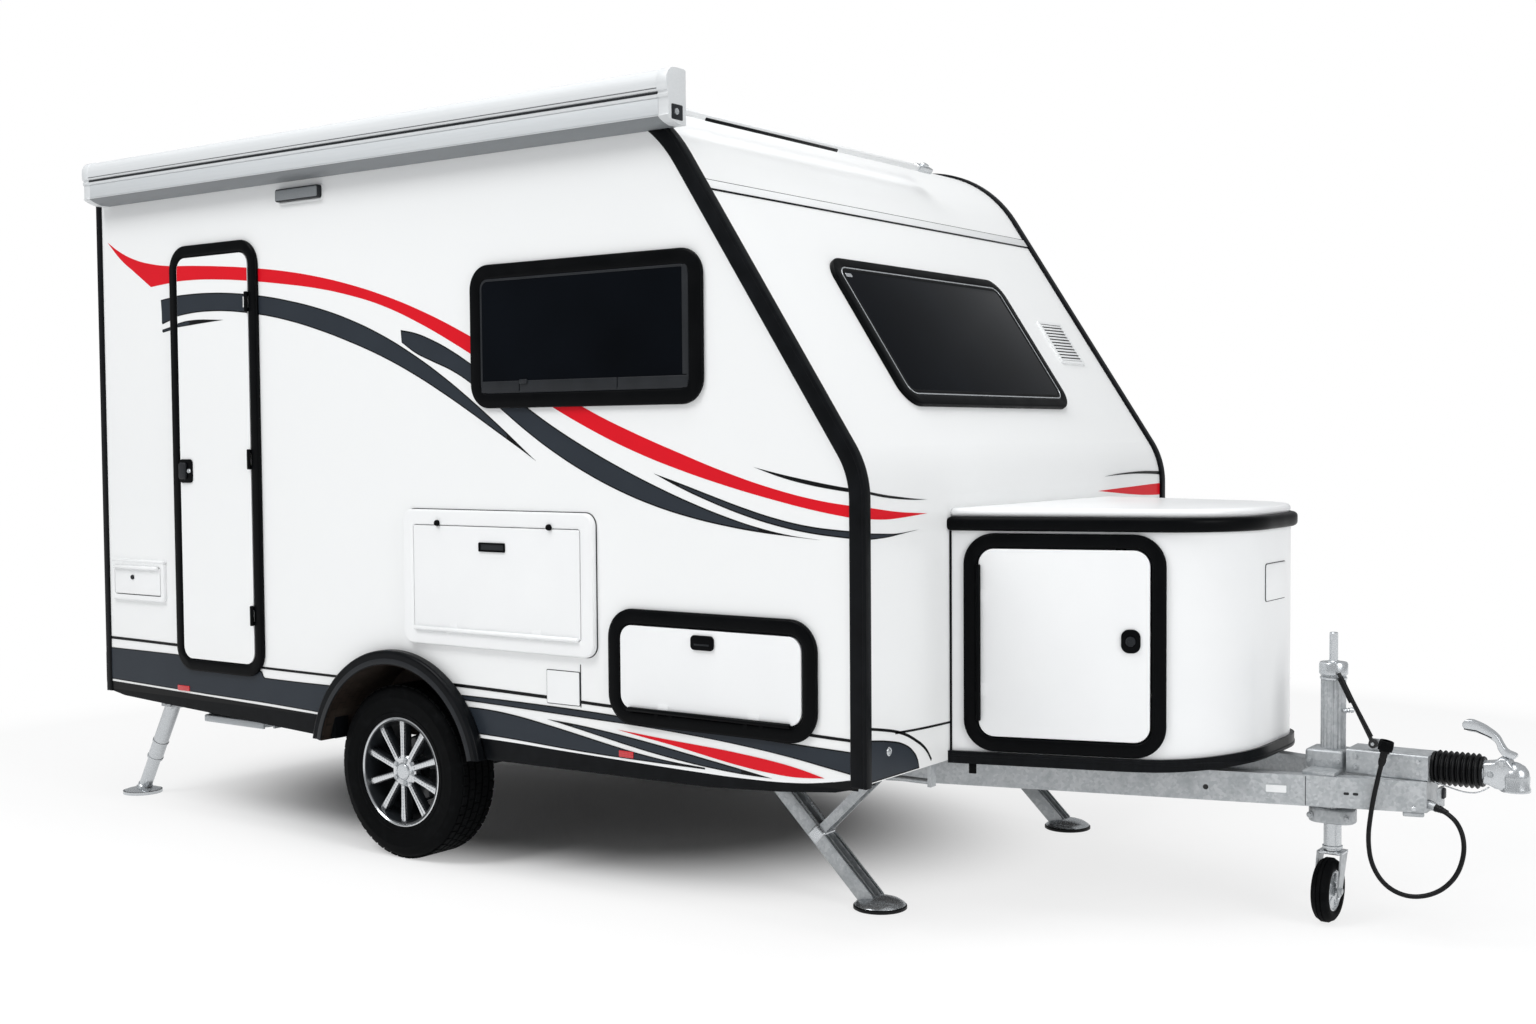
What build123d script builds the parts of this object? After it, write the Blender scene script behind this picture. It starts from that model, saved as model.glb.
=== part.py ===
from build123d import *
import os
from collections import namedtuple
from math import atan2, cos, degrees, hypot, radians, sin, tan

# Camper trailer. Millimetres, +X forward to the tow coupling, +Y to the trailer's left, +Z up.
# The origin is on the ground, under the middle of the trailer with its coupling and legs.

Panel = namedtuple("Panel", "x0 x1 z0 z1 radius")    # a rounded rectangle on a flat wall
RIGHT = -1
LEFT = 1

beyond = 200.0              # further than any cut has to reach
margin = 10.0               # of shapes that are cut to size afterwards
overlap = 1.0               # joined shapes run into each other by this much
least_radius = 6.0          # of the inner corners of frames and leaves

# --- Body shell -------------------------------------------------------------------------------
body_length = 3670.0        # rear wall to front wall, outside
body_width = 2175.0         # over the side walls
body_rear = -2540.0         # outer face of the rear wall
roof_height = 2580.0
floor_height = 480.0        # underside of the floor
floor_thickness = 40.0
wall_thickness = 30.0       # sandwich panels
knee_height = 1390.0        # where the front wall would meet the sloping front
slope_angle = 56.5          # of the sloping front, from level
knee_radius = 280.0
brow_radius = 500.0
tail_radius = 70.0
seam_cut = 100.0            # length of the joint's cut inside and outside the slope
split_ahead = 1000.0        # of the rear wall, where roof and end walls would meet inside
seam_distance = 1048.0      # along the slope from the knee to the roof's front joint
rear_joint_height = 2460.0  # top of the rear wall, under the roof's turned edge

# --- Openings in the side walls; lengths from the rear wall or the front wall -----------------
door_from_rear = 481.0
door_width = 521.0          # over the black frame
door_low = 596.0
door_high = 2246.0
service_from_rear = 60.0
service_width = 342.0
service_low = 855.0
service_high = 1009.0
window_from_front = 570.0
window_width = 980.0
window_low = 1594.0
window_high = 2070.0
hatch_from_front = 1013.0
hatch_width = 872.0
hatch_above_flare = 32.0
hatch_high = 1248.0
locker_from_front = 159.0
locker_width = 796.0
locker_low = 583.0
locker_high = 950.0
frame_radius = 95.0         # outer corners of the door and locker frames
hatch_radius = 40.0
window_radius = 80.0
door_rim = 42.0             # width of the door's black frame
locker_rim = 46.0
hatch_rim = 50.0
service_rim = 18.0
window_rim = 34.0
rim_proud = 14.0            # frames stand this far out of the wall
hatch_proud = 20.0
leaf_gap = 5.0              # around every door and flap
leaf_thickness = 26.0
hinge_proud = 8.0           # hinge line outside the leaf's face
hinge_reach = 22.0          # of a hinge's straps from its pin
hinge_strap = 3.0           # thickness
hinge_knuckle = 40.0        # length of the leaf's knuckle
hinge_end = 14.0            # length of the frame's knuckles, one at each end of it
hinge_radius = 6.0
hinge_pin = 3.0
knuckle_gap = 2.0
hinge_share = 0.38          # of the door's height, from its middle to its outer hinges
service_radius = 12.0
handle_from_hinge = 352.0
handle_width = 73.0
handle_low = 1333.0
handle_high = 1418.0
handle_proud = 9.0
handle_corner = 10.0
pane_thickness = 20.0       # double acrylic
front_window_width = 1080.0
front_window_low = 232.0    # along the slope from the knee
front_window_high = 806.0
rear_window_width = 1200.0
rear_window_low = 1500.0
rear_window_high = 1980.0

# --- Wheels and axle --------------------------------------------------------------------------
axle_from_rear = 1710.0
tyre_diameter = 620.0
tyre_width = 185.0
tyre_inset = 8.0            # tyre's side behind the side wall's face
rim_diameter = 392.0
spoke_count = 10
arch_offset = 22.0          # the arch's middle ahead of the axle
arch_lift = 11.0            # the arch's centre above the axle
arch_room = 71.0            # between the tyre and the arch
flare_width = 50.0
flare_proud = 45.0
wheel_box_thickness = 8.0
tyre_room = 25.0            # between the tyre and its box
axle_ahead = 170.0          # torsion tube ahead of the wheel's centre
axle_tube = 76.0
axle_height = 356.0
stub_radius = 20.0
hub_radius = 62.0
hub_inner = -10.0           # ends of the hub, out from the tyre's middle
hub_outer = 84.0
drum_inner = -90.0
spoke_out = 50.0            # back of the spokes, out from the tyre's middle
spoke_lap = 5.0             # of the spokes into hub and barrel
spoke_width = 15.0
spoke_thickness = 28.0
shoulder_inset = 6.0        # of the tyre's shoulders and beads, behind its widest line
bulge = 22.0                # the tyre is widest this far outside its rim
bead_round = 14.0
shoulder_round = 26.0
bead_seat = 4.0
barrel_wall = 8.0
side_rubber = 14.0          # thickness of the tyre's sides
tread_rubber = 18.0
air_taper = 6.0
air_round = 12.0
flare_round = 12.0
arm_room = 60.0             # between the tyre and its swing arm
arm_thickness = 30.0
stub_reach = 20.0           # of the stub axle beyond the tyre's middle
tube_corner = 14.0
saddle_half = 90.0          # of the brackets that hold the torsion tube
saddle_lap = 12.0
running_gap = 0.5
drum_radius = 118.0

# --- Sills and rear bumper --------------------------------------------------------------------
sill_depth = 60.0
rear_sill_gap = 10.0        # between the rear sill's end and the tyre, along the body
front_sill_gap = 80.0
sill_drop = 78.0            # depth of the sills at the wheel
bumper_proud = 72.0
bumper_low = 470.0
bumper_high = 650.0
lamp_width = 150.0
lamp_height = 110.0
lamp_gap = 4.0              # between bumper and lamps
lamp_inset = 40.0           # from the body's side
lamp_proud = 45.0
bumper_inset = 20.0
bumper_round = 25.0
bumper_corner = 40.0
rear_sill_curve = [(0.0, 4.0), (110.0, 22.0), (280.0, 30.0)]    # ahead of the rear wall, below the floor
front_sill_curve = [(570.0, 66.0), (300.0, 50.0), (100.0, 30.0), (0.0, 6.0)]    # behind the front wall, and below

# --- Chassis and drawbar ----------------------------------------------------------------------
rail_spacing = 1200.0
rail_width = 50.0
rail_height = 78.0
rail_start = 90.0           # rails begin this far ahead of the rear wall
metal = 4.0                 # folded steel
cross_behind = 520.0        # cross member behind the axle
cross_before = 200.0        # cross member ahead of the torsion tube
cross_step = 10.0           # cross members are this much shallower than the rails
beam_spare = 30.0           # length of the beams at each end before they are cut square
beam_height = 92.0
beam_width = 45.0
beam_drop = 16.0            # the beams' top below the floor
drawbar_reach = 1302.0      # the beams' front ends ahead of the front wall
beam_end_half = 64.0        # outer face of a beam at its front end
beam_angle = 15.9
cross_ahead = 560.0         # cross member behind the front wall, where the beams start
housing_high = 539.0
housing_half = 60.0
housing_ahead = 1066.0      # of the front wall
housing_length = 238.0
bellows_length = 145.0
bellows_radius = 52.0
coupling_height = 500.0
coupling_length = 126.0
ball_radius = 25.0
ball_gap = 0.3
ball_behind = 48.0          # the coupling's nose
socket_rise = 22.0
neck_length = 40.0
neck_radius = 34.0
nose_round = 34.0
head_half = 42.0
head_drop = 48.0
head_rise = 52.0
head_round = 14.0
housing_corner = 6.0
fold_count = 7
fold_depth = 12.0
grip_back = [(90.0, 0.0), (58.0, 28.0), (-20.0, 84.0)]    # ahead of the bellows' end, above the head
grip_tip = [(-56.0, 92.0), (-56.0, 62.0)]
grip_front = [(10.0, 28.0), (40.0, 0.0)]
grip_width = 34.0
grip_round = 8.0

# --- Front storage box ------------------------------------------------------------------------
box_half = 586.0            # half width at the front wall
box_taper = 17.0
box_length = 825.0
box_nose_radius = 328.0
box_low = 504.0
box_high = 1196.0
box_rise = 30.0             # the bottom lifts at the nose
box_flat = 500.0            # length of the flat part of the bottom
box_wall = 12.0
lid_overhang = 15.0
lid_thickness = 44.0
lid_crown = 26.0            # the lid's top rises inside its rim
lid_crown_angle = 60.0      # of the rise, from upright
bumper_strip = 32.0         # height of the black strip round the bottom
strip_proud = 14.0
strip_lip = 6.0             # of the strip, up the box's side
strip_width = 60.0          # of the strip under the box
box_door = Panel(46.0, 660.0, 514.0, 1188.0, 95.0)    # along the tapered side, over its frame
box_door_rim = 42.0
box_door_proud = 10.0
box_leaf_thickness = 18.0
past_nose = 60.0            # the bottom's curve runs on this far past the nose
below_box = 100.0           # the box's plan starts this far below its bottom

# --- Jockey wheel -----------------------------------------------------------------------------
jack_ahead = 1008.0         # of the front wall
jack_low = 300.0
jack_high = 782.0
column_radius = 37.0
column_wall = 4.0
stem_radius = 27.0
stem_top = 600.0
cap_radius = 42.0
crank_radius = 13.0
crank_top = 884.0
caster_radius = 98.0
caster_width = 54.0
caster_trail = -42.0
caster_bore = 8.0
caster_round = 18.0
seat_back = 52.0            # plate across the beams, behind and ahead of the column
seat_front = 46.0
seat_inset = 14.0
seat_thickness = 10.0
collar_height = 50.0
collar_wall = 14.0
foot_collar = 45.0
foot_collar_half = 70.0
foot_collar_wall = 8.0
cap_lap = 16.0
cap_rise = 14.0
cap_floor = 10.0
stem_gap = 2.0              # between fork and stem
stem_cap = 20.0
fork_gap = 16.0             # between the caster and its fork's plate
fork_plate = 8.0
fork_room = 6.0             # beside the caster
fork_metal = 5.0
fork_depth = 64.0
kingpin_radius = 12.0
kingpin_height = 40.0
kingpin_lap = 2.0
cheek_radius = 20.0

# --- Handbrake lever --------------------------------------------------------------------------
lever_ahead = 1143.0        # of the front wall
lever_z = 560.0
lever_y = -50.0
lever_length = 230.0
lever_angle = 63.0
lever_radius = 6.0
lever_boss = 13.0
lever_pin = 5.0
pin_head = 4.0
ear_half = 16.0             # of the ear that holds the lever
ear_thickness = 8.0
ear_above = 14.0            # the lever's pin
lever_gap = 3.0

# --- Corner legs ------------------------------------------------------------------------------
front_leg_behind = 640.0    # pivot behind the front wall
front_leg_half = 675.0
front_leg_height = 422.0
front_leg_reach = 436.0     # foot ahead of the pivot
leg_width = 46.0
leg_thickness = 26.0
brace_arm = 300.0
pad_radius = 62.0
pad_thickness = 12.0
spindle_radius = 9.0
rear_leg_ahead = 138.0      # pivot ahead of the rear wall
rear_leg_half = 874.0
rear_leg_height = 408.0
rear_leg_reach = 233.0      # foot behind the pivot
rear_tube = 31.0
rear_pad_radius = 80.0
leg_metal = 4.0
brace_gap = 4.0
brace_metal = 6.0
pin_radius = 8.0
boss_radius = 15.0
spindle_gap = 3.0
tie_radius = 6.0
rear_sleeve = 290.0         # length of the rear legs' outer tube
rear_tube_wall = 3.0
rear_tube_closed = 20.0     # solid length at the pivot
inner_start = 200.0         # top of the inner tube, from the pivot
inner_gap = 1.5
bracket_gap = 5.0           # beside a leg
bracket_plate = 6.0
bracket_length = 60.0
bracket_low = 16.0          # below the pivot
hanger = 12.0               # bearing of a front leg's spindle
hanger_gap = 4.0
hanger_half = 16.0
hanger_drop = 14.0

# --- Awning, light, step, cable ---------------------------------------------------------------
awning_depth = 96.0
awning_low = 2440.0
awning_high = 2610.0
awning_from_rear = 40.0
awning_to_front = 630.0
light_from_rear = 1132.0
light_width = 238.0
light_low = 2366.0
light_high = 2413.0
step_width = 370.0
step_ahead = 23.0           # the step's middle ahead of the door's
step_depth = 230.0
step_low = 396.0
step_thickness = 18.0
step_inset = 30.0           # behind the side wall's face
step_corner = 30.0
runner_gap = 5.0            # between the step and its runners
runner_width = 10.0
runner_room = 6.0           # between the runners and the sill
runner_behind = 60.0        # the step
runner_drop = 6.0
awning_round = 45.0
awning_edge = 12.0
light_proud = 24.0
light_round = 10.0
cable_radius = 7.0
arc_share = 0.45            # of a run, given to the arc at its end
gland_wall = 6.0
gland_length = 40.0
plug_neck_radius = 11.0
plug_neck_length = 42.0
plug_radius = 21.0
plug_shell_start = 36.0
plug_length = 66.0

# --- Worked out from the above ----------------------------------------------------------------
body_front = body_rear + body_length
half_width = body_width / 2
inner_half = half_width - wall_thickness
floor_top = floor_height + floor_thickness
axle_x = body_rear + axle_from_rear
axle_z = tyre_diameter / 2
wheel_y = half_width - tyre_inset - tyre_width / 2
arch_x = axle_x + arch_offset
arch_height = axle_z + arch_lift
arch_radius = axle_z + arch_room
hatch_low = arch_height + arch_radius + flare_width + hatch_above_flare
slope = radians(slope_angle)
door_x = body_rear + door_from_rear
door = Panel(door_x, door_x + door_width, door_low, door_high, frame_radius)
service_x = body_rear + service_from_rear
service = Panel(service_x, service_x + service_width, service_low, service_high, service_radius)
window = Panel(body_front - window_from_front - window_width, body_front - window_from_front,
               window_low, window_high, window_radius)
hatch = Panel(body_front - hatch_from_front - hatch_width, body_front - hatch_from_front,
              hatch_low, hatch_high, hatch_radius)
locker = Panel(body_front - locker_from_front - locker_width, body_front - locker_from_front,
               locker_low, locker_high, frame_radius)
taper = radians(box_taper)
box_nose_x = body_front + box_length
beam_low = floor_height - beam_drop - beam_height
beam_end_x = body_front + drawbar_reach
housing_low = beam_low + beam_height
housing_start = body_front + housing_ahead
housing_end = housing_start + housing_length
bellows_end = housing_end + bellows_length
coupling_nose = bellows_end + coupling_length
jack_x = body_front + jack_ahead
lever_x = body_front + lever_ahead
beam_turn = radians(beam_angle)
cross_x = body_front - cross_ahead


def leaf_of(panel, rim):
    """The leaf inside a frame, with its running gap."""
    inset = rim + leaf_gap
    radius = max(panel.radius - inset, least_radius)
    return Panel(panel.x0 + inset, panel.x1 - inset, panel.z0 + inset, panel.z1 - inset, radius)


def opening_of(panel, rim):
    """The clear opening inside a frame."""
    radius = max(panel.radius - rim, least_radius)
    return Panel(panel.x0 + rim, panel.x1 - rim, panel.z0 + rim, panel.z1 - rim, radius)


def outline(panel):
    """Draw a panel's rounded rectangle in the current sketch."""
    with Locations(((panel.x0 + panel.x1) / 2, (panel.z0 + panel.z1) / 2)):
        RectangleRounded(panel.x1 - panel.x0, panel.z1 - panel.z0, panel.radius)


def cut_outline(panel):
    """Cut a panel's rounded rectangle from the current sketch."""
    with Locations(((panel.x0 + panel.x1) / 2, (panel.z0 + panel.z1) / 2)):
        RectangleRounded(panel.x1 - panel.x0, panel.z1 - panel.z0, panel.radius, mode=Mode.SUBTRACT)


def side_plane(side, distance):
    """A plane facing out of a side wall, its x along the body and its y up (mirrored on the left)."""
    return Plane(origin=(0, side * distance, 0), x_dir=(1, 0, 0), z_dir=(0, -1, 0))


def outwards(side, amount):
    """Extrusion length, from a side plane, that leads out of the body on that side."""
    return -side * amount


def block(x, y, z, mode=Mode.ADD):
    """A box between two corners, each axis given as (low, high)."""
    with Locations(((x[0] + x[1]) / 2, (y[0] + y[1]) / 2, (z[0] + z[1]) / 2)):
        Box(x[1] - x[0], y[1] - y[0], z[1] - z[0], mode=mode)


def rod(start, end, radius, mode=Mode.ADD):
    """A round bar from start to end."""
    start = Vector(*start)
    line = Vector(*end) - start
    with BuildSketch(Plane(origin=start, z_dir=line)) as section:
        Circle(radius)
    extrude(section.sketch, amount=line.length, mode=mode)


def add_hinges(axis_middle, into, out, offsets, moving):
    """Hinges on an axis: the leaf's knuckle and strap, or the frame's two and their pin."""
    base = Plane(origin=axis_middle - out * (hinge_proud + overlap), x_dir=into, z_dir=out)
    clear = hinge_knuckle / 2 + knuckle_gap
    leaf_spans = [(-hinge_knuckle / 2, hinge_knuckle / 2)]
    frame_spans = [(-clear - hinge_end, -clear), (clear, clear + hinge_end)]
    strap_middle = hinge_reach / 2 + overlap
    for offset in offsets:
        middle = axis_middle + base.y_dir * offset
        for low, high in leaf_spans if moving else frame_spans:
            with BuildSketch(base) as strap:
                with Locations((strap_middle if moving else -strap_middle, offset + (low + high) / 2)):
                    Rectangle(hinge_reach, high - low)
            extrude(strap.sketch, amount=hinge_strap + overlap)
            rod(middle + base.y_dir * low, middle + base.y_dir * high, hinge_radius)
        pin_end = base.y_dir * (clear if moving else clear + overlap)
        if moving:
            rod(middle - pin_end, middle + pin_end, hinge_pin + running_gap, mode=Mode.SUBTRACT)
        else:
            rod(middle - pin_end, middle + pin_end, hinge_pin)


def wall_hinges(side, panel, rim, proud, edge, moving):
    """Hinges of a leaf in a side wall, on its front, bottom or top edge."""
    leaf = leaf_of(panel, rim)
    y = side * (half_width + proud + hinge_proud)
    out = Vector(0, side, 0)
    if edge == "front":
        apart = (leaf.z1 - leaf.z0) * hinge_share
        middle = Vector(leaf.x1, y, (leaf.z0 + leaf.z1) / 2)
        add_hinges(middle, Vector(-1, 0, 0), out, (-apart, 0, apart), moving)
    else:
        apart = (leaf.x1 - leaf.x0) / 4
        z, way = (leaf.z0, 1) if edge == "bottom" else (leaf.z1, -1)
        middle = Vector((leaf.x0 + leaf.x1) / 2, y, z)
        add_hinges(middle, Vector(0, 0, way), out, (-apart, apart), moving)


def save(piece, name):
    """Label a finished piece and write its STEP file."""
    piece.part.label = name
    export_step(piece.part, f"parts/{name}.step")


os.makedirs("parts", exist_ok=True)

# --- Body shell -------------------------------------------------------------------------------


def profile_points(inset):
    """Corners of the side profile moved inwards: tail, brow and knee."""
    brow_run = (roof_height - knee_height - inset * (1 - cos(slope))) / sin(slope)
    knee_run = inset * (1 - sin(slope)) / cos(slope)
    brow_x = body_front - inset * sin(slope) - brow_run * cos(slope)
    knee_z = knee_height - inset * cos(slope) + knee_run * sin(slope)
    top_z = roof_height - inset
    return [(body_rear + inset, top_z), (brow_x, top_z), (body_front - inset, knee_z)]


def body_outline(inset, low, mode=Mode.ADD):
    """Draw the side profile, from a low edge up, in the current sketch."""
    corners = profile_points(inset)
    with BuildLine() as profile:
        FilletPolyline((body_rear + inset, low), *corners, (body_front - inset, low),
                       radius=[tail_radius - inset, brow_radius - inset, knee_radius - inset])
        Line((body_front - inset, low), (body_rear + inset, low))
    make_face(profile.edges(), mode=mode)


def on_slope(distance, depth=0.0):
    """Point (x, z) on the sloping front, a distance up from the knee and a depth inside."""
    x = body_front - distance * cos(slope) - depth * sin(slope)
    z = knee_height + distance * sin(slope) - depth * cos(slope)
    return (x, z)


seam_out = on_slope(seam_distance, -seam_cut)
seam_in = on_slope(seam_distance, seam_cut)
split_x = body_rear + split_ahead
shell_length = inner_half * 2


def shell_piece(region, window_plane=None, window_panel=None):
    """The part of the roof and end walls' ring inside a region of the side view, with its window cut."""
    with BuildPart() as piece:
        with BuildSketch(Plane.XZ.offset(-inner_half)):
            body_outline(0.0, floor_height)
            body_outline(wall_thickness, floor_height - wall_thickness, mode=Mode.SUBTRACT)
            with BuildLine():
                Polyline(*region, close=True)
            make_face(mode=Mode.INTERSECT)
        extrude(amount=shell_length)
        if window_panel is not None:
            with BuildSketch(window_plane):
                outline(opening_of(window_panel, window_rim))
            extrude(amount=-wall_thickness * 2, mode=Mode.SUBTRACT)
    return piece


slope_plane = Plane(origin=(body_front, 0, knee_height), x_dir=(0, 1, 0), z_dir=(sin(slope), 0, cos(slope)))
front_half = front_window_width / 2
front_window = Panel(-front_half, front_half, front_window_low, front_window_high, window_radius)
rear_plane = Plane(origin=(body_rear, 0, 0), x_dir=(0, -1, 0), z_dir=(-1, 0, 0))
rear_half = rear_window_width / 2
rear_window = Panel(-rear_half, rear_half, rear_window_low, rear_window_high, window_radius)

ahead_of_body = body_front + beyond
behind_body = body_rear - beyond
front_region = [seam_in, seam_out, (ahead_of_body, seam_out[1]), (ahead_of_body, 0), (split_x, 0),
                (split_x, rear_joint_height)]
front_wall = shell_piece(front_region, slope_plane, front_window)
save(front_wall, "front_wall")

roof_region = [(behind_body, rear_joint_height), (split_x, rear_joint_height), seam_in, seam_out,
               (body_front, roof_height + beyond), (behind_body, roof_height + beyond)]
roof = shell_piece(roof_region)
save(roof, "roof")

rear_region = [(behind_body, 0), (split_x, 0), (split_x, rear_joint_height), (behind_body, rear_joint_height)]
rear_wall = shell_piece(rear_region, rear_plane, rear_window)
save(rear_wall, "rear_wall")


def side_wall(side, cut_panels):
    """One side wall with its wheel arch and openings."""
    with BuildPart() as wall:
        with BuildSketch(side_plane(side, inner_half)):
            body_outline(0.0, floor_height)
            for panel in cut_panels:
                cut_outline(panel)
            with Locations((arch_x, arch_height)):
                Circle(arch_radius, mode=Mode.SUBTRACT)
        extrude(amount=outwards(side, wall_thickness))
    return wall


right_openings = [door, opening_of(service, service_rim), opening_of(window, window_rim), hatch, locker]
left_openings = [opening_of(window, window_rim), locker]
save(side_wall(RIGHT, right_openings), "side_wall_right")
save(side_wall(LEFT, left_openings), "side_wall_left")

box_inner_y = wheel_y - tyre_width / 2 - tyre_room - wheel_box_thickness
box_outer_radius = arch_radius + wheel_box_thickness

with BuildPart() as floor:
    block((body_rear + wall_thickness, body_front - wall_thickness), (-inner_half, inner_half),
          (floor_height, floor_top))
    for side in (RIGHT, LEFT):
        with BuildSketch(side_plane(side, box_inner_y)) as box_end:
            with Locations((arch_x, arch_height)):
                Circle(box_outer_radius)
        extrude(box_end.sketch, amount=outwards(side, inner_half - box_inner_y))
        with BuildSketch(side_plane(side, box_inner_y + wheel_box_thickness)) as box_room:
            with Locations((arch_x, arch_height)):
                Circle(arch_radius)
        extrude(box_room.sketch, amount=outwards(side, inner_half), mode=Mode.SUBTRACT)
    block((body_rear, body_front), (-half_width, half_width), (-tyre_diameter, floor_height),
          mode=Mode.SUBTRACT)
save(floor, "floor")

# --- Door, flaps and windows ------------------------------------------------------------------


def add_frame(side, panel, rim, proud):
    """A frame through a side wall, standing proud of it, in the current part."""
    with BuildSketch(side_plane(side, inner_half)) as ring:
        outline(panel)
        cut_outline(opening_of(panel, rim))
    extrude(ring.sketch, amount=outwards(side, wall_thickness + proud))


def add_leaf(side, panel, rim, proud):
    """The leaf that fills a frame, its face level with the frame's, in the current part."""
    with BuildSketch(side_plane(side, half_width + proud - leaf_thickness)) as face:
        outline(leaf_of(panel, rim))
    extrude(face.sketch, amount=outwards(side, leaf_thickness))


with BuildPart() as door_frames:
    add_frame(RIGHT, door, door_rim, rim_proud)
    wall_hinges(RIGHT, door, door_rim, rim_proud, "front", moving=False)
    for side in (RIGHT, LEFT):
        add_frame(side, locker, locker_rim, rim_proud)
        wall_hinges(side, locker, locker_rim, rim_proud, "bottom", moving=False)
save(door_frames, "door_frames")

with BuildPart() as entrance_door:
    add_leaf(RIGHT, door, door_rim, rim_proud)
    wall_hinges(RIGHT, door, door_rim, rim_proud, "front", moving=True)
save(entrance_door, "entrance_door")

door_leaf = leaf_of(door, door_rim)
door_face = half_width + rim_proud
with BuildPart() as door_handle:
    handle_x = door_leaf.x1 - handle_from_hinge
    block((handle_x - handle_width, handle_x), (-door_face - handle_proud, -door_face),
          (handle_low, handle_high))
    fillet(door_handle.edges().filter_by(Axis.Y), radius=handle_corner)
save(door_handle, "door_handle")

with BuildPart() as hatch_frames:
    add_frame(RIGHT, hatch, hatch_rim, hatch_proud)
    wall_hinges(RIGHT, hatch, hatch_rim, hatch_proud, "bottom", moving=False)
    with BuildSketch(side_plane(RIGHT, half_width)) as service_ring:
        outline(service)
        cut_outline(opening_of(service, service_rim))
    extrude(service_ring.sketch, amount=outwards(RIGHT, rim_proud))
    wall_hinges(RIGHT, service, service_rim, rim_proud, "top", moving=False)
save(hatch_frames, "hatch_frames")

with BuildPart() as hatch_flap:
    add_leaf(RIGHT, hatch, hatch_rim, hatch_proud)
    wall_hinges(RIGHT, hatch, hatch_rim, hatch_proud, "bottom", moving=True)
save(hatch_flap, "hatch_flap")

for side, name in ((RIGHT, "locker_flap_right"), (LEFT, "locker_flap_left")):
    with BuildPart() as locker_flap:
        add_leaf(side, locker, locker_rim, rim_proud)
        wall_hinges(side, locker, locker_rim, rim_proud, "bottom", moving=True)
    save(locker_flap, name)

with BuildPart() as service_flap:
    add_leaf(RIGHT, service, service_rim, rim_proud)
    wall_hinges(RIGHT, service, service_rim, rim_proud, "top", moving=True)
save(service_flap, "service_flap")

with BuildPart() as window_frames:
    for side in (RIGHT, LEFT):
        with BuildSketch(side_plane(side, half_width)) as ring:
            outline(window)
            cut_outline(opening_of(window, window_rim))
        extrude(ring.sketch, amount=outwards(side, rim_proud))
    for plane, panel in ((slope_plane, front_window), (rear_plane, rear_window)):
        with BuildSketch(plane) as ring:
            outline(panel)
            cut_outline(opening_of(panel, window_rim))
        extrude(ring.sketch, amount=rim_proud)
save(window_frames, "window_frames")

with BuildPart() as window_panes:
    for side in (RIGHT, LEFT):
        with BuildSketch(side_plane(side, half_width + rim_proud - pane_thickness)) as pane:
            outline(opening_of(window, window_rim))
        extrude(pane.sketch, amount=outwards(side, pane_thickness))
    for plane, panel in ((slope_plane, front_window), (rear_plane, rear_window)):
        with BuildSketch(plane.offset(rim_proud - pane_thickness)) as pane:
            outline(opening_of(panel, window_rim))
        extrude(pane.sketch, amount=pane_thickness)
save(window_panes, "window_panes")

# --- Sills, arches, bumper and lamps ----------------------------------------------------------

sill_top = floor_height
sill_end = sill_top - sill_drop
rear_sill_x = axle_x - axle_z - rear_sill_gap
front_sill_x = axle_x + axle_z + front_sill_gap
rear_sill = [(body_rear + ahead, sill_top - drop) for ahead, drop in rear_sill_curve]
rear_sill = [(body_rear, sill_top), *rear_sill, (rear_sill_x, sill_end), (rear_sill_x, sill_top)]
front_sill = [(body_front - behind, sill_top - drop) for behind, drop in front_sill_curve]
front_sill = [(front_sill_x, sill_top), (front_sill_x, sill_end), *front_sill, (body_front, sill_top)]
with BuildPart() as sills:
    for side in (RIGHT, LEFT):
        with BuildSketch(side_plane(side, half_width - sill_depth)) as section:
            for points in (rear_sill, front_sill):
                with BuildLine() as edge:
                    Polyline(*points, close=True)
                make_face(edge.edges())
        extrude(section.sketch, amount=outwards(side, sill_depth))
save(sills, "sills")

flare_outer = arch_radius + flare_width
with BuildPart() as arch_flares:
    for side in (RIGHT, LEFT):
        with BuildSketch(side_plane(side, half_width)) as ring:
            with Locations((arch_x, arch_height)):
                Circle(flare_outer)
                Circle(arch_radius, mode=Mode.SUBTRACT)
        extrude(ring.sketch, amount=outwards(side, flare_proud))
    fillet(arch_flares.edges().filter_by(GeomType.CIRCLE).group_by(SortBy.RADIUS)[-1], radius=flare_round)
    block((body_rear, body_front), (-body_width, body_width), (-tyre_diameter, sill_end),
          mode=Mode.SUBTRACT)
save(arch_flares, "arch_flares")

with BuildPart() as rear_bumper:
    block((body_rear - bumper_proud, body_rear), (bumper_inset - half_width, half_width - bumper_inset),
          (bumper_low, bumper_high))
    fillet(rear_bumper.edges().filter_by(Axis.Y).group_by(Axis.X)[0], radius=bumper_round)
    fillet(rear_bumper.edges().filter_by(Axis.Z).group_by(Axis.X)[0], radius=bumper_corner)
save(rear_bumper, "rear_bumper")

lamp_low = bumper_high + lamp_gap
with BuildPart() as rear_lamps:
    for side in (RIGHT, LEFT):
        edge_y = side * (half_width - lamp_inset)
        inner_y = side * (half_width - lamp_inset - lamp_width)
        block((body_rear - lamp_proud, body_rear), sorted((edge_y, inner_y)),
              (lamp_low, lamp_low + lamp_height))
save(rear_lamps, "rear_lamps")

# --- Chassis and axle -------------------------------------------------------------------------

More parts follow.
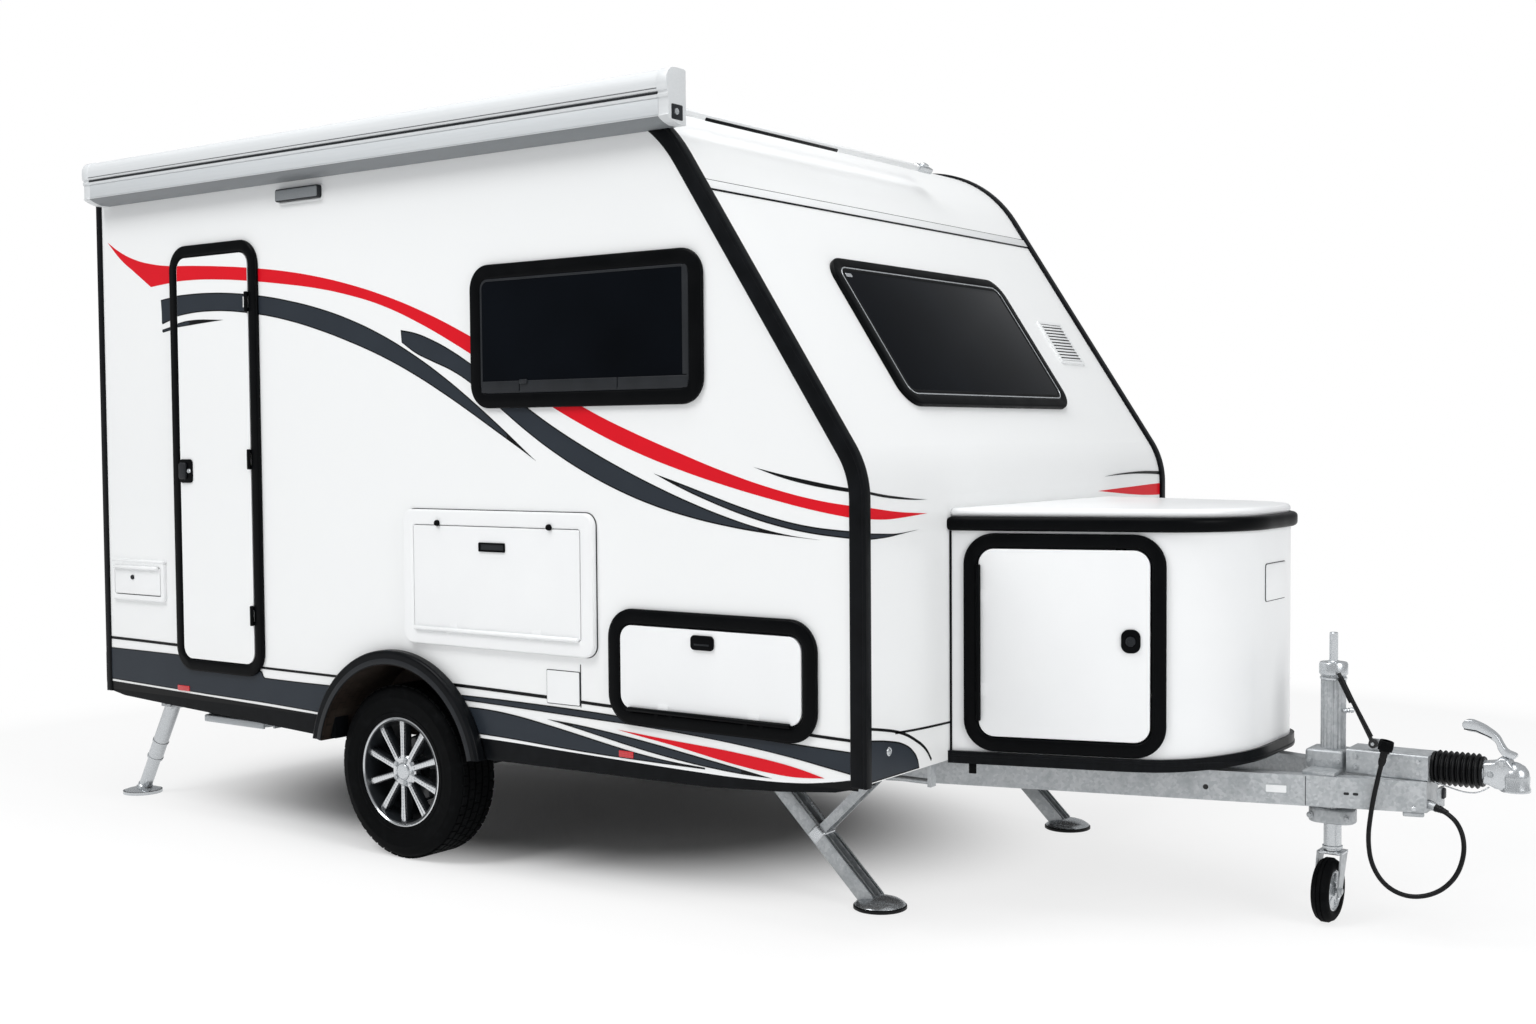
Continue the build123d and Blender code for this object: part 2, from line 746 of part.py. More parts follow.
rail_half = rail_spacing / 2
rail_inner = rail_half - rail_width
rail_x = body_rear + rail_start
rail_low = floor_height - rail_height
cross_low = rail_low + cross_step
cross_half = rail_half - metal
cross_places = (rail_x, axle_x - cross_behind, axle_x + axle_ahead + cross_before, cross_x - rail_width)
with BuildPart() as chassis_rails:
    for side in (RIGHT, LEFT):
        block((rail_x, cross_x), sorted((side * rail_half, side * rail_inner)), (rail_low, floor_height))
        block((rail_x, cross_x), sorted((side * (rail_half - metal), side * (rail_inner - overlap))),
              (rail_low + metal, floor_height - metal), mode=Mode.SUBTRACT)
    for x in cross_places:
        block((x, x + rail_width), (-cross_half, cross_half), (cross_low, floor_height))
        block((x + metal, x + rail_width + overlap), (-cross_half, cross_half),
              (cross_low + metal, floor_height - metal), mode=Mode.SUBTRACT)
save(chassis_rails, "chassis_rails")

route = [(2457, -54, 390), (2503, -72, 378), (2540, -90, 336), (2550, -104, 275), (2530, -115, 205),
         (2478, -123, 152), (2403, -127, 130), (2335, -127, 152), (2292, -125, 210), (2280, -123, 285),
         (2287, -121, 360), (2300, -119, 440), (2318, -118, 520)]

gland_way = (Vector(*route[1]) - Vector(*route[0])).normalized()
gland_start = Vector(*route[0]) - gland_way * gland_length
beam_length = (beam_end_x - cross_x) / cos(beam_turn) + 2 * beam_spare
beam_middle = beam_length / 2 - beam_spare
with BuildPart() as drawbar:
    for side in (RIGHT, LEFT):
        start = Plane(origin=(beam_end_x, side * beam_end_half, beam_low),
                      x_dir=(-cos(beam_turn), side * sin(beam_turn), 0), z_dir=(0, 0, 1))
        with BuildSketch(start) as beam_plan:
            with Locations((beam_middle, side * beam_width / 2)):
                Rectangle(beam_length, beam_width)
        extrude(beam_plan.sketch, amount=beam_height)
        with BuildSketch(start.offset(metal)) as channel_plan:
            with Locations((beam_middle, side * (beam_width / 2 + metal))):
                Rectangle(beam_length, beam_width)
        extrude(channel_plan.sketch, amount=beam_height - 2 * metal, mode=Mode.SUBTRACT)
    block((beam_end_x, beam_end_x + beyond), (-half_width, half_width), (0, floor_height), mode=Mode.SUBTRACT)
    block((cross_x - beyond, cross_x), (-half_width, half_width), (0, floor_height), mode=Mode.SUBTRACT)
    block((beam_end_x - 2 * metal, beam_end_x), (-beam_end_half, beam_end_half), (beam_low, housing_low))
    rod(gland_start, route[0], cable_radius + gland_wall)
save(drawbar, "drawbar")

arm_half = wheel_y - tyre_width / 2 - arm_room
arm_drop = axle_height - axle_z
arm_out = arm_half + arm_thickness
stub_end = wheel_y + stub_reach
tube_x = axle_x + axle_ahead
tube_half = axle_tube / 2
with BuildPart() as axle:
    block((tube_x - tube_half, tube_x + tube_half), (-arm_half, arm_half),
          (axle_height - tube_half, axle_height + tube_half))
    fillet(axle.edges().filter_by(Axis.Y), radius=tube_corner)
    for side in (RIGHT, LEFT):
        block((tube_x - saddle_half, tube_x + saddle_half), sorted((side * rail_half, side * rail_inner)),
              (axle_height + tube_half - saddle_lap, rail_low))
        arm_turn = degrees(atan2(arm_drop, axle_ahead))
        with BuildSketch(side_plane(side, arm_half)) as arm:
            with Locations(((tube_x + axle_x) / 2, (axle_height + axle_z) / 2)):
                SlotCenterToCenter(hypot(axle_ahead, arm_drop), axle_tube, rotation=arm_turn)
        extrude(arm.sketch, amount=outwards(side, arm_thickness))
        rod((axle_x, side * arm_out, axle_z), (axle_x, side * stub_end, axle_z), stub_radius)
save(axle, "axle")

# --- Wheels -----------------------------------------------------------------------------------

rim_radius = rim_diameter / 2
tyre_half = tyre_width / 2
tread_half = tyre_half - shoulder_inset
bead_radius = rim_radius - bead_seat
barrel_radius = bead_radius - barrel_wall
bulge_radius = rim_radius + bulge
air_half = tread_half - side_rubber
air_radius = axle_z - tread_rubber
tyre_radii = [bead_round, shoulder_round, shoulder_round, bead_round]


def wheel_plane(side):
    """Plane through a wheel's centre: x is a radius and y runs out of the trailer."""
    return Plane(origin=(axle_x, side * wheel_y, axle_z), x_dir=(-side, 0, 0), z_dir=(0, 0, 1))


axle_line = Axis((axle_x, 0, axle_z), (0, 1, 0))
for side, name in ((RIGHT, "right"), (LEFT, "left")):
    with BuildPart() as tyre:
        with BuildSketch(wheel_plane(side)) as section:
            with BuildLine() as edge:
                FilletPolyline((bead_radius, -tread_half), (bulge_radius, -tyre_half), (axle_z, -tread_half),
                               (axle_z, tread_half), (bulge_radius, tyre_half), (bead_radius, tread_half),
                               radius=tyre_radii)
                Line((bead_radius, tread_half), (bead_radius, -tread_half))
            make_face(edge.edges())
            with BuildLine() as air_edge:
                FilletPolyline((bead_radius, -air_half), (bulge_radius, air_taper - air_half),
                               (air_radius, 2 * air_taper - air_half), (air_radius, air_half - 2 * air_taper),
                               (bulge_radius, air_half - air_taper), (bead_radius, air_half),
                               radius=air_round)
                Line((bead_radius, air_half), (bead_radius, -air_half))
            make_face(air_edge.edges(), mode=Mode.SUBTRACT)
        revolve(section.sketch, axis=axle_line)
    save(tyre, "tyre_" + name)

    with BuildPart() as rim:
        with BuildSketch(wheel_plane(side)) as section:
            with Locations(((barrel_radius + bead_radius) / 2, 0)):
                Rectangle(barrel_wall, tread_half * 2)
            with Locations((hub_radius / 2, (hub_inner + hub_outer) / 2)):
                Rectangle(hub_radius, hub_outer - hub_inner)
            with Locations((drum_radius / 2, (drum_inner + hub_inner) / 2)):
                Rectangle(drum_radius, hub_inner - drum_inner)
        revolve(section.sketch, axis=axle_line)
        spoke_y = side * (wheel_y + spoke_out)
        spoke_length = barrel_radius - hub_radius + 2 * spoke_lap
        spoke_plane = Plane(origin=(axle_x, spoke_y, axle_z), x_dir=(1, 0, 0), z_dir=(0, side, 0))
        with BuildSketch(spoke_plane) as spokes:
            with PolarLocations(0, spoke_count):
                with Locations(((hub_radius + barrel_radius) / 2, 0)):
                    Rectangle(spoke_length, spoke_width)
        extrude(spokes.sketch, amount=spoke_thickness)
        rod((axle_x, side * (wheel_y - tyre_width), axle_z), (axle_x, side * (stub_end + overlap), axle_z),
            stub_radius + running_gap, mode=Mode.SUBTRACT)
    save(rim, "rim_" + name)

# --- Front storage box ------------------------------------------------------------------------


def box_plan(grow):
    """Draw the box's plan, its walls moved outwards by grow, in the current sketch."""
    root_half = box_half + grow / cos(taper)
    nose_half = root_half - (box_length + grow) * tan(taper)
    nose = box_nose_x + grow
    with BuildLine() as plan:
        FilletPolyline((body_front, -root_half), (nose, -nose_half), (nose, nose_half),
                       (body_front, root_half), radius=box_nose_radius + grow)
        Line((body_front, root_half), (body_front, -root_half))
    make_face(plan.edges())


def bottom_curve(lift):
    """The box's lower edge in the side view, level and then rising at the nose."""
    flat_end = body_front + box_flat
    middle_x = flat_end + (box_length + past_nose - box_flat) / 2
    with BuildLine() as curve:
        flat = Line((body_front, box_low + lift), (flat_end, box_low + lift))
        ThreePointArc(flat @ 1, (middle_x, box_low + lift + box_rise / 4),
                      (box_nose_x + past_nose, box_low + lift + box_rise))
    return curve


def box_solid(grow, lift, top):
    """The box's outer form from its lower edge up to a level top."""
    end_x = box_nose_x + past_nose
    with BuildPart() as form:
        with BuildSketch(Plane.XY.offset(box_low - below_box)):
            box_plan(grow)
        extrude(amount=top - box_low + below_box)
        with BuildSketch(Plane.XZ.offset(-body_width)) as side_view:
            edges = bottom_curve(lift)
            with BuildLine() as rest:
                Polyline((end_x, box_low + lift + box_rise), (end_x, top + margin),
                         (body_front, top + margin), (body_front, box_low + lift))
            make_face(edges.edges() + rest.edges())
        extrude(side_view.sketch, amount=body_width * 2, mode=Mode.INTERSECT)
    return form.part


def box_side_plane(side):
    """Plane on a tapered side of the box: x runs forward along it from the front wall, y up."""
    return Plane(origin=(body_front, side * box_half, 0), x_dir=(cos(taper), -side * sin(taper), 0),
                 z_dir=(-side * sin(taper), -cos(taper), 0))


with BuildPart() as box_room:
    add(box_solid(-box_wall, box_wall, box_high + 2 * margin))
    with Locations((body_front + box_wall / 2, 0, box_high / 2)):
        Box(box_wall, body_width, box_high * 2, mode=Mode.SUBTRACT)

with BuildPart() as front_box:
    add(box_solid(0, 0, box_high))
    add(box_room.part, mode=Mode.SUBTRACT)
    for side in (RIGHT, LEFT):
        with BuildSketch(box_side_plane(side)) as hole:
            outline(box_door)
        extrude(hole.sketch, amount=outwards(side, -box_wall * 2), mode=Mode.SUBTRACT)
save(front_box, "front_box")

with BuildPart() as front_box_lid:
    with BuildSketch(Plane.XY.offset(box_high)):
        box_plan(lid_overhang)
    extrude(amount=lid_thickness)
    with BuildSketch(Plane.XY.offset(box_high + lid_thickness)):
        box_plan(0)
    extrude(amount=lid_crown, taper=lid_crown_angle)
save(front_box_lid, "front_box_lid")

strip_top = box_low + box_rise + bumper_strip + margin
cut_top = strip_top + 2 * margin
with BuildPart() as front_box_strip:
    add(box_solid(strip_proud, -bumper_strip, strip_top))
    add(box_solid(strip_proud + 2 * margin, strip_lip, cut_top), mode=Mode.SUBTRACT)
    add(box_solid(0, 0, cut_top), mode=Mode.SUBTRACT)
    add(box_solid(-strip_width, -bumper_strip - margin, cut_top), mode=Mode.SUBTRACT)
save(front_box_strip, "front_box_strip")


def box_hinges(side, moving):
    """Hinges on the rear edge of a door in the box's side."""
    leaf = leaf_of(box_door, box_door_rim)
    plane = box_side_plane(side)
    out = plane.z_dir * outwards(side, 1)
    quarter = (leaf.z1 - leaf.z0) / 4
    middle = plane.from_local_coords(Vector(leaf.x0, (leaf.z0 + leaf.z1) / 2, 0))
    add_hinges(middle + out * (box_door_proud + hinge_proud), plane.x_dir, out, (-quarter, quarter), moving)


with BuildPart() as box_door_frames:
    for side in (RIGHT, LEFT):
        with BuildSketch(box_side_plane(side)) as ring:
            outline(box_door)
            cut_outline(opening_of(box_door, box_door_rim))
        extrude(ring.sketch, amount=outwards(side, box_door_proud))
        extrude(ring.sketch, amount=outwards(side, -box_wall))
        box_hinges(side, moving=False)
save(box_door_frames, "box_door_frames")

for side, name in ((RIGHT, "box_door_right"), (LEFT, "box_door_left")):
    with BuildPart() as box_leaf:
        with BuildSketch(box_side_plane(side).offset(outwards(side, box_door_proud))) as face:
            outline(leaf_of(box_door, box_door_rim))
        extrude(face.sketch, amount=outwards(side, -box_leaf_thickness))
        box_hinges(side, moving=True)
    save(box_leaf, name)

# --- Overrun housing, bellows and coupling ----------------------------------------------------

with BuildPart() as overrun_housing:
    block((housing_start, housing_end), (-housing_half, housing_half), (housing_low, housing_high))
    fillet(overrun_housing.edges().filter_by(Axis.X), radius=housing_corner)
    ear_y = lever_y + lever_radius + lever_gap
    block((lever_x - ear_half, lever_x + ear_half), (ear_y, ear_y + ear_thickness),
          (housing_high - ear_thickness, lever_z + ear_above))
    rod((lever_x, ear_y + 2 * overlap, lever_z), (lever_x, lever_y - lever_radius - pin_head, lever_z),
        lever_pin)
save(overrun_housing, "overrun_housing")

fold_pitch = bellows_length / fold_count
bellows_plane = Plane(origin=(housing_end, 0, coupling_height), x_dir=(1, 0, 0), z_dir=(0, -1, 0))
with BuildPart() as bellows:
    with BuildSketch(bellows_plane) as section:
        with BuildLine() as edge:
            points = [(0, 0), (0, bellows_radius - fold_depth)]
            for fold in range(fold_count):
                points.append(((fold + 0.5) * fold_pitch, bellows_radius))
                points.append(((fold + 1) * fold_pitch, bellows_radius - fold_depth))
            points.append((bellows_length, 0))
            Polyline(*points, close=True)
        make_face(edge.edges())
    revolve(section.sketch, axis=Axis((0, 0, coupling_height), (1, 0, 0)))
save(bellows, "bellows")

head_low = coupling_height - head_drop
head_high = coupling_height + head_rise
ball_x = coupling_nose - ball_behind
with BuildPart() as coupling_head:
    rod((bellows_end, 0, coupling_height), (bellows_end + neck_length, 0, coupling_height), neck_radius)
    block((bellows_end + neck_length / 2, coupling_nose), (-head_half, head_half), (head_low, head_high))
    fillet(coupling_head.edges().filter_by(Axis.Z).group_by(Axis.X)[-1], radius=nose_round)
    fillet(coupling_head.edges().group_by(Axis.Z)[-1], radius=head_round)
    rod((ball_x, 0, head_low - margin), (ball_x, 0, coupling_height + socket_rise), ball_radius + ball_gap,
        mode=Mode.SUBTRACT)
save(coupling_head, "coupling_head")


def over_head(points):
    """Points given ahead of the bellows' end and above the coupling head, as (x, z)."""
    return [(bellows_end + x, head_high + z) for x, z in points]


with BuildPart() as coupling_handle:
    with BuildSketch(Plane.XZ.offset(-grip_width / 2)) as grip:
        with BuildLine() as edge:
            back = Polyline(*over_head(grip_back))
            tip = ThreePointArc(back @ 1, *over_head(grip_tip))
            Polyline(tip @ 1, *over_head(grip_front), back @ 0)
        make_face(edge.edges())
    extrude(grip.sketch, amount=grip_width)
    fillet(coupling_handle.edges().filter_by(Axis.Y, reverse=True).group_by(Axis.Y)[0], radius=grip_round)
    fillet(coupling_handle.edges().filter_by(Axis.Y, reverse=True).group_by(Axis.Y)[-1], radius=grip_round)
save(coupling_handle, "coupling_handle")

# --- Jockey wheel -----------------------------------------------------------------------------

beam_out_at_jack = beam_end_half + (beam_end_x - jack_x) * tan(beam_turn)
seat_half = beam_out_at_jack - seat_inset
collar_half = column_radius + collar_wall
foot_half = column_radius + foot_collar_wall
with BuildPart() as jack_column:
    block((jack_x - seat_back, jack_x + seat_front), (-seat_half, seat_half),
          (housing_low, housing_low + seat_thickness))
    block((jack_x - seat_back, jack_x + seat_front), (-collar_half, collar_half),
          (housing_low, housing_low + collar_height))
    block((jack_x - foot_collar_half, jack_x + foot_collar_half), (-foot_half, foot_half),
          (jack_low, jack_low + foot_collar))
    rod((jack_x, 0, jack_low), (jack_x, 0, jack_high), column_radius)
    rod((jack_x, 0, jack_high - cap_lap), (jack_x, 0, jack_high + cap_rise), cap_radius)
    rod((jack_x, 0, jack_high), (jack_x, 0, crank_top), crank_radius)
    rod((jack_x, 0, jack_low - overlap), (jack_x, 0, jack_high - cap_floor), column_radius - column_wall,
        mode=Mode.SUBTRACT)
save(jack_column, "jack_column")

fork_top = 2 * caster_radius + fork_gap
stem_low = fork_top + stem_gap
with BuildPart() as jack_stem:
    rod((jack_x, 0, stem_low), (jack_x, 0, stem_top), stem_radius)
    rod((jack_x, 0, stem_low - overlap), (jack_x, 0, stem_top - stem_cap), stem_radius - column_wall,
        mode=Mode.SUBTRACT)
save(jack_stem, "jack_stem")

fork_half = caster_width / 2 + fork_room
fork_out = fork_half + fork_metal
cheek_top = [(-fork_depth / 2, fork_top), (fork_depth / 2, fork_top)]
cheek_foot = [(caster_trail + cheek_radius, caster_radius), (caster_trail - cheek_radius, caster_radius)]
with BuildPart() as caster_fork:
    block((jack_x - fork_out, jack_x + fork_out), (-fork_depth / 2, fork_depth / 2),
          (fork_top - fork_plate, fork_top))
    rod((jack_x, 0, fork_top - kingpin_lap), (jack_x, 0, fork_top + kingpin_height), kingpin_radius)
    for x in (jack_x - fork_out, jack_x + fork_half):
        with BuildSketch(Plane(origin=(x, 0, 0), x_dir=(0, 1, 0), z_dir=(1, 0, 0))) as cheek:
            with BuildLine() as edge:
                Polyline(*cheek_top, *cheek_foot, close=True)
            make_face(edge.edges())
            with Locations((caster_trail, caster_radius)):
                Circle(cheek_radius)
        extrude(cheek.sketch, amount=fork_metal)
    rod((jack_x - fork_out, caster_trail, caster_radius), (jack_x + fork_out, caster_trail, caster_radius),
        caster_bore - running_gap)
save(caster_fork, "caster_fork")

with BuildPart() as caster_wheel:
    wheel_ends = jack_x - caster_width / 2, jack_x + caster_width / 2
    rod(*((x, caster_trail, caster_radius) for x in wheel_ends), caster_radius)
    fillet(caster_wheel.edges().filter_by(GeomType.CIRCLE), radius=caster_round)
    bore_ends = jack_x - caster_width, jack_x + caster_width
    rod(*((x, caster_trail, caster_radius) for x in bore_ends), caster_bore, mode=Mode.SUBTRACT)
save(caster_wheel, "caster_wheel")

lever_turn = radians(lever_angle)
lever_tip = (lever_x - lever_length * cos(lever_turn), lever_y, lever_z + lever_length * sin(lever_turn))
with BuildPart() as handbrake_lever:
    rod((lever_x, lever_y, lever_z), lever_tip, lever_radius)
    rod((lever_x, lever_y - lever_radius, lever_z), (lever_x, lever_y + lever_radius, lever_z), lever_boss)
    rod((lever_x, lever_y - lever_boss, lever_z), (lever_x, lever_y + lever_boss, lever_z),
        lever_pin + running_gap, mode=Mode.SUBTRACT)
save(handbrake_lever, "handbrake_lever")

# --- Corner legs ------------------------------------------------------------------------------

front_pivot_x = body_front - front_leg_behind
front_leg_slope = atan2(front_leg_height, front_leg_reach)
front_leg_length = hypot(front_leg_height, front_leg_reach)
brace_x = front_pivot_x + brace_arm * cos(front_leg_slope)
brace_z = front_leg_height - brace_arm * sin(front_leg_slope)
nut_x = front_pivot_x + 2 * brace_arm * cos(front_leg_slope)
nut_limit = front_pivot_x + 2 * brace_arm
foot_x = front_pivot_x + front_leg_reach
leg_side = leg_thickness / 2 + leg_metal
brace_low = leg_side + brace_gap
brace_out = brace_low + brace_metal


def leg_plane(side):
    """Plane in a front leg's middle: x runs down the leg from its pivot, y up and ahead of it."""
    return Plane(origin=(front_pivot_x, side * front_leg_half, front_leg_height),
                 x_dir=(cos(front_leg_slope), 0, -sin(front_leg_slope)), z_dir=(0, -1, 0))


for side, name in ((RIGHT, "right"), (LEFT, "left")):
    mid_y = side * front_leg_half
    with BuildPart() as leg:
        with BuildSketch(leg_plane(side)) as plate:
            with Locations((front_leg_length / 2, 0)):
                SlotCenterToCenter(front_leg_length, leg_width)
        extrude(plate.sketch, amount=leg_side, both=True)
        with BuildSketch(leg_plane(side)) as channel:
            with Locations((front_leg_length / 2, leg_metal)):
                Rectangle(front_leg_length * 2, leg_width)
        extrude(channel.sketch, amount=leg_thickness / 2, both=True, mode=Mode.SUBTRACT)
        rod((brace_x, mid_y - brace_out, brace_z), (brace_x, mid_y + brace_out, brace_z), pin_radius)
        rod((front_pivot_x, mid_y - leg_width, front_leg_height),
            (front_pivot_x, mid_y + leg_width, front_leg_height), pin_radius + running_gap, mode=Mode.SUBTRACT)
        block((foot_x - beyond, foot_x + beyond), (mid_y - beyond, mid_y + beyond), (-beyond, pad_thickness),
              mode=Mode.SUBTRACT)
        rod((foot_x, mid_y, 0), (foot_x, mid_y, pad_thickness), pad_radius)
    save(leg, "front_leg_" + name)

    with BuildPart() as brace:
        brace_run = Plane(origin=(brace_x, mid_y, brace_z),
                          x_dir=(nut_x - brace_x, 0, front_leg_height - brace_z), z_dir=(0, -1, 0))
        for way in (RIGHT, LEFT):
            with BuildSketch(brace_run.offset(way * (brace_low + brace_metal / 2))) as strap:
                with Locations((brace_arm / 2, 0)):
                    SlotCenterToCenter(brace_arm, boss_radius * 2)
            extrude(strap.sketch, amount=brace_metal / 2, both=True)
            rod((nut_x, mid_y + way * (spindle_radius + spindle_gap), front_leg_height),
                (nut_x, mid_y + way * (brace_low + overlap), front_leg_height), boss_radius)
        rod((brace_x, mid_y - leg_width, brace_z), (brace_x, mid_y + leg_width, brace_z),
            pin_radius + running_gap, mode=Mode.SUBTRACT)
        tie = (brace_x + nut_x) / 2
        tie_z = (brace_z + front_leg_height) / 2
        rod((tie, mid_y - brace_low, tie_z), (tie, mid_y + brace_low, tie_z), tie_radius)
    save(brace, "front_brace_" + name)

rear_pivot_x = body_rear + rear_leg_ahead
rear_leg_length = hypot(rear_leg_height, rear_leg_reach)
rear_direction = Vector(-rear_leg_reach / rear_leg_length, 0, -rear_leg_height / rear_leg_length)
for side, name in ((RIGHT, "right"), (LEFT, "left")):
    pivot = Vector(rear_pivot_x, side * rear_leg_half, rear_leg_height)
    with BuildPart() as rear_leg:
        rod(pivot, pivot + rear_direction * rear_sleeve, rear_tube)
        rod((pivot.X, pivot.Y - rear_tube, pivot.Z), (pivot.X, pivot.Y + rear_tube, pivot.Z), rear_tube)
        rod(pivot + rear_direction * rear_tube_closed, pivot + rear_direction * (rear_sleeve + margin),
            rear_tube - rear_tube_wall, mode=Mode.SUBTRACT)
        pin_out = Vector(0, rear_tube + margin, 0)
        rod(pivot - pin_out, pivot + pin_out, pin_radius + running_gap, mode=Mode.SUBTRACT)
    save(rear_leg, "rear_leg_" + name)
    with BuildPart() as rear_foot:
        rod(pivot + rear_direction * inner_start, pivot + rear_direction * rear_leg_length,
            rear_tube - rear_tube_wall - inner_gap)
        foot = pivot + rear_direction * rear_leg_length
        block((foot.X - beyond, foot.X + beyond), (foot.Y - beyond, foot.Y + beyond), (-beyond, 0),
              mode=Mode.SUBTRACT)
        rod((foot.X, foot.Y, 0), (foot.X, foot.Y, pad_thickness), rear_pad_radius)
    save(rear_foot, "rear_foot_" + name)

step_x = (door.x0 + door.x1) / 2 + step_ahead
runner_out = half_width - sill_depth - runner_room
spindle_end = nut_limit + boss_radius + hanger_gap + hanger
leg_brackets = [(front_pivot_x, front_leg_half, front_leg_height, leg_side + bracket_gap),
                (rear_pivot_x, rear_leg_half, rear_leg_height, rear_tube + bracket_gap)]
with BuildPart() as under_brackets:
    for way in (RIGHT, LEFT):
        near = step_x + way * (step_width / 2 + runner_gap)
        block(sorted((near, near + way * runner_width)),
              (-runner_out, -runner_out + step_depth + runner_behind), (step_low - runner_drop, floor_height))
    for side in (RIGHT, LEFT):
        for x, half, z, inner in leg_brackets:
            y = side * half
            ends = (x - bracket_length / 2, x + bracket_length / 2)
            outer = inner + bracket_plate
            for way in (RIGHT, LEFT):
                block(ends, sorted((y + way * inner, y + way * outer)),
                      (z - bracket_low, floor_height - bracket_plate))
            block(ends, (y - outer, y + outer), (floor_height - bracket_plate, floor_height))
            rod((x, y - inner - overlap, z), (x, y + inner + overlap, z), pin_radius)
        y = side * front_leg_half
        rod((front_pivot_x, y, front_leg_height), (spindle_end, y, front_leg_height), spindle_radius)
        block((spindle_end - hanger, spindle_end), (y - hanger_half, y + hanger_half),
              (front_leg_height - hanger_drop, floor_height))
save(under_brackets, "under_brackets")

# --- Awning, light and step -------------------------------------------------------------------

awning_x0 = body_rear + awning_from_rear
awning_x1 = body_front - awning_to_front
with BuildPart() as awning_case:
    block((awning_x0, awning_x1), (-half_width - awning_depth, -half_width), (awning_low, awning_high))
    fillet(awning_case.edges().filter_by(Axis.X).group_by(Axis.Y)[0].sort_by(Axis.Z)[-1], radius=awning_round)
    fillet(awning_case.edges().filter_by(Axis.X).group_by(Axis.Y)[0].sort_by(Axis.Z)[0], radius=awning_edge)
save(awning_case, "awning_case")

light_x0 = body_rear + light_from_rear
with BuildPart() as awning_light:
    block((light_x0, light_x0 + light_width), (-half_width - light_proud, -half_width),
          (light_low, light_high))
    fillet(awning_light.edges().filter_by(Axis.X).group_by(Axis.Y)[0], radius=light_round)
save(awning_light, "awning_light")

step_front = half_width - step_inset
with BuildPart() as entry_step:
    block((step_x - step_width / 2, step_x + step_width / 2), (-step_front, -step_front + step_depth),
          (step_low, step_low + step_thickness))
    fillet(entry_step.edges().filter_by(Axis.Z).group_by(Axis.Y)[0], radius=step_corner)
save(entry_step, "entry_step")

# --- Cable to the towing car ------------------------------------------------------------------

def corner_radii(points):
    """The largest arc that fits each corner of a route, so that it takes its share of the shorter run."""
    radii = []
    for before, corner, after in zip(points, points[1:], points[2:]):
        run_in = Vector(*corner) - Vector(*before)
        run_out = Vector(*after) - Vector(*corner)
        half_turn = radians(run_in.get_angle(run_out)) / 2
        radii.append(arc_share * min(run_in.length, run_out.length) / tan(half_turn))
    return radii


cable_radii = corner_radii(route)
print("cable radii", [round(radius) for radius in cable_radii])
with BuildPart() as cable:
    with BuildLine() as cable_line:
        FilletPolyline(*route, radius=cable_radii)
    with BuildSketch(Plane(origin=route[0], z_dir=Vector(*route[1]) - Vector(*route[0]))) as section:
        Circle(cable_radius)
    sweep(section.sketch, path=cable_line.wire())
save(cable, "cable")
print("cable length", round(cable_line.wire().length))
print("cable volume over section", round(cable.part.volume / section.sketch.area))

plug_way = (Vector(*route[-1]) - Vector(*route[-2])).normalized()
plug_start = Vector(*route[-1])
with BuildPart() as cable_plug:
    rod(plug_start, plug_start + plug_way * plug_neck_length, plug_neck_radius)
    rod(plug_start + plug_way * plug_shell_start, plug_start + plug_way * plug_length, plug_radius)
save(cable_plug, "cable_plug")
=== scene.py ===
from math import asin, atan2, cos, hypot, pi, radians, sin, tan

import bmesh
import bpy
from bpy.props import FloatProperty, IntProperty, PointerProperty, StringProperty
from mathutils import Matrix, Vector


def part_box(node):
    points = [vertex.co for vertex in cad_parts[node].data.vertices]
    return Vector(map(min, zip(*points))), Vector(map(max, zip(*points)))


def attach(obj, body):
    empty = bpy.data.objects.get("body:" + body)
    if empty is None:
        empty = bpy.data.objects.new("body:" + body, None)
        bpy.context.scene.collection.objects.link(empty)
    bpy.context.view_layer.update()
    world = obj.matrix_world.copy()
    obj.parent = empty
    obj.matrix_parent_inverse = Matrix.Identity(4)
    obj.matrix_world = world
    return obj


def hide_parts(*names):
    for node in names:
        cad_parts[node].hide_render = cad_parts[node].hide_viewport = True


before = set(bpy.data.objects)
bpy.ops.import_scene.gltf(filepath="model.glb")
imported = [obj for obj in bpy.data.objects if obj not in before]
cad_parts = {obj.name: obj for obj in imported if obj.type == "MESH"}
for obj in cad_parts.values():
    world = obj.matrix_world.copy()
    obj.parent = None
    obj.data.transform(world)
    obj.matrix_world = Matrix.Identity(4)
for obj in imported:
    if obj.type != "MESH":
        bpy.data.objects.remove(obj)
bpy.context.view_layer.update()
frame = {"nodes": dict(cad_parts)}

bl_info = {
    "name": "Camper trailer finish",
    "version": (1, 0, 0),
    "blender": (4, 5, 0),
    "location": "3D View > Sidebar > Camper",
    "description": "Dresses the packed camper trailer: trims, stripes, windows, wheels, hitch and finishes",
    "category": "Object",
}

MM = 0.001
WALL_LOW, WALL_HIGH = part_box("side_wall_right")
HALF = -WALL_LOW.y                       # outer face of the side walls
REAR, FRONT = WALL_LOW.x, WALL_HIGH.x    # outer faces of the end walls
ROOF = WALL_HIGH.z


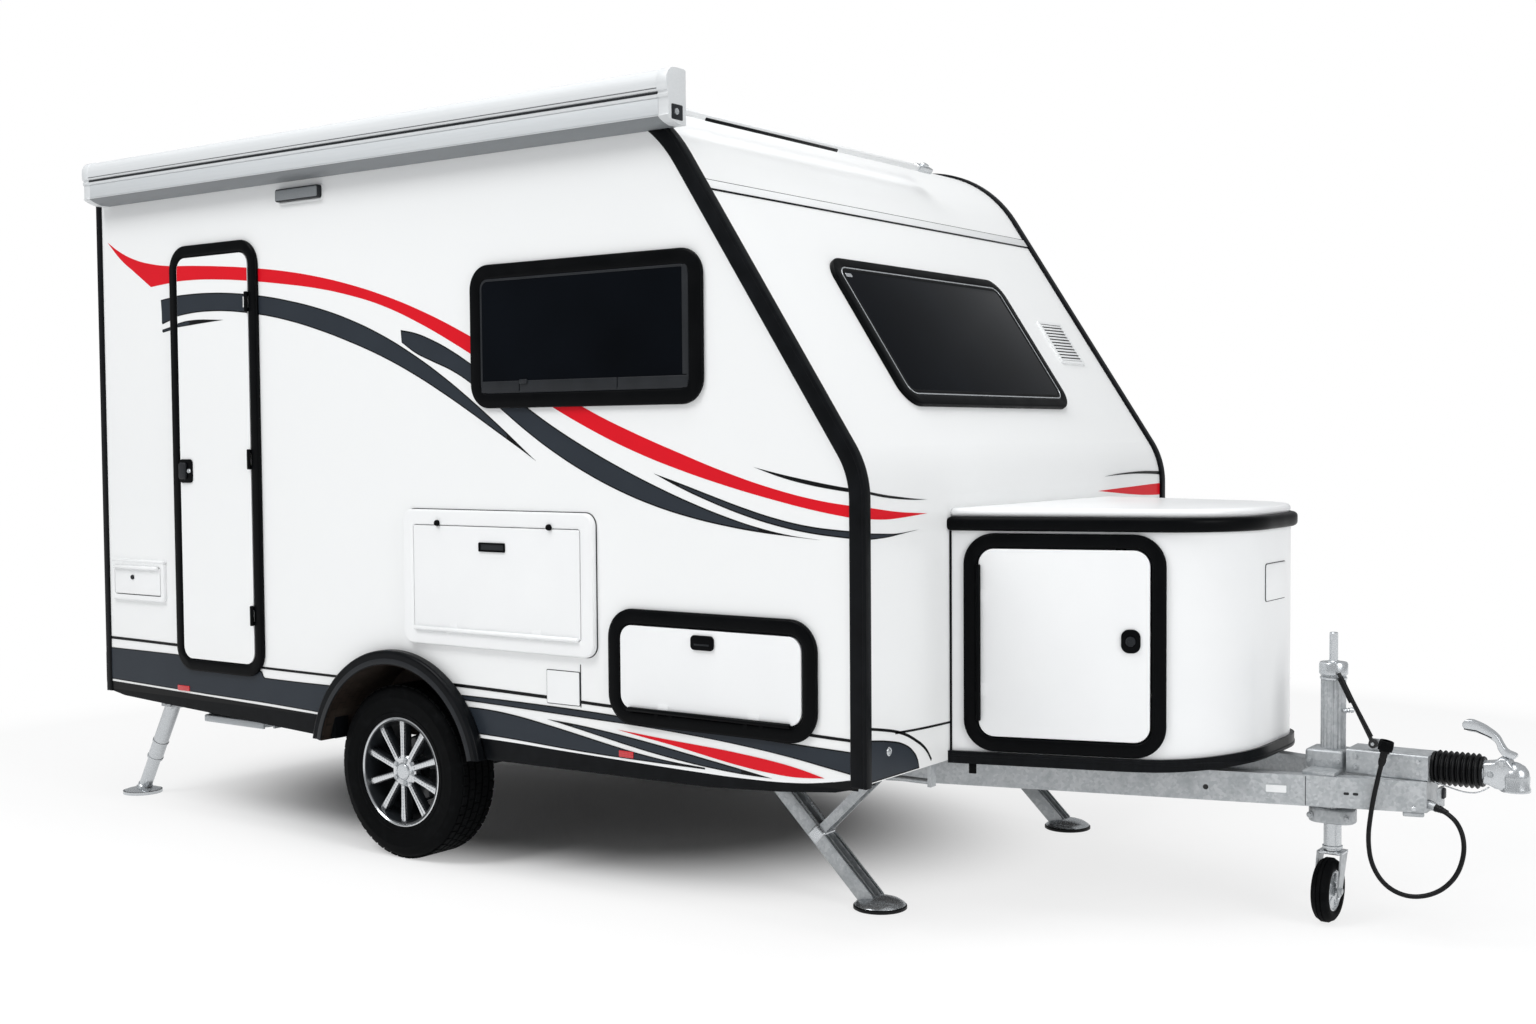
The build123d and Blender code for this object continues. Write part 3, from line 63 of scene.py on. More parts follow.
class CamperSizes(bpy.types.PropertyGroup):
    """Sizes that a user would change, in metres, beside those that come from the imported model"""
    window_from_front: FloatProperty(name="Side window from front", description="Front wall to the side window's frame",
        default=0.570, unit="LENGTH")
    window_width: FloatProperty(name="Side window width", description="Over its frame", default=0.980, unit="LENGTH")
    window_low: FloatProperty(name="Side window sill", description="Height of the frame's lower edge", default=1.594,
        unit="LENGTH")
    window_high: FloatProperty(name="Side window head", description="Height of the frame's upper edge", default=2.070,
        unit="LENGTH")
    window_radius: FloatProperty(name="Window corner", description="Radius of the window frames' corners",
        default=0.080, unit="LENGTH")
    window_rim: FloatProperty(name="Window frame", description="Width of the window frames", default=0.034,
        unit="LENGTH")
    frame_proud: FloatProperty(name="Frame height", description="How far frames stand out of a wall", default=0.014,
        unit="LENGTH")
    door_rim: FloatProperty(name="Door frame", description="Width of the entrance door's black frame", default=0.042,
        unit="LENGTH")
    locker_rim: FloatProperty(name="Locker frame", description="Width of the lockers' black frames", default=0.046,
        unit="LENGTH")
    hatch_rim: FloatProperty(name="Hatch frame", description="Width of the kitchen hatch's white frame", default=0.050,
        unit="LENGTH")
    leaf_gap: FloatProperty(name="Leaf gap", description="Gap round doors and flaps", default=0.005, unit="LENGTH")
    crown: FloatProperty(name="Frame crown", description="Height of the rounded cover over a frame", default=0.0025,
        unit="LENGTH")
    knee_height: FloatProperty(name="Knee height", description="Where the front wall would meet the sloping front",
        default=1.390, unit="LENGTH")
    slope_angle: FloatProperty(name="Slope", description="Of the sloping front, from level", default=radians(56.5),
        subtype="ANGLE")
    knee_radius: FloatProperty(name="Knee radius", description="Between front wall and slope", default=0.280,
        unit="LENGTH")
    brow_radius: FloatProperty(name="Brow radius", description="Between slope and roof", default=0.500, unit="LENGTH")
    tail_radius: FloatProperty(name="Tail radius", description="Between roof and rear wall", default=0.070,
        unit="LENGTH")
    trim_width: FloatProperty(name="Edge trim", description="Width of the black trim along the side walls' edges",
        default=0.046, unit="LENGTH")
    trim_rear: FloatProperty(name="Rear edge trim", description="Width of the trim on the rear edge", default=0.028,
        unit="LENGTH")
    seam: FloatProperty(name="Front joint", description="Joint across the slope, measured up from the knee",
        default=1.048, unit="LENGTH")
    film: FloatProperty(name="Film thickness", description="Thickness of one layer of stripe film", default=0.0004,
        unit="LENGTH")
    box_half: FloatProperty(name="Box half width", description="Of the front storage box at the front wall",
        default=0.586, unit="LENGTH")
    box_taper: FloatProperty(name="Box taper", description="Of the box's sides in plan", default=radians(17),
        subtype="ANGLE")
    box_nose_radius: FloatProperty(name="Box nose radius", description="Of the box's front corners in plan",
        default=0.328, unit="LENGTH")
    tread_blocks: IntProperty(name="Tread blocks", description="Blocks round one row of the tyre's tread", default=54,
        min=12, max=90)
    spokes: IntProperty(name="Spokes", description="Spokes of a road wheel", default=10, min=5, max=16)


class CamperColours(bpy.types.PropertyGroup):
    """Colours as sRGB hex codes"""
    panel: StringProperty(name="Body panels", description="White of the laminate walls", default="#F1F2F2")
    box: StringProperty(name="Storage box", description="White of the thermoformed box and lid", default="#F3F4F4")
    frame: StringProperty(name="Black frames", description="Moulded frames of doors and windows", default="#040506")
    trim: StringProperty(name="Edge trims", description="Rubber trims along the body's edges", default="#050607")
    glass: StringProperty(name="Glazing", description="Tinted double acrylic", default="#030406")
    red: StringProperty(name="Red film", description="Red stripes", default="#DD1323")
    slate: StringProperty(name="Slate film", description="Dark grey stripes", default="#292E35")
    zinc: StringProperty(name="Zinc", description="Hot-dip galvanised steel", default="#C3C6C8")
    alloy: StringProperty(name="Wheel face", description="Machined aluminium", default="#D9DBDD")
    rubber: StringProperty(name="Rubber", description="Tyre rubber", default="#060708")
    floor: StringProperty(name="Studio floor", description="Pale floor and backdrop", default="#FFFFFF")


# --- Modelling helpers --------------------------------------------------------------------------

def sizes():
    """The scene's sizes."""
    return bpy.context.scene.camper_sizes


def colours():
    """The scene's colours."""
    return bpy.context.scene.camper_colours


def nothing():
    """Leaves edit mode and selects nothing."""
    if bpy.context.object and bpy.context.object.mode != "OBJECT":
        bpy.ops.object.mode_set(mode="OBJECT")
    bpy.ops.object.select_all(action="DESELECT")


def only(piece):
    """Selects one piece and makes it active."""
    nothing()
    piece.select_set(True)
    bpy.context.view_layer.objects.active = piece


def edit(piece, kind="VERT", test=None):
    """Enters edit mode on a piece with everything selected, or only the parts that pass a test."""
    only(piece)
    bpy.ops.object.mode_set(mode="EDIT")
    bpy.ops.mesh.select_mode(type=kind)
    bpy.ops.mesh.select_all(action="SELECT" if test is None else "DESELECT")
    if test is not None:
        mesh = bmesh.from_edit_mesh(piece.data)
        parts = {"VERT": mesh.verts, "EDGE": mesh.edges, "FACE": mesh.faces}[kind]
        for part in parts:
            part.select_set(test(part))
        mesh.select_flush_mode()
        bmesh.update_edit_mesh(piece.data)


def done():
    """Back to object mode; returns the active piece."""
    bpy.ops.object.mode_set(mode="OBJECT")
    return bpy.context.object


def apply_place(piece):
    """Puts a piece's place into its mesh."""
    only(piece)
    bpy.ops.object.transform_apply(location=True, rotation=True, scale=True)
    return piece


def moved(x, y, z):
    """A move by x, y and z."""
    return Matrix.Translation((x, y, z))


def place(piece, matrix):
    """Moves a piece by a matrix and applies it."""
    piece.matrix_world = matrix @ piece.matrix_world
    return apply_place(piece)


def basis(x_way, y_way, origin):
    """A matrix whose local X and Y point these ways, with local Z square to both."""
    x_way, y_way = Vector(x_way).normalized(), Vector(y_way).normalized()
    z_way = x_way.cross(y_way)
    matrix = Matrix((x_way, y_way, z_way)).transposed().to_4x4()
    matrix.translation = origin
    return matrix


def along(start, way):
    """A matrix whose local Z runs from start in a direction."""
    matrix = Vector(way).to_track_quat("Z", "Y").to_matrix().to_4x4()
    matrix.translation = start
    return matrix


def modified(piece, kind, **settings):
    """Adds a modifier to a piece and applies it."""
    only(piece)
    modifier = piece.modifiers.new(kind.title(), kind)
    for key, value in settings.items():
        setattr(modifier, key, value)
    bpy.ops.object.modifier_apply(modifier=modifier.name)
    return piece


def softened(piece, width, segments=2, angle=35):
    """Rounds a piece's sharp edges."""
    return modified(piece, "BEVEL", width=width, segments=segments, limit_method="ANGLE", angle_limit=radians(angle))


def outward(piece):
    """Merges doubles and turns all faces outwards."""
    edit(piece)
    bpy.ops.mesh.remove_doubles(threshold=1e-6)
    bpy.ops.mesh.normals_make_consistent(inside=False)
    return done()


def joined(name, pieces):
    """Joins pieces into one."""
    nothing()
    for piece in pieces:
        piece.select_set(True)
    bpy.context.view_layer.objects.active = pieces[0]
    if len(pieces) > 1:
        bpy.ops.object.join()
    pieces[0].name = name
    return pieces[0]


def copy_of(piece, name, matrix=None):
    """A copy of a piece with its own mesh."""
    only(piece)
    bpy.ops.object.duplicate(linked=False)
    made = bpy.context.object
    made.name = name
    return place(made, matrix) if matrix is not None else made


def mirrored(piece, name):
    """A copy of a piece on the trailer's other side."""
    made = copy_of(piece, name, Matrix.Diagonal((1, -1, 1, 1)))
    edit(made)
    bpy.ops.mesh.normals_make_consistent(inside=False)
    return done()


def repeated(name, piece, matrices):
    """Copies of a piece at these places as one mesh; the first place moves the piece itself."""
    copies = [copy_of(piece, name, matrix) for matrix in matrices[1:]]
    return joined(name, [place(piece, matrices[0])] + copies)


def block(name, low, high, edge=0.0, segments=2):
    """A box between two corners with rounded edges."""
    nothing()
    middle = [(a + b) / 2 for a, b in zip(low, high)]
    bpy.ops.mesh.primitive_cube_add(size=1, location=middle, scale=[b - a for a, b in zip(low, high)])
    piece = apply_place(bpy.context.object)
    piece.name = name
    return softened(piece, edge, segments) if edge else piece


def rounded_face(name, panel, arc=10):
    """A flat face in the XY plane with rounded corners; panel is (x0, x1, y0, y1, radius)."""
    x0, x1, y0, y1, radius = panel
    nothing()
    bpy.ops.mesh.primitive_plane_add(size=1, location=((x0 + x1) / 2, (y0 + y1) / 2, 0))
    piece = bpy.context.object
    piece.name = name
    piece.scale = (x1 - x0, y1 - y0, 1)
    apply_place(piece)
    edit(piece)
    bpy.ops.mesh.bevel(offset=radius, segments=arc, affect="VERTICES")
    return done()


def raised(piece, low, high, edge=0.0, segments=3):
    """Extrudes a flat piece from one height to another and rounds its edges."""
    edit(piece, "FACE")
    bpy.ops.mesh.extrude_region_move(TRANSFORM_OT_translate={"value": (0, 0, high - low)})
    done()
    piece.location.z += low
    apply_place(piece)
    outward(piece)
    return softened(piece, edge, segments) if edge else piece


def plate(name, panel, low, high, edge=0.0, segments=3):
    """A rounded plate between two heights."""
    return raised(rounded_face(name, panel), low, high, edge, segments)


def ring(name, panel, rim, low, high, edge=0.0, segments=3):
    """A rounded frame of a given width between two heights."""
    piece = rounded_face(name, panel)
    edit(piece, "FACE")
    bpy.ops.mesh.inset(thickness=rim, use_even_offset=True)
    bpy.ops.mesh.delete(type="FACE")
    done()
    return raised(piece, low, high, edge, segments)


def shrunk(panel, by):
    """A panel moved inwards on all sides."""
    x0, x1, y0, y1, radius = panel
    return (x0 + by, x1 - by, y0 + by, y1 - by, max(radius - by, 0.003))


def drawn(name, outlines, low, high, smooth=False, edge=0.0, segments=2):
    """A solid between two heights. Each drawn outline is a list of (x, y), or (x, y, True) at a sharp corner."""
    nothing()
    bpy.ops.curve.primitive_bezier_circle_add(radius=1, location=(0, 0, 0))
    curve = bpy.context.object.data
    curve.dimensions = "2D"
    curve.fill_mode = "BOTH"
    curve.resolution_u = 5
    curve.splines.clear()
    for outline in outlines:
        line = curve.splines.new("BEZIER" if smooth else "POLY")
        if smooth:
            line.bezier_points.add(len(outline) - 1)
            for spot, point in zip(line.bezier_points, outline):
                spot.co = (point[0], point[1], 0)
                kind = "VECTOR" if len(point) > 2 else "AUTO"
                spot.handle_left_type = spot.handle_right_type = kind
        else:
            line.points.add(len(outline) - 1)
            for spot, point in zip(line.points, outline):
                spot.co = (point[0], point[1], 0, 1)
        line.use_cyclic_u = True
    bpy.ops.object.convert(target="MESH")
    piece = bpy.context.object
    piece.name = name
    edit(piece)
    bpy.ops.mesh.remove_doubles(threshold=2e-6)
    bpy.ops.mesh.dissolve_limited(angle_limit=radians(0.05))
    done()
    return raised(piece, low, high, edge, segments)


def turned(name, profile, sides=32):
    """A turned solid along Z from (radius, height) pairs."""
    nothing()
    radius, height = profile[0]
    bpy.ops.mesh.primitive_circle_add(vertices=sides, radius=radius, fill_type="NGON", location=(0, 0, height))
    piece = apply_place(bpy.context.object)
    piece.name = name
    edit(piece, "FACE")
    for (before, low), (after, high) in zip(profile, profile[1:]):
        bpy.ops.mesh.extrude_region_move(TRANSFORM_OT_translate={"value": (0, 0, high - low)})
        bpy.ops.transform.resize(value=(after / before, after / before, 1), center_override=(0, 0, high))
    done()
    return outward(piece)


def spun(name, section, steps=72, sweep=2 * pi, turn=0.0):
    """A closed section of (radius, height) points spun round the Z axis."""
    nothing()
    bpy.ops.mesh.primitive_circle_add(vertices=len(section), radius=1, fill_type="NOTHING")
    piece = bpy.context.object
    piece.name = name
    edit(piece)
    mesh = bmesh.from_edit_mesh(piece.data)
    for vertex, (radius, height) in zip(mesh.verts, section):
        vertex.co = (radius * cos(turn), radius * sin(turn), height)
    bmesh.update_edit_mesh(piece.data)
    bpy.ops.mesh.spin(steps=steps, angle=-sweep, center=(0, 0, 0), axis=(0, 0, 1))
    if sweep < 2 * pi - 0.01:
        bpy.ops.mesh.select_all(action="SELECT")
        bpy.ops.mesh.select_non_manifold(extend=False)
        bpy.ops.mesh.edge_face_add()
    done()
    return outward(piece)


def tube(name, points, radius, sides=4, order=3):
    """A round bar along a smooth line through space."""
    nothing()
    bpy.ops.curve.primitive_nurbs_path_add(location=(0, 0, 0))
    curve = bpy.context.object.data
    curve.splines.clear()
    line = curve.splines.new("NURBS")
    line.points.add(len(points) - 1)
    for spot, point in zip(line.points, points):
        spot.co = (*point, 1)
    line.order_u = min(order, len(points))
    line.use_endpoint_u = True
    curve.resolution_u = 8
    curve.bevel_depth = radius
    curve.bevel_resolution = sides
    curve.use_fill_caps = True
    bpy.ops.object.convert(target="MESH")
    bpy.context.object.name = name
    return outward(bpy.context.object)


def trimmed(piece, tool, operation="DIFFERENCE"):
    """Cuts a piece with a tool, which is then removed."""
    modified(piece, "BOOLEAN", object=tool, operation=operation, solver="EXACT")
    bpy.data.objects.remove(tool)
    return piece


def settle(piece, look, body="trailer", smooth=32, stands_for=()):
    """Gives a finished piece its material, and lets it ride on its body."""
    apply_place(piece)
    bpy.ops.object.shade_smooth_by_angle(angle=radians(smooth))
    slot, make = LOOKS[look]
    piece.data.materials.clear()
    piece.data.materials.append(bpy.data.materials.get(look) or make(look))
    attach(piece, body)
    if stands_for:
        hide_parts(*stands_for)
    return piece


def dress(look, *nodes):
    """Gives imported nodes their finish."""
    for name in nodes:
        node = frame["nodes"][name]
        node.data.materials.clear()
        node.data.materials.append(bpy.data.materials.get(look) or LOOKS[look][1](look))


def both_sides(name, piece, look, bodies=("trailer", "trailer"), **how):
    """Settles a right-hand piece and its mirrored copy on the left."""
    twin = mirrored(piece, name + "_left")
    piece.name = name + "_right"
    return settle(piece, look, bodies[0], **how), settle(twin, look, bodies[1], **how)


RIGHT_WALL = basis((1, 0, 0), (0, 0, 1), (0, -HALF, 0))
FRONT_WALL = basis((0, 1, 0), (0, 0, 1), (FRONT, 0, 0))
REAR_WALL = basis((0, -1, 0), (0, 0, 1), (REAR, 0, 0))


def slope_frame():
    """The sloping front: X to the trailer's left, Y up the slope from the knee, Z outwards."""
    angle = sizes().slope_angle
    return basis((0, 1, 0), (-cos(angle), 0, sin(angle)), (FRONT, 0, sizes().knee_height))


def box_side_frame():
    """The storage box's right side: X forwards along it from the front wall, Y up, Z outwards."""
    taper = sizes().box_taper
    return basis((cos(taper), sin(taper), 0), (0, 0, 1), (FRONT, -sizes().box_half, 0))


# --- Materials ------------------------------------------------------------------------------------

def linear(code):
    """An sRGB hex colour as linear RGBA."""
    values = [int(code[i:i + 2], 16) / 255 for i in (1, 3, 5)]
    return [v / 12.92 if v <= 0.04045 else ((v + 0.055) / 1.055) ** 2.4 for v in values] + [1.0]


def add(tree, kind, inputs=None, out=None, **settings):
    """Adds a node, each input given as a value or as the output that feeds it; returns it or one of its outputs."""
    made = tree.nodes.new("ShaderNode" + kind)
    for key, value in settings.items():
        setattr(made, key, value)
    for socket, value in (inputs or {}).items():
        if isinstance(value, bpy.types.NodeSocket):
            tree.links.new(value, made.inputs[socket])
        else:
            made.inputs[socket].default_value = value
    return made if out is None else made.outputs[out]


def per_mm(size):
    """Texture scale that gives a pattern of this size in millimetres on Object coordinates."""
    return 1000.0 / size


def blank(name):
    """An empty node material: its tree, shader and Object coordinates."""
    made = bpy.data.materials.new(name)
    made.use_nodes = True
    tree = made.node_tree
    tree.nodes.clear()
    shader = add(tree, "BsdfPrincipled")
    add(tree, "OutputMaterial", {"Surface": shader.outputs["BSDF"]})
    return made, tree, shader, add(tree, "TexCoord", out="Object")


def feed(tree, shader, **links):
    """Links outputs or sets values on the shader's sockets; underscores stand for spaces."""
    for socket, value in links.items():
        target = shader.inputs[socket.replace("_", " ")]
        if isinstance(value, bpy.types.NodeSocket):
            tree.links.new(value, target)
        else:
            target.default_value = value


def finish(made, tree, shader, tone, pair, gloss, rough, relief=None, **values):
    """Ends a recipe: a pattern mixes two colours, another ranges the roughness, a third is the relief (height,
    strength, distance). The roughness is its two ends, and may be followed by the pattern's own."""
    first, second = [linear(end) if isinstance(end, str) else end for end in pair]
    span = dict(zip(("To Min", "To Max", "From Min", "From Max"), rough))
    feed(tree, shader, Base_Color=add(tree, "Mix", {0: tone, 6: first, 7: second}, 2, data_type="RGBA"),
         Roughness=add(tree, "MapRange", {"Value": gloss, **span}, "Result"), **values)
    if relief:
        bump = dict(zip(("Height", "Strength", "Distance"), relief))
        feed(tree, shader, Normal=add(tree, "Bump", bump, "Normal"))
    return made


def laminate(name):
    # Gel-coated glass-fibre laminate panels: glossy white with a faint orange peel and a breath of road dust low down.
    made, tree, shader, at = blank(name)
    cloud = add(tree, "TexNoise", {"Vector": at, "Scale": per_mm(420), "Detail": 3.0, "Roughness": 0.55}, "Fac")
    peel = add(tree, "TexNoise", {"Vector": at, "Scale": per_mm(9), "Detail": 2.0}, "Fac")
    height = add(tree, "SeparateXYZ", {"Vector": at}, "Z")
    dust = add(tree, "MapRange", {"Value": height, "From Min": 0.46, "From Max": 0.80, "To Min": 0.35, "To Max": 0.0},
               "Result")
    dusty = add(tree, "Math", {0: dust, 1: cloud}, 0, operation="MULTIPLY")
    clean = add(tree, "Mix", {0: cloud, 6: linear("#F0F1F1"), 7: linear(colours().panel)}, 2, data_type="RGBA")
    return finish(made, tree, shader, dusty, (clean, "#DEDDD9"), cloud, (0.30, 0.36), (peel, 0.05, 0.0006),
                  IOR=1.5, Coat_Weight=0.12, Coat_Roughness=0.15)


def thermoformed(name):
    # Thermoformed ABS with an acrylic cap: whiter and softer in its gloss than the walls, a faint leather grain drawn
    # at 5 mm.
    made, tree, shader, at = blank(name)
    grain = add(tree, "TexVoronoi", {"Vector": at, "Scale": per_mm(5)}, "Distance", feature="SMOOTH_F1")
    draw = add(tree, "TexNoise", {"Vector": at, "Scale": per_mm(260), "Detail": 2.0}, "Fac")
    return finish(made, tree, shader, draw, ("#ECEDEE", colours().box), draw, (0.27, 0.38), (grain, 0.05, 0.0004),
                  IOR=1.49, Coat_Weight=0.15, Coat_Roughness=0.12)


def moulded_black(name):
    # Injection-moulded ASA frames: deep black, satin, with a fine spark-eroded grain drawn at 2.5 mm and rubbed
    # brighter in patches.
    made, tree, shader, at = blank(name)
    grain = add(tree, "TexNoise", {"Vector": at, "Scale": per_mm(2.5), "Detail": 3.0}, "Fac")
    rub = add(tree, "TexNoise", {"Vector": at, "Scale": per_mm(90), "Detail": 2.0}, "Fac")
    return finish(made, tree, shader, rub, (colours().frame, "#0A0B0D"), rub, (0.28, 0.42, 0.3, 0.7),
                  (grain, 0.10, 0.0003), IOR=1.5, Specular_IOR_Level=0.05)


def graphite(name):
    # Dyed polyamide fittings: dark grey with a silky grain of 2 mm. The same grey is painted shade in the awning case's
    # groove and along the coupling handle's lower side.
    made, tree, shader, at = blank(name)
    grain = add(tree, "TexNoise", {"Vector": at, "Scale": per_mm(2), "Detail": 2.0}, "Fac")
    tone = add(tree, "TexNoise", {"Vector": at, "Scale": per_mm(60), "Detail": 2.0}, "Fac")
    return finish(made, tree, shader, tone, ("#17191C", "#24272B"), tone, (0.36, 0.50), (grain, 0.08, 0.0003),
                  IOR=1.5, Specular_IOR_Level=0.25)


def trim_rubber(name):
    # Co-extruded PVC edge trim: black, half gloss, drawn along its length.
    made, tree, shader, at = blank(name)
    stretched = add(tree, "Mapping", {"Vector": at, "Scale": (0.06, 1.0, 0.06)}, "Vector")
    lines = add(tree, "TexNoise", {"Vector": stretched, "Scale": per_mm(4), "Detail": 2.0}, "Fac")
    return finish(made, tree, shader, lines, (colours().trim, "#15171A"), lines, (0.24, 0.40), (lines, 0.08, 0.0004),
                  IOR=1.52, Specular_IOR_Level=0.07)


def glazing(name):
    # Double acrylic glazing, dark tint: almost black with a blue cast, polished, its sheets slightly wavy over 300 mm.
    made, tree, shader, at = blank(name)
    wave = add(tree, "TexNoise", {"Vector": at, "Scale": per_mm(300), "Detail": 1.0}, "Fac")
    return finish(made, tree, shader, wave, (colours().glass, "#0C1016"), wave, (0.03, 0.08), (wave, 0.12, 0.004),
                  IOR=1.49, Specular_IOR_Level=0.05)


def film(name):
    # Cast vinyl film on gelcoat: flat saturated colour, slightly less gloss than the panel, a faint stipple of
    # adhesive drawn at 6 mm.
    pair = {"film_red": (colours().red, "#D01322"), "film_slate": (colours().slate, "#2F353C"),
            "film_black": ("#050607", "#0B0C0E"), "film_white": ("#F4F5F5", "#EAEBEC")}[name]
    made, tree, shader, at = blank(name)
    stipple = add(tree, "TexNoise", {"Vector": at, "Scale": per_mm(6), "Detail": 2.0}, "Fac")
    cloud = add(tree, "TexNoise", {"Vector": at, "Scale": per_mm(180), "Detail": 2.0}, "Fac")
    return finish(made, tree, shader, cloud, pair, stipple, (0.28, 0.36), (stipple, 0.03, 0.0003),
                  IOR=1.48, Specular_IOR_Level=0.15)


def powder_coat(name):
    # Powder-coated aluminium extrusion: eggshell gloss with die lines along its length, drawn at 6 mm. The pale grey is
    # partly painted shade, on the awning's lower panel under the case's bulge.
    shade, colour, rough = {"coated_white": ("#E2E4E5", "#EFF0F0", 0.34), "coated_grey": ("#A9AEB2", "#B9BDC0", 0.42),
                            "coated_pale": ("#C2C6C9", "#CDD0D2", 0.40),
                            "coated_shell": ("#CED1D3", "#D9DBDC", 0.36)}[name]
    made, tree, shader, at = blank(name)
    drawn_out = add(tree, "Mapping", {"Vector": at, "Scale": (0.02, 1.0, 1.0)}, "Vector")
    lines = add(tree, "TexNoise", {"Vector": drawn_out, "Scale": per_mm(6), "Detail": 2.0}, "Fac")
    grit = add(tree, "TexNoise", {"Vector": at, "Scale": per_mm(3), "Detail": 1.0}, "Fac")
    return finish(made, tree, shader, lines, (shade, colour), grit, (rough - 0.05, rough + 0.06),
                  (lines, 0.06, 0.0005), IOR=1.5)


def galvanised(name):
    # Hot-dip galvanised steel: grey zinc with spangle crystals of 9 mm that differ in tone and gloss, and dull grey
    # bloom.
    made, tree, shader, at = blank(name)
    crystal = add(tree, "TexVoronoi", {"Vector": at, "Scale": per_mm(9), "Randomness": 1.0}, "Color")
    bloom = add(tree, "TexNoise", {"Vector": at, "Scale": per_mm(60), "Detail": 4.0, "Roughness": 0.6}, "Fac")
    tone = add(tree, "SeparateColor", {"Color": crystal}, "Red")
    zinc = add(tree, "Mix", {0: tone, 6: linear("#A9ADB0"), 7: linear(colours().zinc)}, 2, data_type="RGBA")
    dull = add(tree, "MapRange", {"Value": bloom, "From Min": 0.45, "From Max": 0.8, "To Min": 0.0, "To Max": 0.7},
               "Result")
    return finish(made, tree, shader, dull, (zinc, "#8E9396"), tone, (0.34, 0.50), (bloom, 0.12, 0.0008),
                  Metallic=0.55)


def bright_zinc(name):
    # Zinc-plated and polished fittings: bright, bluish, with fine scratches drawn at 3 mm.
    made, tree, shader, at = blank(name)
    brush = add(tree, "Mapping", {"Vector": at, "Scale": (1.0, 0.15, 1.0)}, "Vector")
    scratch = add(tree, "TexNoise", {"Vector": brush, "Scale": per_mm(3), "Detail": 3.0}, "Fac")
    return finish(made, tree, shader, scratch, ("#B4B8BC", "#DADDDF"), scratch, (0.16, 0.34),
                  (scratch, 0.08, 0.0003), Metallic=0.75)


def dipped_steel(name):
    # Cathodic-dipped chassis steel: dull black with a dusty film in patches and stone chips of about 12 mm. The same
    # black is painted shade in the drawbar's slots and hole, the leg nut's hole and the brace's slot.
    made, tree, shader, at = blank(name)
    dust = add(tree, "TexNoise", {"Vector": at, "Scale": per_mm(70), "Detail": 4.0}, "Fac")
    chips = add(tree, "TexVoronoi", {"Vector": at, "Scale": per_mm(12)}, "Distance")
    dusty = add(tree, "MapRange", {"Value": dust, "From Min": 0.45, "From Max": 0.75, "To Min": 0.0, "To Max": 0.6},
                "Result")
    return finish(made, tree, shader, dusty, ("#0D0E10", "#26272A"), dust, (0.42, 0.66), (chips, 0.10, 0.0006),
                  IOR=1.5)


def tyre_rubber(name):
    # Vulcanised tyre rubber: matt black, greyed by dust, with a mould grain of 3 mm.
    made, tree, shader, at = blank(name)
    grain = add(tree, "TexNoise", {"Vector": at, "Scale": per_mm(3), "Detail": 2.0}, "Fac")
    dust = add(tree, "TexNoise", {"Vector": at, "Scale": per_mm(45), "Detail": 4.0}, "Fac")
    dusty = add(tree, "MapRange", {"Value": dust, "From Min": 0.5, "From Max": 0.8, "To Min": 0.0, "To Max": 0.6},
                "Result")
    return finish(made, tree, shader, dusty, (colours().rubber, "#17181A"), dust, (0.55, 0.78),
                  (grain, 0.20, 0.0005), IOR=1.52, Specular_IOR_Level=0.05)


def soft_rubber(name):
    # Moulded EPDM bellows, hose and cable jacket: black with a waxy half gloss.
    made, tree, shader, at = blank(name)
    bloom = add(tree, "TexNoise", {"Vector": at, "Scale": per_mm(25), "Detail": 3.0}, "Fac")
    grain = add(tree, "TexNoise", {"Vector": at, "Scale": per_mm(2), "Detail": 1.0}, "Fac")
    return finish(made, tree, shader, bloom, ("#060708", "#101113"), bloom, (0.36, 0.55), (grain, 0.08, 0.0003),
                  IOR=1.5, Specular_IOR_Level=0.2)


def machined_alloy(name):
    # Diamond-turned wheel face under clear lacquer: bright aluminium with fine cutting rings, drawn 4 mm apart.
    made, tree, shader, at = blank(name)
    offset = add(tree, "Mapping", {"Vector": at, "Location": (-WHEEL_MIDDLE.x, 0.0, -WHEEL_MIDDLE.z)}, "Vector")
    rings = add(tree, "TexWave", {"Vector": offset, "Scale": per_mm(2) / 20, "Distortion": 0.6, "Detail": 1.0}, "Fac",
                wave_type="RINGS", rings_direction="Y")
    return finish(made, tree, shader, rings, ("#C6C9CC", colours().alloy), rings, (0.20, 0.30),
                  (rings, 0.03, 0.0002), Metallic=1.0, Coat_Weight=0.4, Coat_Roughness=0.06)


def wheel_paint(name):
    # Wheel pockets in gloss anthracite paint with a faint metallic flake drawn at 2 mm.
    made, tree, shader, at = blank(name)
    flake = add(tree, "TexVoronoi", {"Vector": at, "Scale": per_mm(2)}, "Distance")
    return finish(made, tree, shader, flake, ("#1B1D20", "#33373B"), flake, (0.28, 0.40),
                  Metallic=0.4, Specular_IOR_Level=0.2, Coat_Weight=0.6, Coat_Roughness=0.05)


def lens(name):
    # Acrylic lamp lens and reflector: clear coloured plastic over a grid of prisms drawn at 6 mm.
    deep, bright = {"lens_red": ("#8E0A12", "#E0202B"), "lens_amber": ("#B95A06", "#F59A23"),
                    "lens_clear": ("#B4B9BC", "#F2F4F4")}[name]
    made, tree, shader, at = blank(name)
    prism = add(tree, "TexVoronoi", {"Vector": at, "Scale": per_mm(6), "Randomness": 0.0}, "Distance",
                distance="CHEBYCHEV")
    edge = add(tree, "MapRange", {"Value": prism, "From Min": 0.1, "From Max": 0.6, "To Min": 0.0, "To Max": 1.0},
               "Result")
    return finish(made, tree, shader, edge, (bright, deep), prism, (0.06, 0.14), (prism, 0.25, 0.001),
                  IOR=1.49, Coat_Weight=0.5)


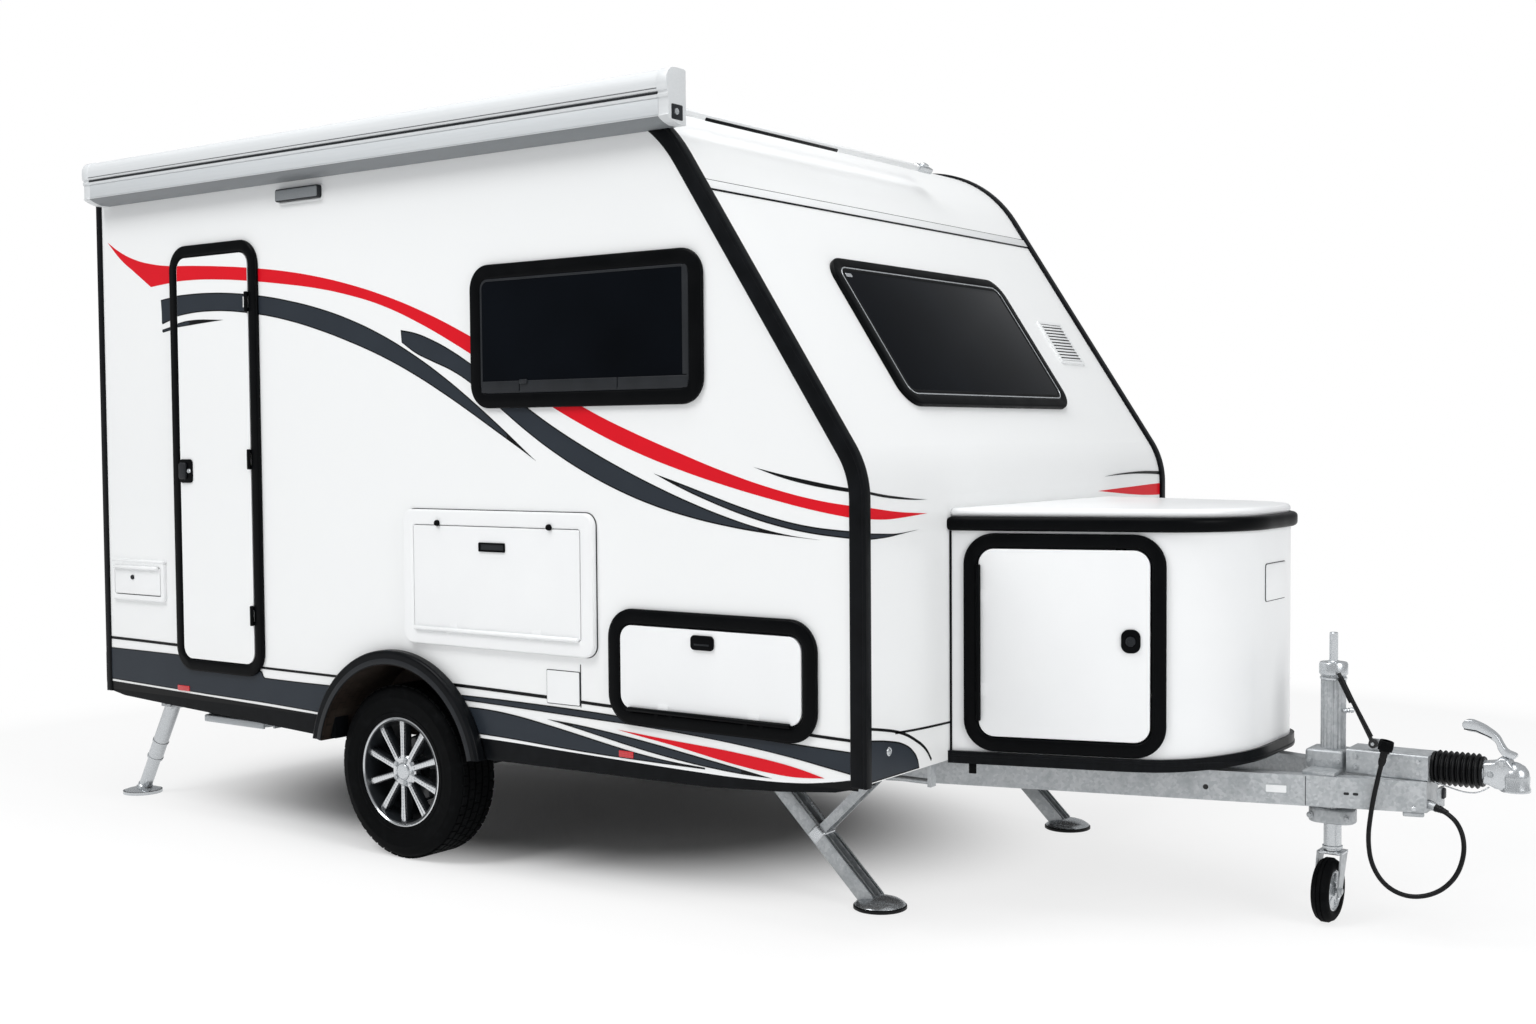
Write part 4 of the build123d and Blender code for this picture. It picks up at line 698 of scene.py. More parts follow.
def grey_plastic(name):
    # Grey polypropylene housing: matt with a spark-eroded grain drawn at 3 mm. The same dark grey on the awning case's
    # underside is painted shade.
    made, tree, shader, at = blank(name)
    grain = add(tree, "TexNoise", {"Vector": at, "Scale": per_mm(3), "Detail": 2.0}, "Fac")
    return finish(made, tree, shader, grain, ("#6C7073", "#83878A"), grain, (0.40, 0.55), (grain, 0.10, 0.0003),
                  IOR=1.49)


def underfloor(name):
    # Phenolic-faced plywood under the floor: brown-black film with the mesh print of its press, drawn 14 mm apart,
    # and road dirt.
    made, tree, shader, at = blank(name)
    mesh = add(tree, "TexBrick", {"Vector": at, "Scale": per_mm(14) / 2, "Color1": linear("#211A16"),
                                  "Color2": linear("#261E19"), "Mortar": linear("#16110E"), "Mortar Size": 0.06,
                                  "Brick Width": 1.0, "Row Height": 1.0})
    dirt = add(tree, "TexNoise", {"Vector": at, "Scale": per_mm(150), "Detail": 5.0}, "Fac")
    dirty = add(tree, "MapRange", {"Value": dirt, "From Min": 0.45, "From Max": 0.8, "To Min": 0.0, "To Max": 0.6},
                "Result")
    return finish(made, tree, shader, dirty, (mesh.outputs["Color"], "#4A433C"), dirt, (0.45, 0.75),
                  (mesh.outputs["Fac"], 0.15, 0.0005), IOR=1.5, Specular_IOR_Level=0.15)


def studio_floor(name):
    # Seamless white studio floor: matt near the trailer, where it takes the shadow, and plain white further out;
    # painted light fades the shadow out between.
    made, tree, shader, at = blank(name)
    feed(tree, shader, Base_Color=linear(colours().floor), Roughness=0.9, Specular_IOR_Level=0.0)
    near = add(tree, "Mapping", {"Vector": at, "Location": (0.95, 0.0, 0.0), "Scale": (1.0, 1.5, 1.0)}, "Vector")
    beside = add(tree, "VectorMath", {0: near}, "Value", operation="LENGTH")
    reach = add(tree, "VectorMath", {0: at}, "Value", operation="LENGTH")
    # Painted light: a white glow that only the camera and reflections see fades the trailer's shadow, from none inside
    # an ellipse under the body to 78 % beyond it.
    painted_light_fade = add(tree, "MapRange", {"Value": beside, "From Min": 1.0, "From Max": 2.1, "To Max": 0.78}, "Result",
              interpolation_type="SMOOTHSTEP")
    plain_out = add(tree, "MapRange", {"Value": reach, "From Min": 3.0, "From Max": 5.2}, "Result",
                    interpolation_type="SMOOTHSTEP")
    far = add(tree, "Math", {0: painted_light_fade, 1: plain_out}, 0, operation="MAXIMUM")
    light = add(tree, "LightPath")
    seen = add(tree, "Math", {0: light.outputs["Is Camera Ray"], 1: light.outputs["Is Glossy Ray"]}, 0,
               operation="MAXIMUM")
    plain = add(tree, "Math", {0: far, 1: seen}, 0, operation="MULTIPLY")
    white = add(tree, "Emission", {"Color": linear(colours().floor), "Strength": 1.0}, "Emission")
    joined_up = add(tree, "MixShader", {0: plain, 1: shader.outputs["BSDF"], 2: white}, "Shader")
    out = [n for n in tree.nodes if n.type == "OUTPUT_MATERIAL"][0]
    tree.links.new(joined_up, out.inputs["Surface"])
    return made


WHEEL_LOW, WHEEL_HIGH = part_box("tyre_right")
WHEEL_MIDDLE = (WHEEL_LOW + WHEEL_HIGH) / 2
LOOKS = {
    "laminate": ("body_panel", laminate), "thermoformed": ("body_panel", thermoformed),
    "moulded_black": ("black_plastic", moulded_black), "trim_rubber": ("black_plastic", trim_rubber),
    "graphite": ("black_plastic", graphite), "glazing": ("tinted_acrylic", glazing), "film_red": ("body_panel", film),
    "film_slate": ("body_panel", film), "film_black": ("body_panel", film), "film_white": ("body_panel", film),
    "coated_white": ("body_panel", powder_coat), "coated_grey": ("step_grey", powder_coat),
    "coated_pale": ("body_panel", powder_coat), "coated_shell": ("body_panel", powder_coat),
    "galvanised": ("galvanised_steel", galvanised), "bright_zinc": ("galvanised_steel", bright_zinc),
    "dipped_steel": ("black_steel", dipped_steel), "tyre_rubber": ("tyre", tyre_rubber),
    "soft_rubber": ("rubber", soft_rubber), "machined_alloy": ("alloy", machined_alloy),
    "wheel_paint": ("alloy", wheel_paint), "lens_red": ("lamp_red", lens), "lens_amber": ("lamp_red", lens),
    "lens_clear": ("lamp_red", lens), "grey_plastic": ("step_grey", grey_plastic),
    "underfloor": ("floor_board", underfloor), "studio_floor": ("body_panel", studio_floor),
}


# --- Stage, camera and cable ----------------------------------------------------------------------

LENS, SENSOR, CAMERA_REACH = 40.59, 36, 100         # focal length and sensor width in mm, clipping distance in m
CAMERA_TURN, CAMERA_PITCH, CAMERA_ROLL = radians(35.442), radians(-2.437), -0.00728
CAMERA_SPOT = (3.786, -5.289, 1.486)
LEAD_ROUTE = [(2.457, -0.054, 0.390), (2.503, -0.072, 0.378), (2.540, -0.090, 0.336), (2.550, -0.104, 0.275),
              (2.530, -0.115, 0.205), (2.478, -0.123, 0.152), (2.403, -0.127, 0.130), (2.335, -0.127, 0.152),
              (2.292, -0.125, 0.210), (2.280, -0.123, 0.285), (2.287, -0.121, 0.360), (2.300, -0.119, 0.440),
              (2.318, -0.118, 0.520)]
LEAD_RADIUS = 0.007
LAMPS = (("lamp_top", (0.6, -1.0, 7.5), (0.2, 0, 0.5), 4.5, 235),       # name, place, aim, side in m, power in W
         ("lamp_front", (9.0, -2.5, 4.6), (0.8, 0, 1.2), 4.0, 240),
         ("lamp_side", (-2.4, -6.2, 8.0), (-0.4, -1.0, 1.2), 3.5, 365))
FILL = 0.45                                         # strength of the sky on the trailer


class CAMPER_OT_camera(bpy.types.Operator):
    """Sets up the camera at the trailer's front right"""
    bl_idname = "camper.camera"
    bl_label = "Camera"

    def execute(self, context):
        data = bpy.data.cameras.new("camera")
        data.lens, data.sensor_width, data.clip_end = LENS, SENSOR, CAMERA_REACH
        camera = bpy.data.objects.new("camera", data)
        context.scene.collection.objects.link(camera)
        turn, pitch, roll = CAMERA_TURN, CAMERA_PITCH, CAMERA_ROLL
        ahead = Vector((-sin(turn) * cos(pitch), cos(turn) * cos(pitch), sin(pitch)))
        right = Vector((cos(turn), sin(turn), 0))
        up = right.cross(ahead)
        tilted_right = right * cos(roll) + up * sin(roll)
        tilted_up = up * cos(roll) - right * sin(roll)
        camera.matrix_world = Matrix((tilted_right, tilted_up, -ahead)).transposed().to_4x4()
        camera.location = CAMERA_SPOT
        context.scene.camera = camera
        return {"FINISHED"}


class CAMPER_OT_cable(bpy.types.Operator):
    """Makes the lead to the towing car, hanging from the drawbar and hooked up beside the coupling"""
    bl_idname = "camper.cable"
    bl_label = "Towing lead"

    def execute(self, context):
        route = LEAD_ROUTE
        nothing()
        bpy.ops.curve.primitive_nurbs_path_add(location=(0, 0, 0))
        lead = context.object
        lead.name = "towing_lead"
        lead.data.splines.clear()
        line = lead.data.splines.new("NURBS")
        line.points.add(len(route) - 1)
        for spot, point in zip(line.points, route):
            spot.co = (*point, 1)
        line.order_u = 3
        line.use_endpoint_u = True
        line.resolution_u = 12
        lead.data.bevel_depth = LEAD_RADIUS
        lead.data.bevel_resolution = 5
        lead.data.use_fill_caps = True
        lead.data.materials.append(soft_rubber("lead_jacket"))
        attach(lead, "trailer")
        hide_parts("cable")
        start, end = Vector(route[0]), Vector(route[-1])
        out, tip = Vector(route[1]) - start, (end - Vector(route[-2])).normalized()
        relief = turned("lead_relief", [(0.0128, -0.004), (0.0128, 0.004), (0.0110, 0.006), (0.0112, 0.012),
            (0.0098, 0.014), (0.0100, 0.020), (0.0088, 0.022), (0.0089, 0.028), (0.0080, 0.030), (0.0078, 0.038)], 24)
        settle(place(relief, along(start, out)), "soft_rubber")
        neck = turned("plug_neck", [(0.0085, -0.010), (0.0110, 0.0), (0.0112, 0.010), (0.0098, 0.012), (0.0110, 0.016),
            (0.0110, 0.026), (0.0150, 0.030), (0.0160, 0.036)], 28)
        settle(place(neck, along(end, tip)), "soft_rubber", stands_for=("cable_plug",))
        shell = turned("plug_shell", [(0.0165, 0.0355), (0.0205, 0.0365), (0.0210, 0.039), (0.0210, 0.060),
            (0.0200, 0.0655), (0.0172, 0.0658), (0.0168, 0.060)], 40)
        ribs = repeated("plug_ribs", block("plug_rib", (0.0205, -0.0012, 0.042), (0.0216, 0.0012, 0.058), 0.0004),
                        [Matrix.Rotation(2 * pi * k / 16, 4, "Z") for k in range(16)])
        settle(place(joined("plug_shell", [shell, ribs]), along(end, tip)), "moulded_black")
        return {"FINISHED"}


class CAMPER_OT_stage(bpy.types.Operator):
    """Makes the pale studio floor, the lamps and the world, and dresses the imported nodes"""
    bl_idname = "camper.stage"
    bl_label = "Studio"

    def execute(self, context):
        scene = context.scene
        scene.view_settings.view_transform = "Standard"
        nothing()
        bpy.ops.mesh.primitive_circle_add(vertices=64, radius=30, fill_type="NGON", location=(0, 0, -0.0005))
        floor = context.object
        floor.name = "studio_floor"
        apply_place(floor)
        floor.data.materials.append(studio_floor("studio_floor"))
        world = bpy.data.worlds.new("studio_world")
        scene.world = world
        world.use_nodes = True
        tree = world.node_tree
        tree.nodes.clear()
        rays = add(tree, "LightPath")
        seen = add(tree, "Math", {0: rays.outputs["Is Camera Ray"], 1: rays.outputs["Is Transmission Ray"]},
            operation="MAXIMUM").outputs[0]
        fill = add(tree, "Background", {"Color": linear("#F4F6F8"), "Strength": FILL})
        white = add(tree, "Background", {"Color": linear(colours().floor), "Strength": 1.0})
        mix = add(tree, "MixShader", {0: seen, 1: fill.outputs["Background"], 2: white.outputs["Background"]})
        add(tree, "OutputWorld", {"Surface": mix.outputs["Shader"]})
        for name, spot, aim, size, power in LAMPS:
            bpy.ops.object.light_add(type="AREA", location=spot)
            lamp = context.object
            lamp.name = name
            lamp.data.shape = "SQUARE"
            lamp.data.size = size
            lamp.data.energy = power
            lamp.rotation_euler = (Vector(aim) - Vector(spot)).to_track_quat("-Z", "Y").to_euler()
        dress("laminate", "side_wall_right", "side_wall_left", "front_wall", "rear_wall", "roof", "entrance_door")
        dress("thermoformed", "hatch_frames", "hatch_flap", "service_flap", "locker_flap_right", "locker_flap_left",
            "front_box", "front_box_lid", "box_door_right", "box_door_left")
        dress("moulded_black", "door_frames", "window_frames", "box_door_frames", "door_handle", "rear_bumper")
        dress("trim_rubber", "sills", "front_box_strip", "arch_flares")
        dress("glazing", "window_panes")
        dress("lens_red", "rear_lamps")
        dress("galvanised", "drawbar", "jack_column", "jack_stem", "caster_fork", "front_leg_right", "front_leg_left",
            "front_brace_right", "front_brace_left", "overrun_housing", "under_brackets")
        dress("bright_zinc", "coupling_head", "coupling_handle", "rear_leg_right", "rear_leg_left", "rear_foot_right",
            "rear_foot_left")
        dress("dipped_steel", "chassis_rails", "axle")
        dress("underfloor", "floor")
        dress("soft_rubber", "bellows", "cable", "cable_plug")
        dress("tyre_rubber", "tyre_right", "tyre_left", "caster_wheel")
        dress("machined_alloy", "rim_right", "rim_left")
        dress("coated_white", "awning_case")
        dress("grey_plastic", "awning_light")
        dress("coated_grey", "entry_step")
        return {"FINISHED"}


# --- Body: edge trims, joints and roof ------------------------------------------------------------

def body_profile(inset, rear_inset, low):
    """The side profile from the rear wall's foot over the roof to the front wall's foot, moved inwards."""
    s = sizes()
    slope, steps = s.slope_angle, 14
    knee_run = inset * (1 - sin(slope)) / cos(slope)
    brow_run = (ROOF - s.knee_height - inset * (1 - cos(slope))) / sin(slope)
    corners = [((REAR + rear_inset, ROOF - inset), s.tail_radius - inset),
               ((FRONT - inset * sin(slope) - brow_run * cos(slope), ROOF - inset), s.brow_radius - inset),
               ((FRONT - inset, s.knee_height - inset * cos(slope) + knee_run * sin(slope)), s.knee_radius - inset)]
    points = [Vector((REAR + rear_inset, low))]
    ends = [Vector(c) for c, _ in corners] + [Vector((FRONT - inset, low))]
    for index, (corner, radius) in enumerate(corners):
        here = Vector(corner)
        before, after = (points[-1] - here).normalized(), (ends[index + 1] - here).normalized()
        half = before.angle(after) / 2
        reach = radius / tan(half)
        middle = here + (before + after).normalized() * (radius / sin(half))
        first, last = here + before * reach - middle, here + after * reach - middle
        turn = first.angle_signed(last)
        for k in range(steps + 1):
            points.append(middle + Matrix.Rotation(-turn * k / steps, 2) @ first)
    points.append(Vector((FRONT - inset, low)))
    return [(p.x, p.y) for p in points]


class CAMPER_OT_trims(bpy.types.Operator):
    """Makes the black trims along the side walls' edges and the joints of roof and front"""
    bl_idname = "camper.trims"
    bl_label = "Edge trims"

    def execute(self, context):
        s = sizes()
        outer = body_profile(-0.003, -0.003, 0.470)
        inner = body_profile(s.trim_width, s.trim_rear, 0.470)
        trim = drawn("edge_trim", [outer + inner[::-1]], -0.014, 0.007, edge=0.006, segments=3)
        both_sides("edge_trim", place(trim, RIGHT_WALL), "trim_rubber", smooth=40)
        outer, inner = body_profile(-0.011, -0.004, 0.470), body_profile(0.002, 0.002, 0.470)
        bead = drawn("edge_bead", [outer + inner[::-1]], -0.026, 0.0068, edge=0.005, segments=3)
        both_sides("edge_bead", place(bead, RIGHT_WALL), "trim_rubber", smooth=40)
        half = HALF - 0.016
        slope = slope_frame()
        bar = block("front_joint", (-half, s.seam - 0.017, -0.001), (half, s.seam + 0.017, 0.0035), 0.0015)
        settle(place(bar, slope), "coated_white")
        for name, low, high in (("front_joint_seal_low", s.seam - 0.023, s.seam - 0.0165), ("front_joint_seal_high",
                s.seam + 0.0165, s.seam + 0.020)):
            settle(place(block(name, (-half, low, -0.001), (half, high, 0.0028), 0.0012), slope), "trim_rubber")
        rear = block("rear_joint", (-half, 2.450, -0.001), (half, 2.474, 0.004), 0.0015)
        settle(place(rear, REAR_WALL), "coated_white")
        brow = basis((0, 1, 0), (-cos(radians(33)), 0, sin(radians(33))), (0.462, 0, 2.4945))
        rail = block("roof_rail", (-half + 0.01, -0.012, -0.010), (0.36, 0.012, 0.009), 0.004)
        settle(place(rail, brow), "coated_white")
        seal = block("roof_rail_seal", (-half + 0.12, -0.0155, -0.010), (-0.20, -0.0115, 0.0005), 0.001)
        settle(place(seal, brow), "trim_rubber")
        foot = block("roof_rail_foot", (0.355, -0.020, -0.010), (0.445, 0.020, 0.012), 0.005)
        lug = block("roof_rail_lug", (0.385, -0.012, 0.010), (0.415, 0.012, 0.022), 0.004)
        settle(place(joined("roof_rail_foot", [foot, lug]), brow), "bright_zinc")
        return {"FINISHED"}


# --- Stripes ---------------------------------------------------------------------------------------

FILM_GAP, FRONT_FILM_GAP = 0.0002, 0.0003           # from a wall to the back of its film, side and front
STRIPE_INSET = 12                                   # from the front wall's edge to a stripe's end, in mm
RED_TOP = [(-2478, 2297, True), (-2400, 2255), (-2300, 2217), (-2190, 2192), (-2060, 2176), (-1900, 2166),
    (-1740, 2154), (-1580, 2139), (-1400, 2117), (-1220, 2087), (-1040, 2048), (-860, 1999), (-680, 1939), (-500, 1867),
    (-300, 1774), (-100, 1672), (100, 1577), (280, 1506), (460, 1443), (640, 1384), (820, 1335), (980, 1303),
    (1110, 1287, True)]
RED_FOOT = [(-2390, 2222), (-2300, 2166), (-2196, 2102, True), (-2080, 2110), (-1900, 2112), (-1740, 2104),
    (-1580, 2090), (-1400, 2069), (-1220, 2044), (-1040, 2009), (-860, 1961), (-680, 1893), (-500, 1811), (-300, 1711),
    (-100, 1610), (100, 1518), (280, 1448), (460, 1391), (640, 1343), (820, 1302), (980, 1271), (1110, 1252, True)]
SWEEPS = {"upper": ([(-2134, 2048), (-2060, 2055), (-1950, 2059), (-1820, 2058), (-1680, 2050), (-1520, 2032),
    (-1360, 2005), (-1200, 1970), (-1040, 1924), (-880, 1865), (-720, 1791), (-560, 1703), (-430, 1621), (-340, 1560),
    (-270, 1511), (-200, 1460), (-140, 1417)], [(-2126, 1952), (-2050, 1970), (-1950, 1983), (-1820, 1987),
    (-1680, 1980), (-1520, 1960), (-1360, 1930), (-1200, 1890), (-1040, 1842), (-880, 1787), (-720, 1721), (-560, 1644),
    (-430, 1576), (-340, 1527), (-270, 1489), (-200, 1451), (-140, 1417)]),
    "streak": ([(-2128, 1931), (-2028, 1947), (-1937, 1958), (-1728, 1951)], [(-2124, 1919), (-2042, 1931),
    (-1937, 1939), (-1728, 1951)]), "lower": ([(-772, 1873), (-700, 1860), (-620, 1834), (-520, 1791), (-420, 1738),
    (-300, 1668), (-180, 1596), (-60, 1529), (80, 1460), (220, 1398), (360, 1342), (500, 1292), (640, 1249),
    (760, 1219), (880, 1198), (979, 1188)], [(-768, 1829), (-700, 1790), (-620, 1759), (-520, 1722), (-420, 1670),
    (-300, 1592), (-180, 1514), (-60, 1445), (80, 1377), (220, 1321), (360, 1277), (500, 1244), (640, 1220),
    (760, 1205), (880, 1195), (979, 1188)]), "wedge": ([(358, 1379), (460, 1350), (580, 1314), (700, 1279), (820, 1249),
    (940, 1228), (1060, 1218), (1110, 1216)], [(358, 1379), (460, 1336), (580, 1293), (700, 1256), (820, 1227),
    (940, 1207), (1060, 1196), (1110, 1193)]), "hairline": ([(744, 1400), (840, 1380), (940, 1362), (1040, 1346),
    (1110, 1337)], [(744, 1400), (840, 1371), (940, 1349), (1040, 1334), (1110, 1326)]),}
SKIRTS = {"front_band": ([(-560, 615), (-402, 615), (-119, 612), (80, 608), (280, 601), (480, 594), (680, 587),
    (880, 580), (1110, 574)], [(-560, 598), (-310, 593), (-111, 588), (86, 583), (285, 578), (484, 569), (682, 556),
    (881, 536), (983, 522), (1110, 504)]), "front_wedge": ([(-540, 577), (-365, 575), (-234, 565), (-103, 548),
    (27, 529), (158, 509), (289, 491), (420, 479), (551, 473)], [(-540, 489), (-342, 486), (-240, 483), (-138, 479),
    (-36, 475), (66, 472), (168, 470), (270, 469), (420, 468), (551, 468)]),
    "front_blade": ([(-104, 566), (9, 561), (123, 552), (236, 541), (350, 528), (463, 513), (577, 498), (690, 483),
    (804, 467)], [(-104, 566), (9, 549), (123, 531), (236, 513), (350, 497), (463, 484), (577, 474), (690, 468),
    (804, 467)]), "rear_band": ([(-2536, 650), (-2300, 650), (-2072, 649), (-2060, 648), (-2036, 623), (-2024, 622),
    (-1800, 621), (-1574, 620), (-1562, 619), (-1544, 597), (-1532, 596), (-1350, 595), (-1150, 596)],
    [(-2536, 521), (-2300, 515), (-2045, 509), (-1920, 506), (-1800, 504), (-1680, 502), (-1560, 500), (-1350, 494),
    (-1150, 487)]),}
RED_BLADE = [(199, 559, True), (298, 553), (397, 547), (496, 542), (596, 537), (695, 530), (794, 521), (893, 508),
    (993, 488, True), (893, 480), (794, 483), (695, 492), (596, 505), (496, 520), (397, 534), (298, 546)]
WHITE_LINE = [(-560, 484), (-444, 482), (-253, 480), (-63, 475), (127, 471), (318, 467), (508, 464), (699, 463),
    (889, 470), (983, 481), (1110, 505)]


def height_at(edge, x):
    """Height of an edge, given from left to right, at x."""
    for (x0, z0), (x1, z1) in zip(edge, edge[1:]):
        if x <= x1:
            return z0 + (z1 - z0) * (x - x0) / (x1 - x0)
    return edge[-1][1]


def narrowed(top, foot, edge):
    """The band between two edges, narrower by a black edge on each side, without the tips where nothing is left."""
    upper, lower = [], []
    for x in sorted({p[0] for p in top} | {p[0] for p in foot}):
        tilt = hypot(1, (height_at(top, x + 5) - height_at(top, x - 5)) / 10)
        high, low = height_at(top, x) - edge * tilt, height_at(foot, x) + edge * tilt
        if high - low > 2:
            upper.append((x, high))
            lower.append((x, low))
    if height_at(top, upper[0][0]) - height_at(foot, upper[0][0]) > 4 * edge:
        upper[0], lower[0] = (upper[0][0] + edge, upper[0][1]), (lower[0][0] + edge, lower[0][1])
    return upper, lower


def closed(top, foot):
    """One outline from a band's two edges, sharp at its ends."""
    sharp = lambda line: [(*line[0][:2], True)] + [p[:2] for p in line[1:-1]] + [(*line[-1][:2], True)]
    lower = sharp(foot)[::-1]
    if top[-1][:2] == foot[-1][:2]:
        lower = lower[1:]
    if top[0][:2] == foot[0][:2]:
        lower = lower[:-1]
    return sharp(top) + lower


def scaled(outline):
    """An outline in millimetres as metres."""
    return [(p[0] * MM, p[1] * MM, *p[2:]) for p in outline]


def cut_film(name, outline, low, high, plane=RIGHT_WALL):
    """A piece of film cut to an outline in millimetres, standing on a wall."""
    return place(drawn(name, [scaled(outline)], low, high, smooth=True), plane)


def sweep_pair(name, top, foot, edge, plane, low):
    """A slate band over a slightly larger black one; returns both, standing on a wall."""
    film_of = sizes().film
    black = cut_film(name + "_edge", closed(top, foot), low, low + film_of, plane)
    slate = cut_film(name, closed(*narrowed(top, foot, edge)), low, low + 2 * film_of, plane)
    return black, slate


def opening(name, panel):
    """A block through the right wall, to cut film away at an opening."""
    return place(plate(name, panel, -0.02, 0.02), RIGHT_WALL)


def door_leaf():
    """The entrance door's leaf as (x0, x1, z0, z1, radius)."""
    low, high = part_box("entrance_door")
    return (low.x, high.x - 0.006, low.z, high.z, 0.048)


def side_window():
    """The side window over its frame."""
    s = sizes()
    x1 = FRONT - s.window_from_front
    return (x1 - s.window_width, x1, s.window_low, s.window_high, s.window_radius)


def clear_of_arch(piece):
    """Cuts away what would show inside the wheel arch, under its flare."""
    tool = turned("arch_zone", [(ARCH_RADIUS - 0.020, -0.05), (ARCH_RADIUS - 0.020, 0.05)], 96)
    return trimmed(piece, place(tool, arch_frame()))


ARCH_RADIUS = 0.431


def arch_frame():
    """The right arch's centre on the side wall: X forwards, Y up, Z out."""
    low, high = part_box("arch_flares")
    return RIGHT_WALL @ moved((low.x + high.x) / 2, high.z - ARCH_RADIUS, 0)


